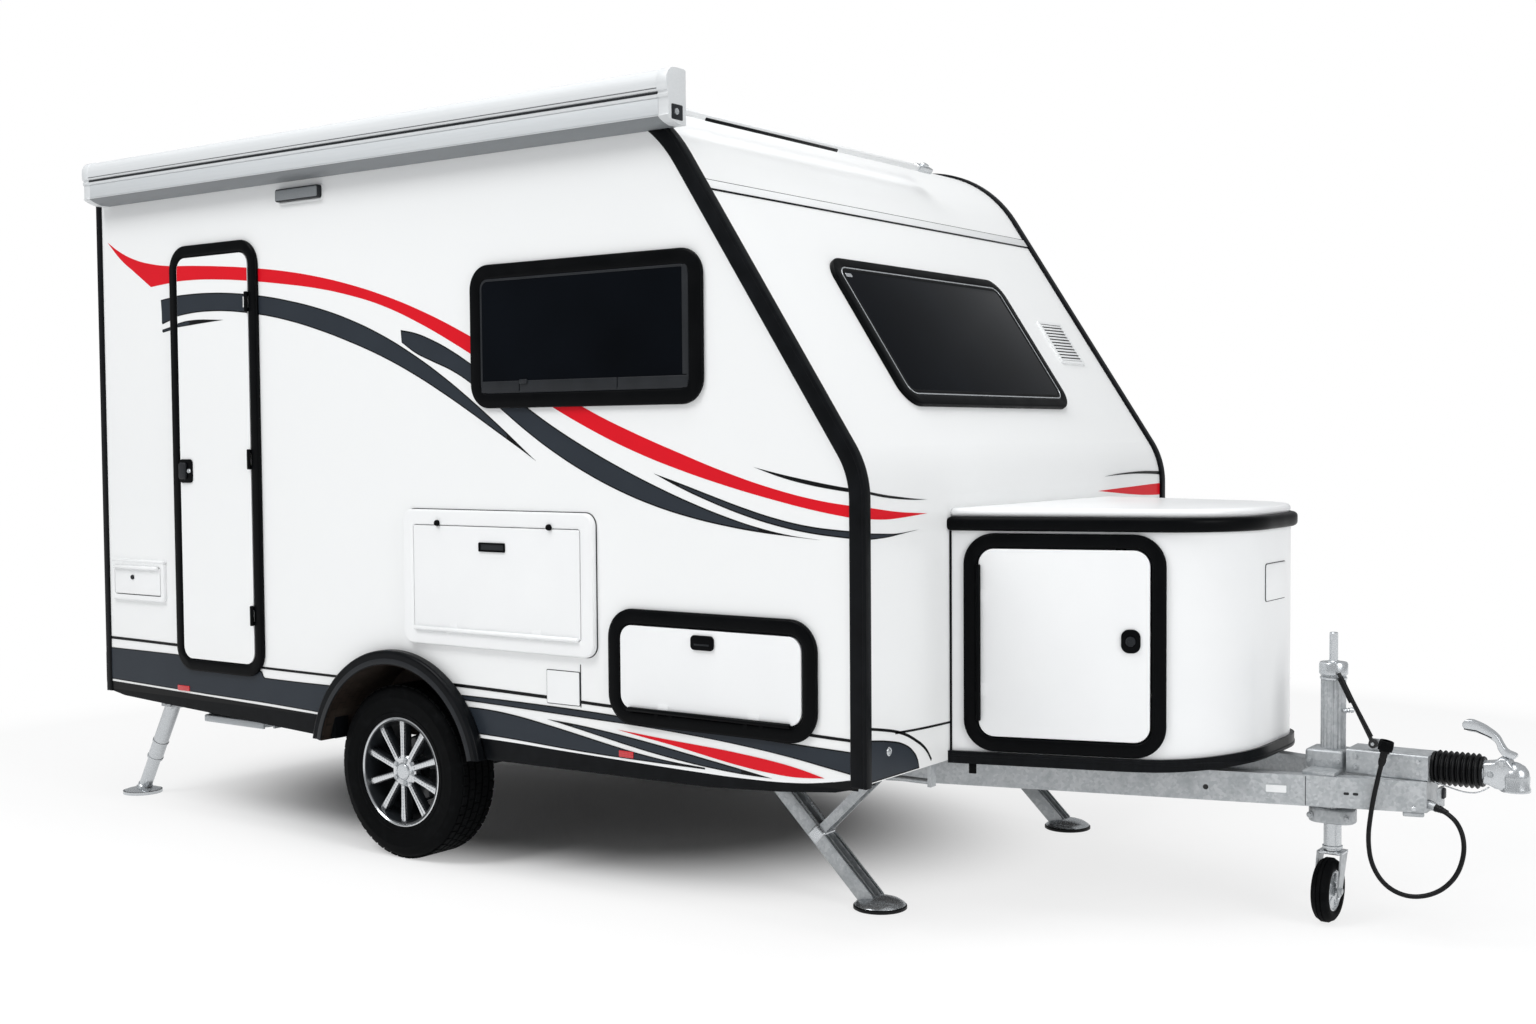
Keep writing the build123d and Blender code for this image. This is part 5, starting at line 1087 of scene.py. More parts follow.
class CAMPER_OT_stripes(bpy.types.Operator):
    """Makes the red, slate and black film stripes on the walls, the door and the front"""
    bl_idname = "camper.stripes"
    bl_label = "Stripes"

    def execute(self, context):
        s = sizes()
        leaf = door_leaf()
        frame_zone = shrunk(leaf, -s.leaf_gap - 0.012)
        glass = shrunk(side_window(), 0.02)
        bands = [("red_sweep", "film_red", cut_film("red_sweep", RED_TOP + RED_FOOT[::-1], FILM_GAP,
            FILM_GAP + s.film))]
        for name, (top, foot) in SWEEPS.items():
            if name == "hairline":
                bands.append((name, "film_black", cut_film(name, closed(top, foot), FILM_GAP, FILM_GAP + s.film)))
                continue
            black, slate = sweep_pair("slate_" + name, top, foot, 4.5 if name != "streak" else 3.5, RIGHT_WALL,
                FILM_GAP)
            bands += [("slate_" + name + "_edge", "film_black", black), ("slate_" + name, "film_slate", slate)]
        for name, look, band in bands:
            low, high = [min(v.co.x for v in band.data.vertices), max(v.co.x for v in band.data.vertices)]
            twin = mirrored(band, name + "_left")
            if low < leaf[0] and high > leaf[0]:
                on_leaf = copy_of(band, name + "_door")
                on_leaf = trimmed(on_leaf, opening("leaf_zone", shrunk(leaf, 0.0015)), "INTERSECT")
                on_leaf.location.y = -s.frame_proud
                settle(on_leaf, look, "entrance_door")
                trimmed(band, opening("door_zone", frame_zone))
            if low < glass[0] and high > glass[0]:
                trimmed(band, opening("window_zone", glass))
                cut = opening("window_zone", glass)
                trimmed(twin, mirrored(cut, "window_zone_left"))
                bpy.data.objects.remove(cut)
            settle(band, look)
            settle(twin, look)
        skirt_film = (2.5 * s.film, 3.5 * s.film)
        for name, (top, foot) in SKIRTS.items():
            black, slate = sweep_pair(name, top, foot, 4.0, RIGHT_WALL, skirt_film[0])
            if name in ("front_band", "front_wedge"):
                black, slate = clear_of_arch(black), clear_of_arch(slate)
            both_sides(name + "_edge", black, "film_black")
            both_sides(name, slate, "film_slate")
        both_sides("red_blade", cut_film("red_blade", RED_BLADE, *skirt_film), "film_red")
        for name, line, thick in (("line_rear_aft", [(-2536, 691), (-2300, 689), (-2045, 686)], 11),
                ("line_rear_fore", [(-1560, 633), (-1350, 632), (-1100, 631)], 9),
                ("line_front_aft", [(-600, 648), (-355, 644), (-103, 639)], 11),
                ("line_front_mid", [(46, 635), (120, 633), (200, 631)], 10),
                ("line_front_fore", [(940, 611), (1020, 609), (1110, 607)], 9)):
            upper, lower = [(x, z + thick / 2) for x, z in line], [(x, z - thick / 2) for x, z in line]
            both_sides(name, cut_film(name, closed(upper, lower), *skirt_film), "film_black")
        low_line = [(x, z - 7) for x, z in WHITE_LINE]
        skirt = cut_film("skirt_front", closed([(x, max(z + 4, 484)) for x, z in WHITE_LINE], low_line), -0.0005,
            0.0006)
        both_sides("skirt_front", clear_of_arch(skirt), "film_white")
        corner = cut_film("skirt_corner", [(860, 461, True), (889, 462.5), (983, 473), (1110, 497, True),
            (1110, 462, True)], -0.0005, 0.0008)
        both_sides("skirt_corner", corner, "film_black")
        aft = cut_film("skirt_aft", [(-2536, 512, True), (-2300, 507), (-2045, 501, True), (-2045, 479, True),
            (-2536, 479, True)], 0.0, 0.0009)
        both_sides("skirt_aft", aft, "film_black")
        fore = cut_film("skirt_mid", [(-2046, 501, True), (-1560, 490), (-1150, 479.5, True), (-1150, 478, True),
            (-2046, 478, True)], 0.0, 0.0009)
        both_sides("skirt_mid", fore, "film_black")
        self.front()
        return {"FINISHED"}

    def front(self):
        """The stripes' ends on the front wall, and the dark corners low down."""
        s = sizes()
        low, high = FRONT_FILM_GAP, FRONT_FILM_GAP + s.film
        end = HALF / MM - STRIPE_INSET
        hairline = ([(-end, 1333, True), (-974, 1319), (-887, 1310), (-799, 1302), (-721, 1297, True), (-799, 1298),
            (-887, 1303), (-974, 1311), (-end, 1325, True)], [(end, 1347, True), (930, 1351), (800, 1350), (660, 1345),
            (552, 1338, True), (660, 1341), (800, 1343), (930, 1341), (end, 1335, True)])
        red = ([(-end, 1286, True), (-974, 1274), (-888, 1265), (-799, 1259), (-722, 1255, True), (-799, 1251),
            (-888, 1247), (-974, 1246), (-end, 1252, True)], [(end, 1302, True), (950, 1299), (800, 1295), (640, 1291),
            (501, 1287, True), (640, 1277), (800, 1266), (950, 1259), (end, 1257, True)])
        slate_edge = ([(-end, 1211, True), (-975, 1205), (-906, 1202), (-772, 1208, True), (-888, 1198), (-949, 1193),
            (-1017, 1191), (-end, 1191, True)], None)
        slate = ([(-end, 1207, True), (-975, 1201.5), (-906, 1199, True), (-949, 1196.5), (-1017, 1194.5),
            (-end, 1195, True)], None)
        for name, look, (right, left) in (("nose_hairline", "film_black", hairline), ("nose_red", "film_red", red),
                ("nose_slate_edge", "film_black", slate_edge), ("nose_slate", "film_slate", slate)):
            top = high + (s.film if name == "nose_slate" else 0)
            settle(cut_film(name + "_right", right, low, top, FRONT_WALL), look)
            if left:
                settle(cut_film(name + "_left", left, low, high, FRONT_WALL), look)
        line = [(-end, 640), (-1000, 627), (-908, 608), (-850, 590), (-797, 566), (-755, 543), (-728, 521), (-705, 493)]
        above = [(y + 4, z + 8) for y, z in line]
        curve = cut_film("nose_line", closed(above, line), low, high, FRONT_WALL)
        both_sides("nose_line", curve, "film_black")
        branch = cut_film("nose_branch", closed([(-915, 613), (-780, 606), (-560, 600)], [(-915, 606), (-780, 599),
            (-560, 593)]), low, high, FRONT_WALL)
        both_sides("nose_branch", branch, "film_black")
        patch = [(-end, 611, True), (-951, 592), (-864, 570), (-812, 542), (-785, 512), (-776, 483, True),
            (-end, 483, True)]
        inner = [(-end, 606, True), (-953, 587), (-868, 566), (-818, 539), (-792, 510), (-783, 487, True),
            (-end, 487, True)]
        both_sides("nose_patch_edge", cut_film("nose_patch_edge", patch, low, high, FRONT_WALL), "film_black")
        both_sides("nose_patch", cut_film("nose_patch", inner, low, high + s.film, FRONT_WALL), "film_slate")
        cap = turned("nose_cap", [(0.0135, 0.0), (0.0135, 0.004), (0.0105, 0.006), (0.0095, 0.0045), (0.004, 0.0048),
            (0.001, 0.0052)], 28)
        place(cap, FRONT_WALL @ moved(-0.955, 0.561, 0))
        both_sides("nose_cap", cap, "bright_zinc")


# --- Windows, doors and flaps ----------------------------------------------------------------------

def framed(name, panel, rim, proud, plane, edge=0.006):
    """A moulded frame over a packed one: a little larger and prouder, with soft edges."""
    outer = plate(name, shrunk(panel, -0.0015), -0.003, proud + sizes().crown)
    hole = plate(name + "_hole", shrunk(panel, rim + 0.0005), -0.05, 0.05)
    return place(softened(trimmed(outer, hole), edge, 3), plane)


def skin(name, leaf, proud, plane):
    """The outer skin of a flap, with rolled edges."""
    return place(plate(name, shrunk(leaf, -0.0005), proud - 0.005, proud + 0.0018, 0.0045), plane)


def hinge_bar(name, start, end, plane, look="moulded_black", bodies=None):
    """A rod that covers a row of hinges, between two places on a wall; the third number is the leaf's height."""
    a, b = Vector(start), Vector(end)
    a.z, b.z = a.z + 0.008, b.z + 0.008
    long = (b - a).length
    rod = turned(name, [(0.0058, 0), (0.0074, 0.003), (0.0074, long - 0.003), (0.0058, long)], 24)
    rod = place(rod, plane @ along(a, b - a))
    if bodies:
        both_sides(name, rod, look, bodies)
    else:
        settle(rod, look)


def knob(name, radius, proud, sides=24):
    """A small round lock or catch with a key slot, on the XY plane."""
    body = turned(name, [(radius, 0), (radius, proud * 0.7), (radius * 0.86, proud), (radius * 0.6, proud),
        (radius * 0.56, proud * 0.9)], sides)
    slot = block(name + "_slot", (-radius * 0.42, -radius * 0.1, proud * 0.85), (radius * 0.42, radius * 0.1,
        proud * 0.98), 0.0001)
    return joined(name, [body, slot])


FRONT_WINDOW_REACH = 0.080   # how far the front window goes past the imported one, to the trailer's right


class CAMPER_OT_windows(bpy.types.Operator):
    """Makes the windows' frames, ledges and lower bars, and the louvred vent"""
    bl_idname = "camper.windows"
    bl_label = "Windows"

    def execute(self, context):
        s = sizes()
        self.glazed("side_window", side_window(), RIGHT_WALL, True)
        rear = (-0.600, 0.600, 1.500, 1.980, s.window_radius)
        self.glazed("rear_window", rear, REAR_WALL, False)
        slope = slope_frame()
        front = (-0.540 - FRONT_WINDOW_REACH, 0.540, 0.232, 0.806, s.window_radius)
        pane = plate("front_window_pane", shrunk(front, s.window_rim + 0.001), s.frame_proud - 0.004,
            s.frame_proud + 0.0008, 0.0015)
        settle(place(pane, slope), "glazing")
        settle(framed("front_window_frame", front, s.window_rim + 0.002, s.frame_proud, slope), "moulded_black")
        bead = place(ring("front_window_bead", shrunk(front, s.window_rim + 0.003), 0.0045, 0.010,
            s.frame_proud + 0.0022, 0.001), slope)
        settle(bead, "bright_zinc")
        inner = place(ring("front_window_ledge", shrunk(front, s.window_rim + 0.0075), 0.013, 0.010,
            s.frame_proud + 0.0012, 0.0012), slope)
        settle(inner, "moulded_black")
        stay = place(plate("front_window_stay", (-0.482 - FRONT_WINDOW_REACH, -0.448 - FRONT_WINDOW_REACH, 0.728, 0.742,
            0.004), s.frame_proud - 0.004, s.frame_proud + 0.004, 0.002), slope)
        settle(stay, "bright_zinc")
        self.vent(slope)
        return {"FINISHED"}

    def glazed(self, name, panel, plane, twins):
        """A hinged window: its frame, the ledge round the glass, the lower bar in three lengths and its catch."""
        s = sizes()
        x0, x1, z0, z1, _ = panel
        splits = [x0 + (x1 - x0) * share for share in (0.23, 0.66)]
        rim = s.window_rim + 0.013
        pieces = [("_frame", "moulded_black", framed(name + "_frame", panel, rim, s.frame_proud, plane)),
            ("_ledge", "graphite", place(ring(name + "_ledge", shrunk(panel, rim + 0.001), 0.008, 0.008,
            s.frame_proud + 0.0012, 0.0012), plane))]
        edges = [x0 + 0.050] + splits + [x1 - 0.050]
        bars = [plate(name + "_bar", (a + 0.0015, b - 0.0015, z0 + 0.050, z0 + 0.088, 0.004), 0.008,
            s.frame_proud + 0.0028, 0.002) for a, b in zip(edges, edges[1:])]
        bars.append(plate(name + "_pillar", (x1 - 0.072, x1 - 0.050, z0 + 0.091, z1 - 0.050, 0.003), 0.008,
            s.frame_proud + 0.0020, 0.0015))
        pieces.append(("_bar", "graphite", place(joined(name + "_bar", bars), plane)))
        hook_x = x0 + (x1 - x0) * 0.25
        hook = block(name + "_catch", (hook_x - 0.017, z0 + 0.076, 0.014), (hook_x + 0.017, z0 + 0.092,
            s.frame_proud + 0.008), 0.003)
        pieces.append(("_catch", "graphite", place(hook, plane)))
        for ending, look, piece in pieces:
            if twins:
                both_sides(name + ending, piece, look)
            else:
                settle(piece, look)

    def vent(self, slope):
        """The louvred outlet beside the front window."""
        left, right, low, high, blades = 0.713, 0.910, 0.443, 0.640, 12
        back = plate("vent_back", (left + 0.012, right - 0.012, low + 0.010, high - 0.010, 0.003), -0.001, 0.0022)
        settle(place(back, slope), "moulded_black")
        settle(place(ring("vent_frame", (left, right, low, high, 0.010), 0.013, -0.001, 0.006, 0.002), slope),
            "coated_white")
        pitch = (high - low - 0.026) / blades
        blade = block("vent_blades", (left + 0.010, -pitch * 0.26, 0.001), (right - 0.010, pitch * 0.26, 0.0052),
            0.0012)
        places = [moved(0, low + 0.013 + (k + 0.5) * pitch, 0) for k in range(blades)]
        settle(place(repeated("vent_blades", blade, places), slope), "coated_white")


class CAMPER_OT_doors(bpy.types.Operator):
    """Makes the frames, skins, handles and locks of the entrance door, hatch, lockers and service flap"""
    bl_idname = "camper.doors"
    bl_label = "Doors and flaps"

    def execute(self, context):
        s = sizes()
        leaf = door_leaf()
        outer = shrunk(leaf, -s.door_rim - s.leaf_gap)
        settle(framed("door_frame", outer, s.door_rim, s.frame_proud, RIGHT_WALL, 0.008), "moulded_black")
        low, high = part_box("door_handle")
        x0, x1, z0, z1, face = low.x, high.x, low.z, high.z, s.frame_proud
        dish = plate("handle_dish", (x0 - 0.004, x1 + 0.003, z0 - 0.004, z1 + 0.003, 0.016), face - 0.001, face + 0.006,
            0.003)
        settle(place(dish, RIGHT_WALL), "moulded_black", "entrance_door", stands_for=("door_handle",))
        paddle = plate("handle_paddle", (x0 + 0.006, x1 - 0.027, z0 + 0.010, z1 - 0.010, 0.010), face + 0.004,
            face + 0.018, 0.005)
        settle(place(paddle, RIGHT_WALL), "graphite", "entrance_door")
        key = place(knob("handle_lock", 0.0090, 0.009), RIGHT_WALL @ moved(x1 - 0.0125, (z0 + z1) / 2, face + 0.002))
        settle(key, "bright_zinc", "entrance_door")
        middle, apart = (leaf[2] + leaf[3]) / 2, (leaf[3] - leaf[2]) * 0.38
        for index, z in enumerate((middle - apart, middle, middle + apart)):
            hinge_bar(f"door_hinge_cover_{index + 1}", (leaf[1], z - 0.038, s.frame_proud),
                (leaf[1], z + 0.038, s.frame_proud), RIGHT_WALL)
        self.hatch(s)
        self.lockers(s)
        self.service(s)
        return {"FINISHED"}

    def hatch(self, s):
        """The kitchen hatch: white frame, skin, two catches, grip and lock."""
        low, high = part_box("hatch_flap")
        proud = 0.020
        leaf = (low.x, high.x, low.z + 0.006, high.z, 0.006)
        outer = shrunk(leaf, -s.hatch_rim - s.leaf_gap)[:4] + (0.040,)
        body = plate("hatch_frame", shrunk(outer, -0.0015), -0.003, proud + s.crown)
        hole = plate("hatch_hole", shrunk(leaf, -0.0038)[:4] + (0.012,), -0.05, 0.05)
        settle(place(softened(trimmed(body, hole), 0.007, 4), RIGHT_WALL), "thermoformed")
        seal = place(ring("hatch_seal", shrunk(outer, -0.004), 0.012, -0.001, 0.0025, 0.001), RIGHT_WALL)
        settle(seal, "graphite")
        settle(skin("hatch_skin", shrunk(leaf, -0.0015), proud, RIGHT_WALL), "thermoformed", "hatch_flap")
        hinge_bar("hatch_hinge_cover", (low.x + 0.004, leaf[2], proud), (high.x - 0.004, leaf[2], proud), RIGHT_WALL,
            "thermoformed")
        face = proud + 0.0015
        for index, (x, z) in enumerate(((-0.581, 1.204), (-0.064, 1.201))):
            catch = place(knob(f"hatch_catch_{index + 1}", 0.0105, 0.010), RIGHT_WALL @ moved(x, z, face))
            settle(catch, "moulded_black")
        grip = place(ring("hatch_grip", (-0.384, -0.264, 1.112, 1.143, 0.004), 0.0055, face - 0.001, face + 0.005,
            0.0015), RIGHT_WALL)
        settle(grip, "moulded_black", "hatch_flap")
        dish = place(plate("hatch_grip_dish", (-0.380, -0.268, 1.116, 1.139, 0.003), face - 0.001, face + 0.002,
            0.0005), RIGHT_WALL)
        settle(dish, "graphite", "hatch_flap")
        settle(place(knob("hatch_lock", 0.0055, 0.004), RIGHT_WALL @ moved(-0.331, 0.836, face)), "graphite",
            "hatch_flap")

    def lockers(self, s):
        """The two front lockers: black frames, skins and grips."""
        low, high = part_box("locker_flap_right")
        leaf = (low.x, high.x, low.z + 0.006, high.z, 0.044)
        outer = shrunk(leaf, -s.locker_rim - s.leaf_gap)
        both_sides("locker_frame", framed("locker_frame", outer, s.locker_rim, s.frame_proud, RIGHT_WALL, 0.010),
            "moulded_black")
        flaps = ("locker_flap_right", "locker_flap_left")
        both_sides("locker_skin", skin("locker_skin", leaf, s.frame_proud, RIGHT_WALL), "thermoformed", flaps)
        hinge_bar("locker_hinge_cover", (low.x + 0.036, leaf[2], s.frame_proud), (high.x - 0.036, leaf[2],
            s.frame_proud), RIGHT_WALL, bodies=("trailer", "trailer"))
        face = s.frame_proud + 0.0015
        grip = plate("locker_grip", (0.514, 0.602, 0.838, 0.884, 0.014), face - 0.001, face + 0.009, 0.004)
        both_sides("locker_grip", place(grip, RIGHT_WALL), "moulded_black", flaps)
        bar = block("locker_grip_bar", (0.530, 0.853, face + 0.008), (0.588, 0.858, face + 0.0105), 0.001)
        both_sides("locker_grip_bar", place(bar, RIGHT_WALL), "graphite", flaps)

    def service(self, s):
        """The service flap with its rain hood and lock, the small socket cover and the red reflectors."""
        low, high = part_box("service_flap")
        leaf = (low.x, high.x, low.z, high.z - 0.006, 0.006)
        outer = shrunk(leaf, -0.018 - s.leaf_gap)[:4] + (0.012,)
        body = plate("service_frame", shrunk(outer, -0.0015), -0.003, s.frame_proud + 0.0015)
        hole = plate("service_hole", shrunk(leaf, -0.0045), -0.05, 0.05)
        settle(place(softened(trimmed(body, hole), 0.003, 3), RIGHT_WALL), "thermoformed")
        settle(skin("service_skin", leaf, s.frame_proud, RIGHT_WALL), "thermoformed", "service_flap")
        hinge_bar("service_hinge_cover", (low.x + 0.004, leaf[3], s.frame_proud), (high.x - 0.004, leaf[3],
            s.frame_proud), RIGHT_WALL, "thermoformed")
        hood = block("service_hood", (outer[0] - 0.004, outer[3] - 0.002, -0.002), (outer[1] + 0.004, outer[3] + 0.008,
            0.018), 0.004)
        settle(place(hood, RIGHT_WALL), "thermoformed")
        lock = place(knob("service_lock", 0.0095, 0.006), RIGHT_WALL @ moved(-2.336, 0.946, s.frame_proud + 0.0015))
        settle(lock, "graphite", "service_flap")
        cover = place(plate("socket_cover", (-0.101, 0.040, 0.622, 0.730, 0.004), 0.0, 0.0035, 0.0012), RIGHT_WALL)
        settle(cover, "thermoformed")
        line = place(plate("socket_cover_seal", (-0.1035, 0.0425, 0.6195, 0.7325, 0.005), 0.0, 0.0012), RIGHT_WALL)
        settle(line, "graphite")
        joint = place(block("socket_joint", (0.0435, 0.617, 0.0), (0.0465, 0.757, 0.0016), 0.0005), RIGHT_WALL)
        settle(joint, "graphite")
        for name, panel in (("reflector_rear", (-2.074, -2.000, 0.508, 0.529, 0.003)),
                ("reflector_front", (0.207, 0.266, 0.473, 0.494, 0.003))):
            both_sides(name, place(plate(name, panel, 0.0, 0.0055, 0.0015), RIGHT_WALL), "lens_red")


# --- Awning and light ---------------------------------------------------------------------------------

AWNING = [(0, 2440), (36, 2440), (62, 2447), (80, 2455), (89, 2461), (90, 2464), (86, 2465.5), (86, 2516), (90, 2518),
    (92, 2526), (88, 2530), (88, 2534), (94, 2538), (95.5, 2560), (94, 2580), (86, 2596), (72, 2606), (54, 2610),
    (10, 2610), (0, 2606)]


class CAMPER_OT_awning(bpy.types.Operator):
    """Makes the rolled awning's case with its end caps, and the light over the door"""
    bl_idname = "camper.awning"
    bl_label = "Awning"

    def execute(self, context):
        low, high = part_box("awning_case")
        end_view = basis((0, -1, 0), (0, 0, 1), (0, -HALF, 0))
        start, end, cap = -high.x, -low.x, 0.040
        slim = [(out - 1.5 if out > 5 else out, z + (1.5 if z < 2450 else -1.5 if z > 2590 else 0)) for out,
            z in AWNING]
        case = drawn("awning_case", [scaled(slim)], start + cap - 0.001, end - cap + 0.001)
        settle(place(case, end_view), "coated_shell", smooth=40, stands_for=("awning_case",))
        # The lower panel's pale grey is partly its own colour and partly painted shade under the case's bulge.
        panel = block("awning_panel", (0.078, 2.4655, start + cap), (0.0868, 2.5145, end - cap), 0.001)
        settle(place(panel, end_view), "coated_pale")
        # Two dark strips along the case: the lower one fills its groove as painted shade, the upper one is a thin dark
        # line above it.
        lines = [block("awning_groove_shade", (0.080, low_z, start + cap), (out, high_z, end - cap), 0.0003)
                 for low_z, high_z, out in ((2.5272, 2.5345, 0.0905), (2.5440, 2.5456, 0.0944))]
        settle(place(joined("awning_groove_shade", lines), end_view), "graphite")
        # The case's underside is dark grey as painted shade under the awning.
        keel = [(0, 2440), (35.5, 2440.2), (61.5, 2447.2), (79.5, 2455.2), (88.2, 2461), (80, 2463.5), (0, 2463.5)]
        settle(place(drawn("awning_underside_shade", [scaled(keel)], start + cap - 0.0005, end - cap + 0.0005), end_view),
            "grey_plastic")
        for name, a, b in (("awning_cap_front", start, start + cap), ("awning_cap_rear", end - cap, end)):
            block_of = drawn(name, [scaled(AWNING)], a, b, edge=0.005, segments=3)
            settle(place(block_of, end_view), "coated_shell", smooth=45)
        self.bracket(end_view, start)
        low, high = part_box("awning_light")
        panel, proud = (low.x, high.x, low.z, high.z, 0.010), -low.y - HALF
        settle(place(plate("light_body", panel, 0.0, proud - 0.003, 0.003), RIGHT_WALL), "graphite",
            stands_for=("awning_light",))
        settle(place(plate("light_cover", shrunk(panel, 0.0045), 0.004, proud, 0.004), RIGHT_WALL), "grey_plastic")
        settle(place(ring("light_bezel", shrunk(panel, -0.006), 0.0065, 0.0, 0.0035, 0.0015), RIGHT_WALL),
            "coated_white")
        return {"FINISHED"}

    def bracket(self, end_view, start):
        """The crank's socket in the front end cap."""
        plate_of = plate("awning_bracket", (0.018, 0.072, 2.452, 2.498, 0.004), -0.0015, 0.0015, 0.0005)
        settle(place(plate_of, end_view @ moved(0, 0, start)), "graphite")
        eye = turned("awning_eye", [(0.010, -0.003), (0.010, 0.004), (0.0075, 0.004), (0.0075, 0.001)], 20)
        settle(place(eye, end_view @ moved(0.050, 2.476, start - 0.0015)), "bright_zinc")


# --- Front storage box --------------------------------------------------------------------------------

def box_plan(grow, back=0.0):
    """The storage box's plan moved outwards, from the front wall round the nose, in metres."""
    s = sizes()
    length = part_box("front_box")[1].x - FRONT
    root = s.box_half + grow / cos(s.box_taper)
    nose, radius = FRONT + length + grow, s.box_nose_radius + grow
    half = root - (length + grow) * tan(s.box_taper)
    turn = pi / 2 - s.box_taper
    reach = radius * tan(turn / 2)
    points = []
    for side in (-1, 1):
        arc = []
        for k in range(15):
            angle = turn * k / 14
            arc.append((nose - radius + radius * cos(angle), side * (half - reach + radius * sin(angle))))
        ends = [(FRONT - back, side * (root + back * tan(s.box_taper)))]
        points += (ends + arc[::-1]) if side < 0 else (arc + ends)
    return points


class CAMPER_OT_box(bpy.types.Operator):
    """Makes the storage box's lid, door frames, skins, locks and seals"""
    bl_idname = "camper.storage_box"
    bl_label = "Storage box"

    def execute(self, context):
        s = sizes()
        low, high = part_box("front_box_lid")
        rim_high = low.z + 0.044
        rim = drawn("lid_rim", [box_plan(0.021, 0.003)], low.z, rim_high, edge=0.014, segments=4)
        settle(rim, "moulded_black", smooth=40, stands_for=("front_box_lid",))
        crown = drawn("lid_crown", [box_plan(-0.001, 0.003)], rim_high - 0.004, high.z, edge=0.0255, segments=7)
        settle(crown, "thermoformed", smooth=40)
        side = box_side_frame()
        panel, rim_of, proud = (0.046, 0.660, 0.514, 1.188, 0.095), 0.042, 0.010
        doors = ("box_door_right", "box_door_left")
        both_sides("box_frame", framed("box_frame", panel, rim_of, proud, side, 0.009), "moulded_black")
        leaf = shrunk(panel, rim_of + s.leaf_gap)
        both_sides("box_skin", skin("box_skin", leaf, proud, side), "thermoformed", doors)
        hinge_bar("box_hinge_cover", (leaf[0], leaf[2] + 0.048, proud), (leaf[0], leaf[3] - 0.048, proud), side,
            bodies=("trailer", "trailer"))
        face = proud + 0.0015
        plate_of = plate("box_lock_plate", (0.528, 0.586, 0.832, 0.904, 0.024), face - 0.001, face + 0.008, 0.004)
        both_sides("box_lock_plate", place(plate_of, side), "moulded_black", doors)
        lock = place(knob("box_lock", 0.015, 0.012, 32), side @ moved(0.557, 0.868, face + 0.006))
        both_sides("box_lock", lock, "graphite", doors)
        box_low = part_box("front_box")[0].z
        seal = block("box_seal", (0.0, box_low, -0.002), (0.007, low.z, 0.004), 0.002)
        both_sides("box_seal", place(seal, side), "trim_rubber")
        strip_low, strip_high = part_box("front_box_strip")
        middle, grow = (strip_low.z + strip_high.z) / 2, strip_high.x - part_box("front_box")[1].x
        bead = drawn("strip_bead", [box_plan(grow + 0.0022, -0.004)], middle - 0.007, middle + 0.005, edge=0.0035,
            segments=3)
        settle(bead, "trim_rubber", smooth=40)
        tab = block("strip_tab", (0.060, strip_low.z - 0.032, 0.001), (0.084, strip_low.z + 0.004, 0.006), 0.002)
        both_sides("strip_tab", place(tab, side), "moulded_black")
        nose_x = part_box("front_box")[1].x
        nose = basis((0, 1, 0), (0, 0, 1), (nose_x, 0, 0))
        settle(place(plate("box_nose_plate", (-0.088, 0.088, 0.975, 1.088, 0.010), -0.001, 0.004, 0.0015), nose),
            "thermoformed")
        settle(place(ring("box_nose_seal", (-0.0905, 0.0905, 0.9725, 1.0905, 0.012), 0.006, -0.001, 0.0018), nose),
            "graphite")
        return {"FINISHED"}


# --- Wheels ---------------------------------------------------------------------------------------------

def wheel_frame():
    """The right wheel's centre: X forwards, Y up, Z out of the trailer."""
    return basis((1, 0, 0), (0, 0, 1), WHEEL_MIDDLE)


TYRE = [(192, -80), (196, -86), (205, -88), (212, -90.5), (216, -88.8), (222, -90.4), (235, -92.2), (262, -92.0),
    (264, -92.5), (268, -92.5), (270, -91.6), (285, -89), (294, -85.5), (301, -79), (305, -70), (306.8, -60),
    (307.4, -50.5), (301, -49.5), (301, -45.5), (307.6, -44.5), (307.8, -19), (301, -18), (301, -14), (307.9, -13)]


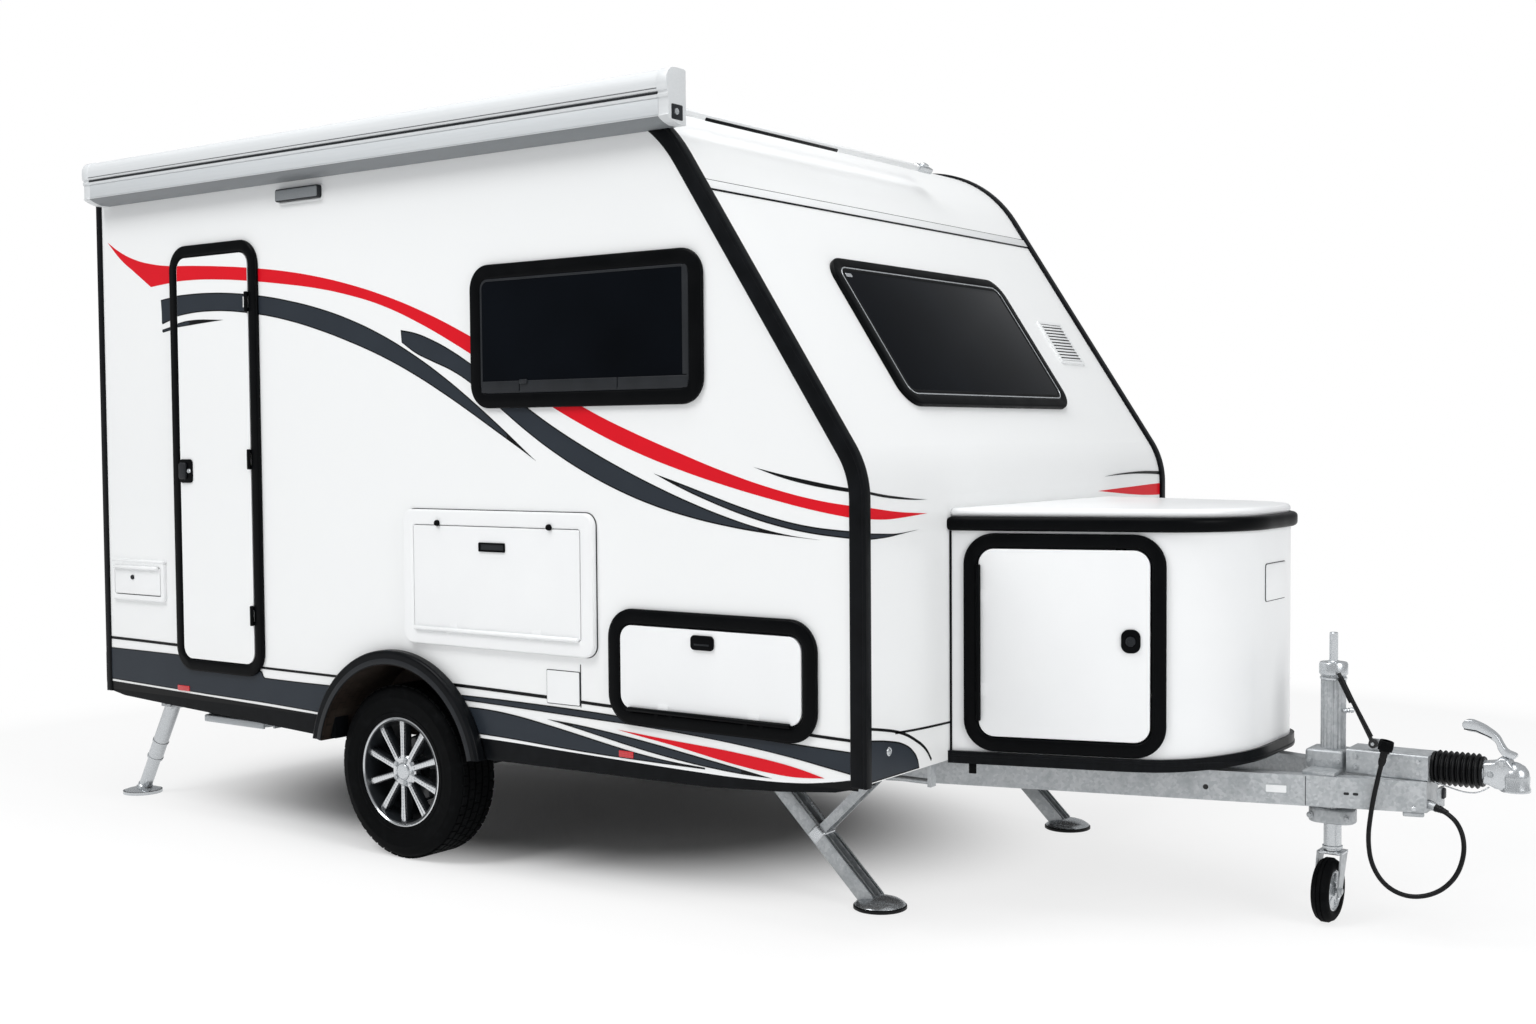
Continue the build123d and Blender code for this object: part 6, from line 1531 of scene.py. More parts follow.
class CAMPER_OT_wheels(bpy.types.Operator):
    """Makes the tyres with their tread, the spoked alloy rims and the wheel arches' lips"""
    bl_idname = "camper.wheels"
    bl_label = "Wheels"

    def execute(self, context):
        wheels = ("wheel_right", "wheel_left")
        where = wheel_frame()
        outer = [(r * MM, h * MM) for r, h in TYRE] + [(r * MM, -h * MM) for r, h in reversed(TYRE)]
        inner = [(0.200, 0.070), (0.288, 0.072), (0.288, -0.072), (0.200, -0.070)]
        tyre = spun("tyre", outer + inner, steps=96)
        right, left = both_sides("tyre", place(tyre, where), "tyre_rubber", wheels, smooth=30)
        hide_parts("tyre_right")
        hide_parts("tyre_left")
        self.tread(where, wheels)
        self.rim(where, wheels)
        self.arches()
        return {"FINISHED"}

    def tread(self, where, wheels):
        """Five rows of shallow blocks round the tyre."""
        count = sizes().tread_blocks
        pitch = 2 * pi / count
        rows = []
        for index, (middle, wide, part) in enumerate(((-0.0625, 0.022, 0.80), (-0.0318, 0.0235, 0.86),
                (0.0, 0.0235, 0.86), (0.0318, 0.0235, 0.86), (0.0625, 0.022, 0.80))):
            long = 0.310 * pitch * part
            lug = block("tread_row", (0.3050, -long / 2, middle - wide / 2), (0.3099, long / 2, middle + wide / 2),
                0.0012, 1)
            shift = pitch / 2 * (index % 2)
            places = [Matrix.Rotation(k * pitch + shift, 4, "Z") for k in range(count)]
            rows.append(repeated("tread_row", lug, places))
        both_sides("tread", place(joined("tread", rows), where), "tyre_rubber", wheels, smooth=30)

    def rim(self, where, wheels):
        """Barrel, bright outer ring, spokes in two tones, hub with cap and bolts, brake drum."""
        barrel = spun("rim_barrel", [(0.176, -0.084), (0.190, -0.084), (0.190, 0.082), (0.182, 0.0825), (0.176, 0.060)],
            steps=80)
        drum = turned("brake_drum", [(0.118, -0.084), (0.118, -0.020), (0.110, -0.014), (0.052, -0.012),
            (0.050, 0.040)], 64)
        dark = [barrel, drum]
        step = 2 * pi / sizes().spokes
        turns = [Matrix.Rotation(k * step + step / 2, 4, "Z") for k in range(sizes().spokes)]
        web = drawn("rim_web", [[(0.030, -0.0125), (0.100, -0.0120), (0.180, -0.0150), (0.180, 0.0150), (0.100, 0.0120),
            (0.030, 0.0125)]], 0.038, 0.066, edge=0.002)
        dark.append(repeated("rim_web", web, turns))
        both_dark = place(joined("rim_pockets", dark), where)
        right, left = both_sides("rim_pockets", both_dark, "wheel_paint", wheels)
        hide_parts("rim_right")
        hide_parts("rim_left")
        ring_of = spun("rim_lip", [(0.1835, 0.070), (0.1945, 0.0785), (0.1955, 0.0845), (0.1915, 0.0862),
            (0.1850, 0.0800), (0.1815, 0.0740)], steps=96)
        face = drawn("rim_face", [[(0.046, -0.0085), (0.120, -0.0088), (0.186, -0.0122), (0.186, 0.0122),
            (0.120, 0.0088), (0.046, 0.0085)]], 0.064, 0.0720, edge=0.0012)
        groove = block("rim_groove", (0.060, -0.0018, 0.0700), (0.178, 0.0018, 0.0735), 0.0)
        face = trimmed(face, groove)
        faces = repeated("rim_face", face, turns)
        hub = turned("rim_hub", [(0.058, 0.040), (0.058, 0.062), (0.050, 0.070), (0.047, 0.0715), (0.032, 0.0700),
            (0.030, 0.0650)], 60)
        both_sides("rim_faces", place(joined("rim_faces", [ring_of, faces, hub]), where), "machined_alloy", wheels,
            smooth=30)
        cap = turned("hub_cap", [(0.0285, 0.060), (0.0285, 0.0715), (0.0265, 0.0735), (0.0180, 0.0745),
            (0.0080, 0.0748)], 40)
        cap_ring = spun("hub_ring", [(0.0285, 0.0640), (0.0310, 0.0640), (0.0310, 0.0725), (0.0285, 0.0735)], steps=40)
        both_sides("hub_cap", place(joined("hub_cap", [cap, cap_ring]), where), "bright_zinc", wheels)
        bolt = turned("wheel_bolt", [(0.0088, 0.062), (0.0088, 0.0745), (0.0074, 0.0762), (0.0050, 0.0762)], 6)
        seat = turned("wheel_bolt_seat", [(0.0120, 0.060), (0.0120, 0.0700), (0.0105, 0.0710)], 20)
        bolts = repeated("wheel_bolts", joined("wheel_bolt", [bolt, seat]),
                         [Matrix.Rotation(k * 2 * pi / 5, 4, "Z") @ moved(0.041, 0, 0) for k in range(5)])
        both_sides("wheel_bolts", place(bolts, where), "galvanised", wheels, smooth=25)
        valve = turned("tyre_valve", [(0.0042, 0.0), (0.0042, 0.018), (0.0034, 0.020), (0.0034, 0.026),
            (0.0028, 0.0275)], 14)
        both_sides("tyre_valve", place(valve, where @ along(Vector((0.168, 0.030, 0.060)), Vector((-0.5, 0, 0.9)))),
            "soft_rubber", wheels)

    def arches(self):
        """The lips of the wheel arches' flares, and the dark liners behind them."""
        low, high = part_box("arch_flares")
        proud = high.y - HALF
        outer = ARCH_RADIUS
        start = asin((low.z - high.z + outer) / (outer - 0.030))
        where = arch_frame()
        sweep = pi - 2 * start
        lip = spun("arch_lip", [(outer - 0.0495, proud - 0.006), (outer - 0.0300, proud - 0.004),
            (outer - 0.0285, proud - 0.0004), (outer - 0.0310, proud + 0.0006), (outer - 0.0470, proud + 0.0006),
            (outer - 0.0500, proud - 0.0015)], steps=64, sweep=sweep, turn=start)
        both_sides("arch_lip", place(lip, where), "graphite")
        liner = spun("arch_liner", [(outer - 0.0505, proud - 0.003), (outer - 0.0525, proud - 0.003),
            (outer - 0.0525, -0.190), (outer - 0.0505, -0.190)], steps=64, sweep=sweep, turn=start)
        both_sides("arch_liner", place(liner, where), "underfloor")
        back = trimmed(turned("arch_back", [(outer - 0.0515, -0.2150), (outer - 0.0515, -0.2130)], 64),
            block("back_zone", (-0.6, -0.6, -0.4), (0.6, low.z - high.z + outer + 0.0005, 0.1)))
        both_sides("arch_back", place(back, where), "underfloor")


# --- Hitch, jack and drawbar -----------------------------------------------------------------------------

UPRIGHT = Matrix.Rotation(pi / 2, 4, "X")


def across(y):
    """A drawing of the trailer's right side, X forwards and Y up, at a place across it; Z runs to the right."""
    return basis((1, 0, 0), (0, 0, 1), (0, y, 0))


def bolt(name, radius, proud):
    """A hexagon head on its washer, on the XY plane."""
    washer = turned(name + "_washer", [(radius * 1.35, 0), (radius * 1.35, proud * 0.18),
        (radius * 1.25, proud * 0.25)], 24)
    head = turned(name, [(radius, proud * 0.2), (radius, proud * 0.85), (radius * 0.82, proud), (radius * 0.3, proud)],
        6)
    return joined(name, [washer, head])


class CAMPER_OT_hitch(bpy.types.Operator):
    """Makes the coupling, its bellows and handle, and the overrun housing's fittings"""
    bl_idname = "camper.hitch"
    bl_label = "Coupling"

    def execute(self, context):
        low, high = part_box("bellows")
        start, end, folds = low.x, high.x, 8
        pitch = (end - start - 0.020) / folds
        section = [(0.030, 0.0), (0.045, 0.0), (0.047, 0.004), (0.046, 0.009)]
        for k in range(folds):
            at = 0.010 + k * pitch
            section += [(0.0405, at + pitch * 0.06), (0.0500, at + pitch * 0.34), (0.0518, at + pitch * 0.50),
                (0.0500, at + pitch * 0.66), (0.0405, at + pitch * 0.94)]
        section += [(0.044, end - start - 0.009), (0.045, end - start - 0.004), (0.043, end - start),
            (0.030, end - start)]
        folded = spun("bellows", section, steps=64)
        middle = (low.z + high.z) / 2
        settle(place(folded, along(Vector((start, 0, middle)), Vector((1, 0, 0)))), "soft_rubber", smooth=50,
            stands_for=("bellows",))
        self.head(middle)
        self.housing()
        return {"FINISHED"}

    def head(self, middle):
        """The coupling's casting with its ball cup and pivot, and the handle with a band of painted shade along its
        lower side.
        """
        start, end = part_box("coupling_head")[0].x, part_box("coupling_head")[1].x
        low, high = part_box("coupling_head")[0].z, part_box("coupling_head")[1].z
        shoulder = [(start - 0.004, middle - 0.030), (start + 0.018, middle - 0.034), (start + 0.034, low + 0.006),
            (start + 0.060, low + 0.002), (start + 0.086, low + 0.004), (start + 0.092, middle + 0.020),
            (start + 0.078, middle + 0.030), (start + 0.066, high - 0.004), (start + 0.044, high - 0.002),
            (start + 0.030, middle + 0.036), (start + 0.014, middle + 0.033), (start - 0.004, middle + 0.030)]
        body = place(drawn("coupling_head", [shoulder], -0.033, 0.033, edge=0.009, segments=4), across(0))
        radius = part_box("coupling_head")[1].y
        cup_x = end - radius - 0.0005
        cup = turned("coupling_cup", [(radius, low), (radius, low + 0.010), (radius - 0.003, low + 0.016),
            (radius - 0.002, middle - 0.006), (radius - 0.006, middle + 0.012), (radius - 0.016, middle + 0.026),
            (radius - 0.030, middle + 0.034), (0.004, middle + 0.037)], 56)
        cup = place(cup, moved(cup_x, 0, 0))
        settle(joined("coupling_head", [body, cup]), "bright_zinc", smooth=38, stands_for=("coupling_head",))
        neck = turned("coupling_neck", [(0.036, 0), (0.036, 0.010), (0.034, 0.012), (0.034, 0.020)], 40)
        settle(place(neck, along(Vector((start - 0.010, 0, middle)), Vector((1, 0, 0)))), "galvanised")
        pivot = place(bolt("coupling_pivot", 0.0085, 0.009), RIGHT_WALL @ moved(start + 0.052, high - 0.018,
            -HALF + 0.033))
        nut = place(bolt("coupling_bolt", 0.0075, 0.008), RIGHT_WALL @ moved(start + 0.022, middle, -HALF + 0.032))
        settle(joined("coupling_bolts", [pivot, nut]), "galvanised")
        low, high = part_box("coupling_handle")
        grip = [(low.x + 0.001, 0.632), (low.x + 0.005, 0.645), (low.x + 0.018, 0.6495), (low.x + 0.040, 0.645),
            (low.x + 0.078, 0.626), (low.x + 0.100, 0.607), (low.x + 0.112, 0.586), (low.x + 0.122, 0.572),
            (low.x + 0.150, 0.553), (low.x + 0.118, 0.5525), (low.x + 0.102, 0.568), (low.x + 0.094, 0.588),
            (low.x + 0.078, 0.601), (low.x + 0.040, 0.615), (low.x + 0.012, 0.620)]
        handle = place(drawn("coupling_handle", [grip], -0.0165, 0.0165, smooth=True, edge=0.0085, segments=4),
            across(0))
        settle(handle, "bright_zinc", smooth=40, stands_for=("coupling_handle",))
        # A thin dark band along the handle's lower side is painted shade.
        line = [(low.x + 0.006, 0.6245), (low.x + 0.040, 0.6225), (low.x + 0.084, 0.605), (low.x + 0.084, 0.6015),
            (low.x + 0.040, 0.6185), (low.x + 0.006, 0.6210)]
        shade = place(drawn("coupling_handle_shade_band", [line], -0.0174, 0.0174, edge=0.001), across(0))
        settle(shade, "graphite")

    def housing(self):
        """Bolts of the overrun housing and the loop of its breakaway cable."""
        low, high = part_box("overrun_housing")
        heads = []
        for x, z in ((low.x + 0.028, 0.486), (low.x + 0.028, 0.518), (high.x - 0.028, 0.486), (high.x - 0.028, 0.518)):
            heads.append(place(bolt("housing_bolt", 0.0065, 0.006), RIGHT_WALL @ moved(x, z, -HALF - low.y)))
        settle(joined("housing_bolts", heads), "galvanised")
        loop = [(high.x + 0.012, -0.030, 0.462), (high.x + 0.050, -0.032, 0.450), (high.x + 0.100, -0.030, 0.438),
            (high.x + 0.140, -0.026, 0.442), (high.x + 0.162, -0.020, 0.460)]
        settle(tube("breakaway_cable", loop, 0.0022), "bright_zinc")


class CAMPER_OT_jack(bpy.types.Operator):
    """Makes the jockey wheel's column, foot, fork and caster"""
    bl_idname = "camper.jack"
    bl_label = "Jockey wheel"

    def execute(self, context):
        low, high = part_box("jack_column")
        axis = (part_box("jack_stem")[0].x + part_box("jack_stem")[1].x) / 2
        upright = moved(axis, 0, 0)
        self.column(low, high, upright, axis)
        stem_low, stem_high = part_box("jack_stem")
        radius = (stem_high.y - stem_low.y) / 2
        stem = turned("jack_stem", [(radius - 0.0005, stem_low.z), (radius - 0.0005, stem_high.z - 0.02)], 40)
        bead = spun("jack_stem_bead", [(radius - 0.002, stem_low.z + 0.004), (radius + 0.0035, stem_low.z + 0.007),
            (radius + 0.0035, stem_low.z + 0.013), (radius - 0.002, stem_low.z + 0.016)], 40)
        settle(place(joined("jack_stem", [stem, bead]), upright), "bright_zinc", "jack_stem", stands_for=("jack_stem",))
        self.caster()
        return {"FINISHED"}

    def column(self, low, high, upright, axis):
        """The fluted column with its cap and crank stub, the clamp on the beams and the collar below them."""
        flutes, points = 18, []
        for k in range(flutes * 4):
            points.append((cos(2 * pi * k / (flutes * 4)) * (0.0372 if k % 4 < 2 else 0.0352),
                sin(2 * pi * k / (flutes * 4)) * (0.0372 if k % 4 < 2 else 0.0352)))
        barrel = drawn("jack_column", [points], low.z + 0.001, 0.770)
        settle(place(barrel, upright), "galvanised", smooth=20, stands_for=("jack_column",))
        cap = turned("jack_cap", [(0.0385, 0.752), (0.0425, 0.756), (0.0425, 0.786), (0.0395, 0.7915), (0.020, 0.7930),
            (0.0165, 0.796)], 48)
        crank = turned("jack_crank", [(0.0128, 0.790), (0.0128, high.z - 0.004), (0.0108, high.z - 0.0015),
            (0.004, high.z - 0.0015)], 28)
        rib = spun("jack_rib", [(0.0375, 0.738), (0.0400, 0.740), (0.0400, 0.745), (0.0375, 0.747)], 48)
        settle(place(joined("jack_cap", [cap, crank, rib]), upright), "bright_zinc")
        clamp = block("jack_clamp", (-0.070, -0.053, 0.4645), (0.046, 0.050, 0.528), 0.010, 4)
        seat = block("jack_seat", (-0.052, low.y, 0.4635), (0.046, high.y, 0.4745), 0.003)
        collar = plate("jack_collar", (-0.070, 0.070, -0.046, 0.046, 0.040), low.z, low.z + 0.045, 0.006, 4)
        parts = [clamp, seat, collar]
        for x, y in ((-0.055, -0.053), (0.033, -0.053)):
            parts.append(place(bolt("clamp_bolt", 0.0070, 0.007), UPRIGHT @ moved(x, 0.495, -y)))
        for x in (-0.056, 0.056):
            parts.append(place(bolt("collar_bolt", 0.0075, 0.007), UPRIGHT @ moved(x, low.z + 0.022, 0.044)))
        settle(place(joined("jack_clamp", parts), upright), "galvanised", smooth=35)
        pin = turned("jack_pin", [(0.0045, 0), (0.0045, 0.020), (0.008, 0.021), (0.008, 0.028), (0.006, 0.030)], 20)
        spring = spun("jack_spring", [(0.0060, 0.004), (0.0085, 0.007), (0.0060, 0.010)], 24)
        ring_of = spun("jack_pin_ring", [(0.0060, 0.012), (0.0085, 0.015), (0.0060, 0.018)], 24)
        pin = place(joined("jack_pin", [pin, spring, ring_of]), along(Vector((axis + 0.036, -0.012, 0.646)),
            Vector((1, 0, 0.15))))
        settle(pin, "bright_zinc")

    def caster(self):
        """The jockey wheel: grooved tyre, pressed disc, axle bolt and fork plate."""
        low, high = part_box("caster_wheel")
        centre = (low + high) / 2
        radius, half = (high.z - low.z) / 2, (high.x - low.x) / 2
        section = [(0.062, -half + 0.006), (0.070, -half + 0.001), (0.082, -half), (0.091, -half + 0.006),
            (radius - 0.002, -half + 0.016), (radius, -0.009), (radius - 0.003, -0.008), (radius - 0.003, -0.005),
            (radius, -0.004)]
        section += [(r, -h) for r, h in reversed(section)]
        tyre = spun("caster_tyre", section, steps=64)
        turn = along(centre, Vector((1, 0, 0)))
        settle(place(tyre, turn), "tyre_rubber", "caster_wheel", smooth=40, stands_for=("caster_wheel",))
        discs = []
        for side in (-1, 1):
            disc = turned("caster_disc", [(0.0640, 0.012), (0.0640, 0.0205), (0.0590, 0.0225), (0.0540, 0.0175),
                (0.0300, 0.0190), (0.0200, 0.0245), (0.0100, 0.0250)], 56)
            slots = [Matrix.Rotation(k * 2 * pi / 5, 4, "Z") for k in range(5)]
            ribs = repeated("caster_ribs", block("caster_rib", (0.022, -0.003, 0.0175), (0.052, 0.003, 0.0215), 0.0015),
                slots)
            discs.append(place(joined("caster_disc", [disc, ribs]), along(centre, Vector((side, 0, 0)))))
        settle(joined("caster_discs", discs), "bright_zinc", "caster_wheel")
        fork_low, fork_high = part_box("caster_fork")
        top = plate("fork_plate", (fork_low.x - 0.001, fork_high.x + 0.001, -0.034, 0.033, 0.012), 0.2035, 0.2128,
            0.003)
        settle(top, "bright_zinc", "caster_fork")
        nut = place(bolt("fork_bolt", 0.0105, 0.008), along(Vector((fork_high.x - 0.001, centre.y, centre.z)),
            Vector((1, 0, 0))))
        settle(nut, "galvanised", "caster_fork")


class CAMPER_OT_drawbar(bpy.types.Operator):
    """Makes the drawbar's slots, blank plate, feet and socket tab, and the handbrake's fittings"""
    bl_idname = "camper.drawbar"
    bl_label = "Drawbar"

    def execute(self, context):
        low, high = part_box("drawbar")
        end = Vector((high.x - 0.030, -0.064, (low.z + high.z) / 2))
        way = Vector((-cos(radians(15.9)), -sin(radians(15.9)), 0))
        face = basis(-way, (0, 0, 1), end)
        tall = (high.z - low.z) / 2

        def on_beam(name, panel, look, deep=0.0, proud=0.0015, edge=0.0004):
            piece = place(plate(name, panel, deep, proud, edge), face)
            both_sides(name, piece, look)

        on_beam("beam_plate", (-0.455, -0.395, -0.010, 0.012, 0.003), "coated_white", proud=0.0018)
        on_beam("beam_joint", (-0.3415, -0.3395, -tall + 0.002, tall - 0.002, 0.0005), "graphite", proud=0.0006, edge=0)
        # The slots and the hole are flat dark plates: painted shade for the beam's hollow inside.
        on_beam("beam_slot_1", (-0.232, -0.216, -0.006, 0.002, 0.004), "dipped_steel", proud=0.0008, edge=0)
        on_beam("beam_slot_2", (-0.206, -0.190, -0.006, 0.002, 0.004), "dipped_steel", proud=0.0008, edge=0)
        on_beam("beam_hole", (-0.640, -0.624, -0.014, 0.002, 0.0078), "dipped_steel", proud=0.0008, edge=0)
        foot = place(block("beam_foot", (-0.066, -tall - 0.0145, -0.030), (-0.006, -tall + 0.001, -0.002), 0.005, 3),
            face)
        both_sides("beam_foot", foot, "galvanised")
        both_sides("beam_foot_bolt", place(bolt("beam_foot_bolt", 0.006, 0.005), face @ moved(-0.036, -tall + 0.012,
            0)), "bright_zinc")
        tab = block("socket_tab", (high.x - 0.004, -0.060, 0.388), (high.x + 0.008, -0.012, 0.448), 0.003)
        settle(tab, "galvanised")
        hook = block("socket_clip", (high.x + 0.004, -0.050, 0.416), (high.x + 0.016, -0.024, 0.446), 0.004)
        settle(hook, "graphite")
        lever_low, lever_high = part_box("handbrake_lever")
        dress("dipped_steel", "handbrake_lever")
        grip = tube("handbrake_grip", [(lever_low.x + 0.010, -0.050, lever_high.z - 0.016), (lever_low.x + 0.046,
            -0.050, lever_high.z - 0.088)], 0.0092, sides=8, order=2)
        settle(grip, "soft_rubber", "handbrake_lever")
        way_down = (lever_high.x - 0.012 - lever_low.x - 0.010, lever_low.z + 0.020 - lever_high.z + 0.016)
        ends = [(lever_low.x + 0.010 + way_down[0] * share, -0.050, lever_high.z - 0.016 + way_down[1] * share)
            for share in (0.15, 0.93)]
        settle(tube("handbrake_sleeve", ends, 0.0066, sides=8, order=2), "soft_rubber", "handbrake_lever")
        return {"FINISHED"}


# --- Legs, step and rear end -----------------------------------------------------------------------------

FRONT_PIVOT, FRONT_FOOT, FRONT_REACH = Vector((0.490, -0.675, 0.422)), Vector((0.926, -0.675, 0.0)), 0.300
REAR_PIVOT, REAR_FOOT = Vector((-2.402, -0.874, 0.408)), Vector((-2.635, -0.874, 0.0))


def foot_pad(name, radius, tall, where, bodies):
    """A leg's domed steel pad on its rubber ring."""
    base = turned(name + "_ring", [(radius - 0.002, 0.0), (radius + 0.0015, 0.002), (radius + 0.0015, 0.010),
        (radius - 0.0015, 0.0130)], 56)
    both_sides(name + "_ring", place(base, Matrix.Translation(where)), "soft_rubber", bodies)
    dome = turned(name, [(radius - 0.0020, 0.0115), (radius - 0.0050, 0.0115 + tall * 0.22),
        (radius * 0.74, 0.0115 + tall * 0.62), (radius * 0.48, 0.0115 + tall * 0.88), (radius * 0.28, 0.0115 + tall)],
        56)
    both_sides(name, place(dome, Matrix.Translation(where)), "bright_zinc", bodies)


class CAMPER_OT_legs(bpy.types.Operator):
    """Makes the corner legs' channels, nuts, braces, collars and pads"""
    bl_idname = "camper.legs"
    bl_label = "Corner legs"

    def execute(self, context):
        down = (FRONT_FOOT - FRONT_PIVOT).normalized()
        ahead = Vector((-down.z, 0, down.x))
        leg = basis(down, ahead, FRONT_PIVOT)
        length = (FRONT_FOOT - FRONT_PIVOT).length
        bodies = ("front_leg_right", "front_leg_left")
        lips = []
        for low, high, inner in ((0.090, FRONT_REACH - 0.020, 0.0150), (FRONT_REACH + 0.020, length - 0.038, 0.0285)):
            lips += [block("leg_lip", (low, 0.0190, a), (high, 0.0245, b), 0.0015) for a, b in ((inner, 0.0325),
                (-0.0325, -inner))]
        both_sides("leg_lips", place(joined("leg_lips", lips), leg), "bright_zinc", bodies)
        cheeks = [block("leg_cheek", (0.085, -0.025, side), (length - 0.030, 0.024, side + 0.0035), 0.0015)
            for side in (0.0315, -0.0350)]
        cheeks.append(block("leg_web", (0.085, -0.0265, -0.0350), (length - 0.030, -0.0235, 0.0350), 0.0012))
        both_sides("leg_channel", place(joined("leg_channel", cheeks), leg), "galvanised", bodies)
        nut = block("leg_nut", (FRONT_REACH - 0.024, -0.0275, -0.0365), (FRONT_REACH + 0.024, 0.0285, 0.0372), 0.009, 4)
        both_sides("leg_nut", place(nut, leg), "bright_zinc", bodies)
        # The nut's hole is a flat dark disc: painted shade.
        both_sides("leg_nut_hole", place(turned("leg_nut_hole", [(0.0048, 0), (0.0048, 0.0012)], 20),
            leg @ moved(FRONT_REACH + 0.006, 0.0278, 0.014) @ Matrix.Rotation(-pi / 2, 4, "X")), "dipped_steel", bodies)
        foot_pad("front_pad", 0.084, 0.026, FRONT_FOOT, bodies)
        joint = FRONT_PIVOT + down * FRONT_REACH
        nut_spot = Vector((2 * joint.x - FRONT_PIVOT.x, joint.y, FRONT_PIVOT.z))
        run = (nut_spot - joint).normalized()
        brace = basis(run, Vector((-run.z, 0, run.x)), joint)
        arm = (nut_spot - joint).length
        bodies = ("front_brace_right", "front_brace_left")
        outer = 0.0225
        shell = plate("brace_skin", (-0.0155, arm + 0.0155, -0.0158, 0.0158, 0.0155), outer - 0.003, outer + 0.0016,
            0.0012)
        slot = plate("brace_slot", (arm * 0.58, arm * 0.90, -0.0042, 0.0042, 0.0040), outer - 0.02, outer + 0.02)
        both_sides("brace_skin", place(trimmed(shell, slot), brace), "galvanised", bodies)
        # The slot's floor is black as painted shade inside the brace.
        dark = plate("brace_slot_floor", (arm * 0.57, arm * 0.91, -0.0050, 0.0050, 0.0048), outer - 0.001,
            outer + 0.0003)
        both_sides("brace_slot_floor", place(dark, brace), "dipped_steel", bodies)
        both_sides("brace_bolt", place(bolt("brace_bolt", 0.0080, 0.0065), brace @ moved(arm, 0, outer + 0.0012)),
            "bright_zinc", bodies)
        self.rear()
        return {"FINISHED"}

    def rear(self):
        """The rear legs' collars and pads."""
        way = (REAR_FOOT - REAR_PIVOT).normalized()
        tube_of = along(REAR_PIVOT, way)
        bodies = ("rear_leg_right", "rear_leg_left")
        for name, low in (("rear_collar_upper", 0.196), ("rear_collar_lower", 0.276)):
            collar = spun(name, [(0.0305, low), (0.0332, low + 0.0015), (0.0336, low + 0.0060), (0.0332, low + 0.0105),
                (0.0305, low + 0.0125)], steps=48)
            both_sides(name, place(collar, tube_of), "bright_zinc", bodies)
        cap = turned("rear_pivot_cap", [(0.0165, 0), (0.0165, 0.003), (0.0110, 0.0045), (0.0110, 0.010),
            (0.0080, 0.0115)], 28)
        both_sides("rear_pivot_cap", place(cap, RIGHT_WALL @ moved(REAR_PIVOT.x, REAR_PIVOT.z,
            -HALF - REAR_PIVOT.y + 0.0305)), "galvanised", bodies)
        bodies = ("rear_foot_right", "rear_foot_left")
        foot_pad("rear_pad", 0.078, 0.012, REAR_FOOT, bodies)
        length = (REAR_FOOT - REAR_PIVOT).length
        socket = turned("rear_foot_socket", [(0.0262, length - 0.046), (0.0300, length - 0.043),
            (0.0300, length - 0.032), (0.0340, length - 0.022)], 40)
        both_sides("rear_foot_socket", place(socket, tube_of), "bright_zinc", bodies)


class CAMPER_OT_step(bpy.types.Operator):
    """Makes the entry step's ribbed tread and folded front edge"""
    bl_idname = "camper.step"
    bl_label = "Entry step"

    def execute(self, context):
        low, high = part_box("entry_step")
        rib = block("step_rib", (low.x + 0.020, low.y + 0.018, high.z - 0.001), (high.x - 0.020, low.y + 0.026,
            high.z + 0.0018), 0.0012)
        ribs = repeated("step_ribs", rib, [moved(0, k * 0.016, 0) for k in range(12)])
        settle(ribs, "grey_plastic", "entry_step")
        lip = block("step_lip", (low.x + 0.006, low.y - 0.0015, low.z - 0.006), (high.x - 0.006, low.y + 0.010,
            high.z + 0.0022), 0.004, 3)
        settle(lip, "coated_grey", "entry_step")
        ends = [block("step_end", (x - 0.006, low.y + 0.008, low.z + 0.001), (x + 0.006, high.y - 0.030,
            high.z + 0.0022), 0.002) for x in (low.x + 0.008, high.x - 0.008)]
        settle(joined("step_ends", ends), "coated_grey", "entry_step")
        return {"FINISHED"}


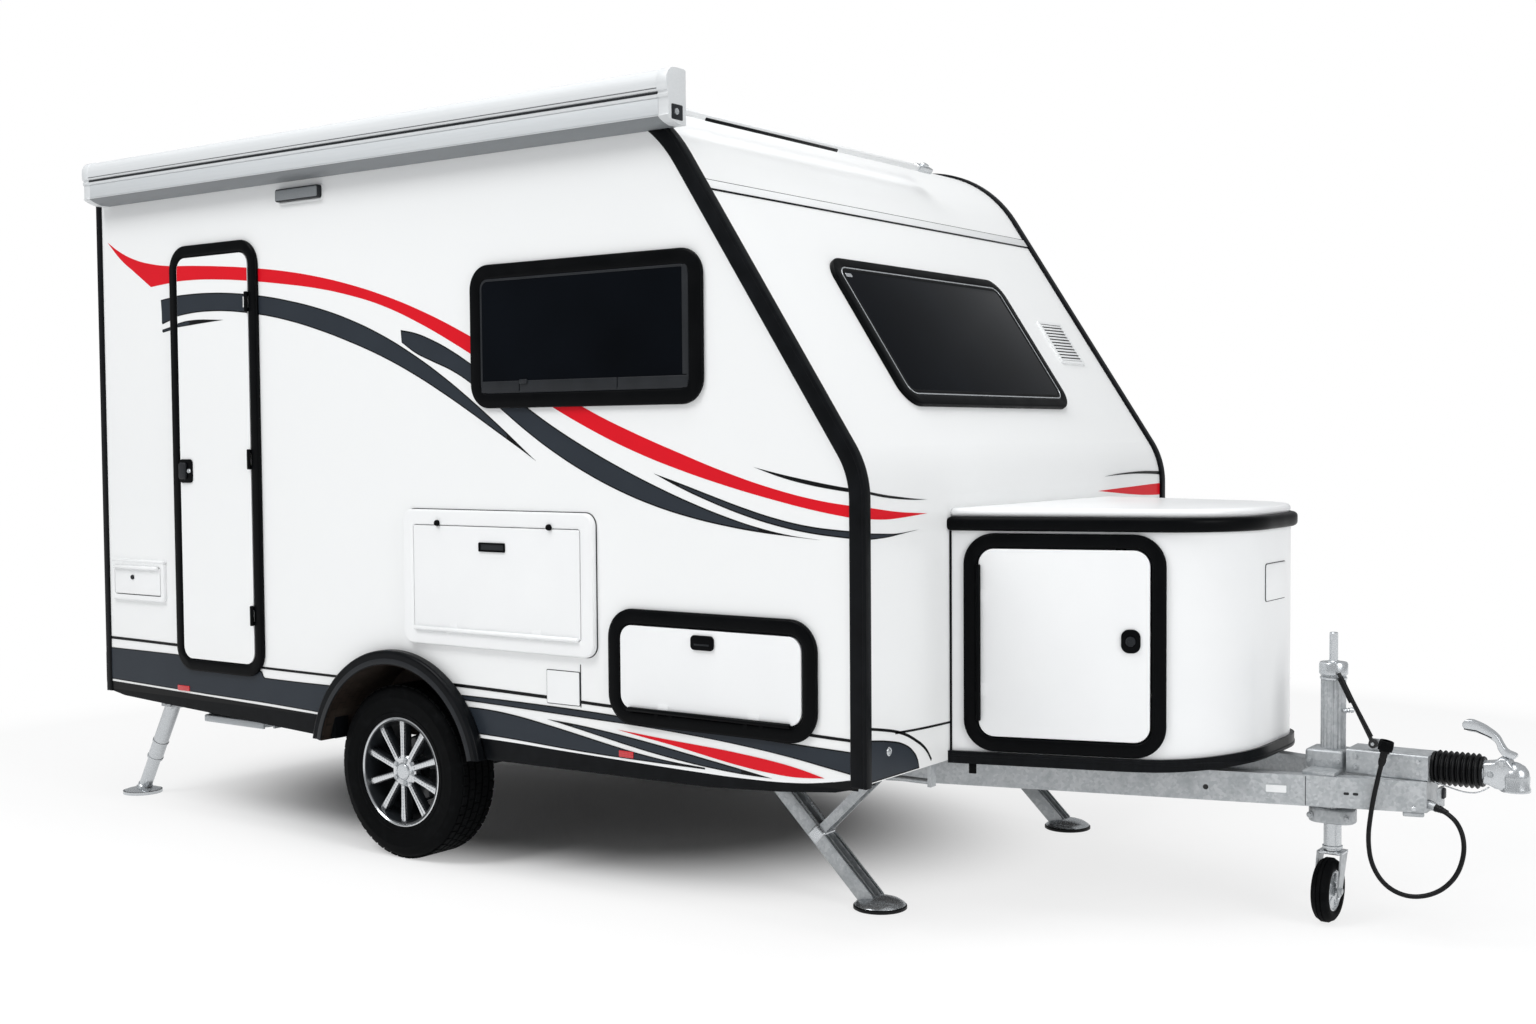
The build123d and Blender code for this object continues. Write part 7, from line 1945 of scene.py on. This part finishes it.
class CAMPER_OT_rear(bpy.types.Operator):
    """Makes the rear lamps, the high brake light, the blank number plate and the bumper's trim"""
    bl_idname = "camper.rear_end"
    bl_label = "Rear end"

    def execute(self, context):
        low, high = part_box("rear_lamps")
        inner = high.y - 0.150
        base = block("lamp_base", (low.x + 0.018, -high.y, low.z), (high.x, -inner, high.z), 0.006, 3)
        right, _ = both_sides("lamp_base", base, "moulded_black")
        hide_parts("rear_lamps")
        for name, look, a, b in (("lamp_stop", "lens_red", 0.004, 0.056), ("lamp_turn", "lens_amber", 0.058, 0.100),
                ("lamp_fog", "lens_clear", 0.102, 0.146)):
            glass = block(name, (low.x + 0.001, -high.y + a, low.z + 0.005), (low.x + 0.024, -high.y + b,
                high.z - 0.005), 0.006, 3)
            both_sides(name, glass, look)
        bar = block("brake_light", (REAR - 0.012, -0.160, 2.395), (REAR, 0.160, 2.425), 0.005, 3)
        settle(bar, "lens_red")
        bumper_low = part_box("rear_bumper")[0]
        panel = block("number_plate", (bumper_low.x - 0.0030, -0.260, 0.505), (bumper_low.x + 0.004, 0.260, 0.615),
            0.002)
        settle(panel, "coated_white")
        holder = block("plate_holder", (bumper_low.x - 0.0018, -0.268, 0.497), (bumper_low.x + 0.004, 0.268, 0.623),
            0.003)
        settle(holder, "moulded_black")
        for index, y in enumerate((-0.20, 0.20)):
            light = block(f"plate_light_{index + 1}", (bumper_low.x - 0.0030, y - 0.030, 0.624), (bumper_low.x + 0.010,
                y + 0.030, 0.644), 0.005, 3)
            settle(light, "lens_clear")
        groove = block("bumper_groove", (bumper_low.x - 0.0012, -0.960, 0.4835), (bumper_low.x + 0.01, 0.960, 0.4895),
            0.0008)
        settle(groove, "graphite")
        return {"FINISHED"}


# --- Panel and registration -------------------------------------------------------------------------

STEPS = ("camera", "cable", "stage", "trims", "stripes", "windows", "doors", "awning", "storage_box", "wheels", "hitch",
    "jack", "drawbar", "legs", "step", "rear_end")


class CAMPER_PT_panel(bpy.types.Panel):
    """Lists the camper's sizes, colours and pieces"""
    bl_idname = "CAMPER_PT_panel"
    bl_label = "Camper trailer"
    bl_space_type = "VIEW_3D"
    bl_region_type = "UI"
    bl_category = "Camper"

    def draw(self, context):
        layout = self.layout
        for heading, group in (("Sizes", context.scene.camper_sizes), ("Colours", context.scene.camper_colours)):
            box = layout.box()
            box.label(text=heading)
            for name in group.bl_rna.properties.keys():
                if name not in ("rna_type", "name"):
                    box.prop(group, name)
        for step in STEPS:
            layout.operator("camper." + step)


CLASSES = [CamperSizes, CamperColours, CAMPER_PT_panel] + [kind for kind in bpy.types.Operator.__subclasses__()
                                                           if kind.__name__.startswith("CAMPER_OT_")]


def register():
    for kind in CLASSES:
        bpy.utils.register_class(kind)
    bpy.types.Scene.camper_sizes = PointerProperty(type=CamperSizes)
    bpy.types.Scene.camper_colours = PointerProperty(type=CamperColours)


def unregister():
    del bpy.types.Scene.camper_sizes
    del bpy.types.Scene.camper_colours
    for kind in reversed(CLASSES):
        bpy.utils.unregister_class(kind)


def main():
    register()
    for step in STEPS:
        result = getattr(bpy.ops.camper, step)()
        if result != {"FINISHED"}:
            raise RuntimeError(f"camper.{step} did not finish: {result}")


if __name__ == "__main__":
    main()
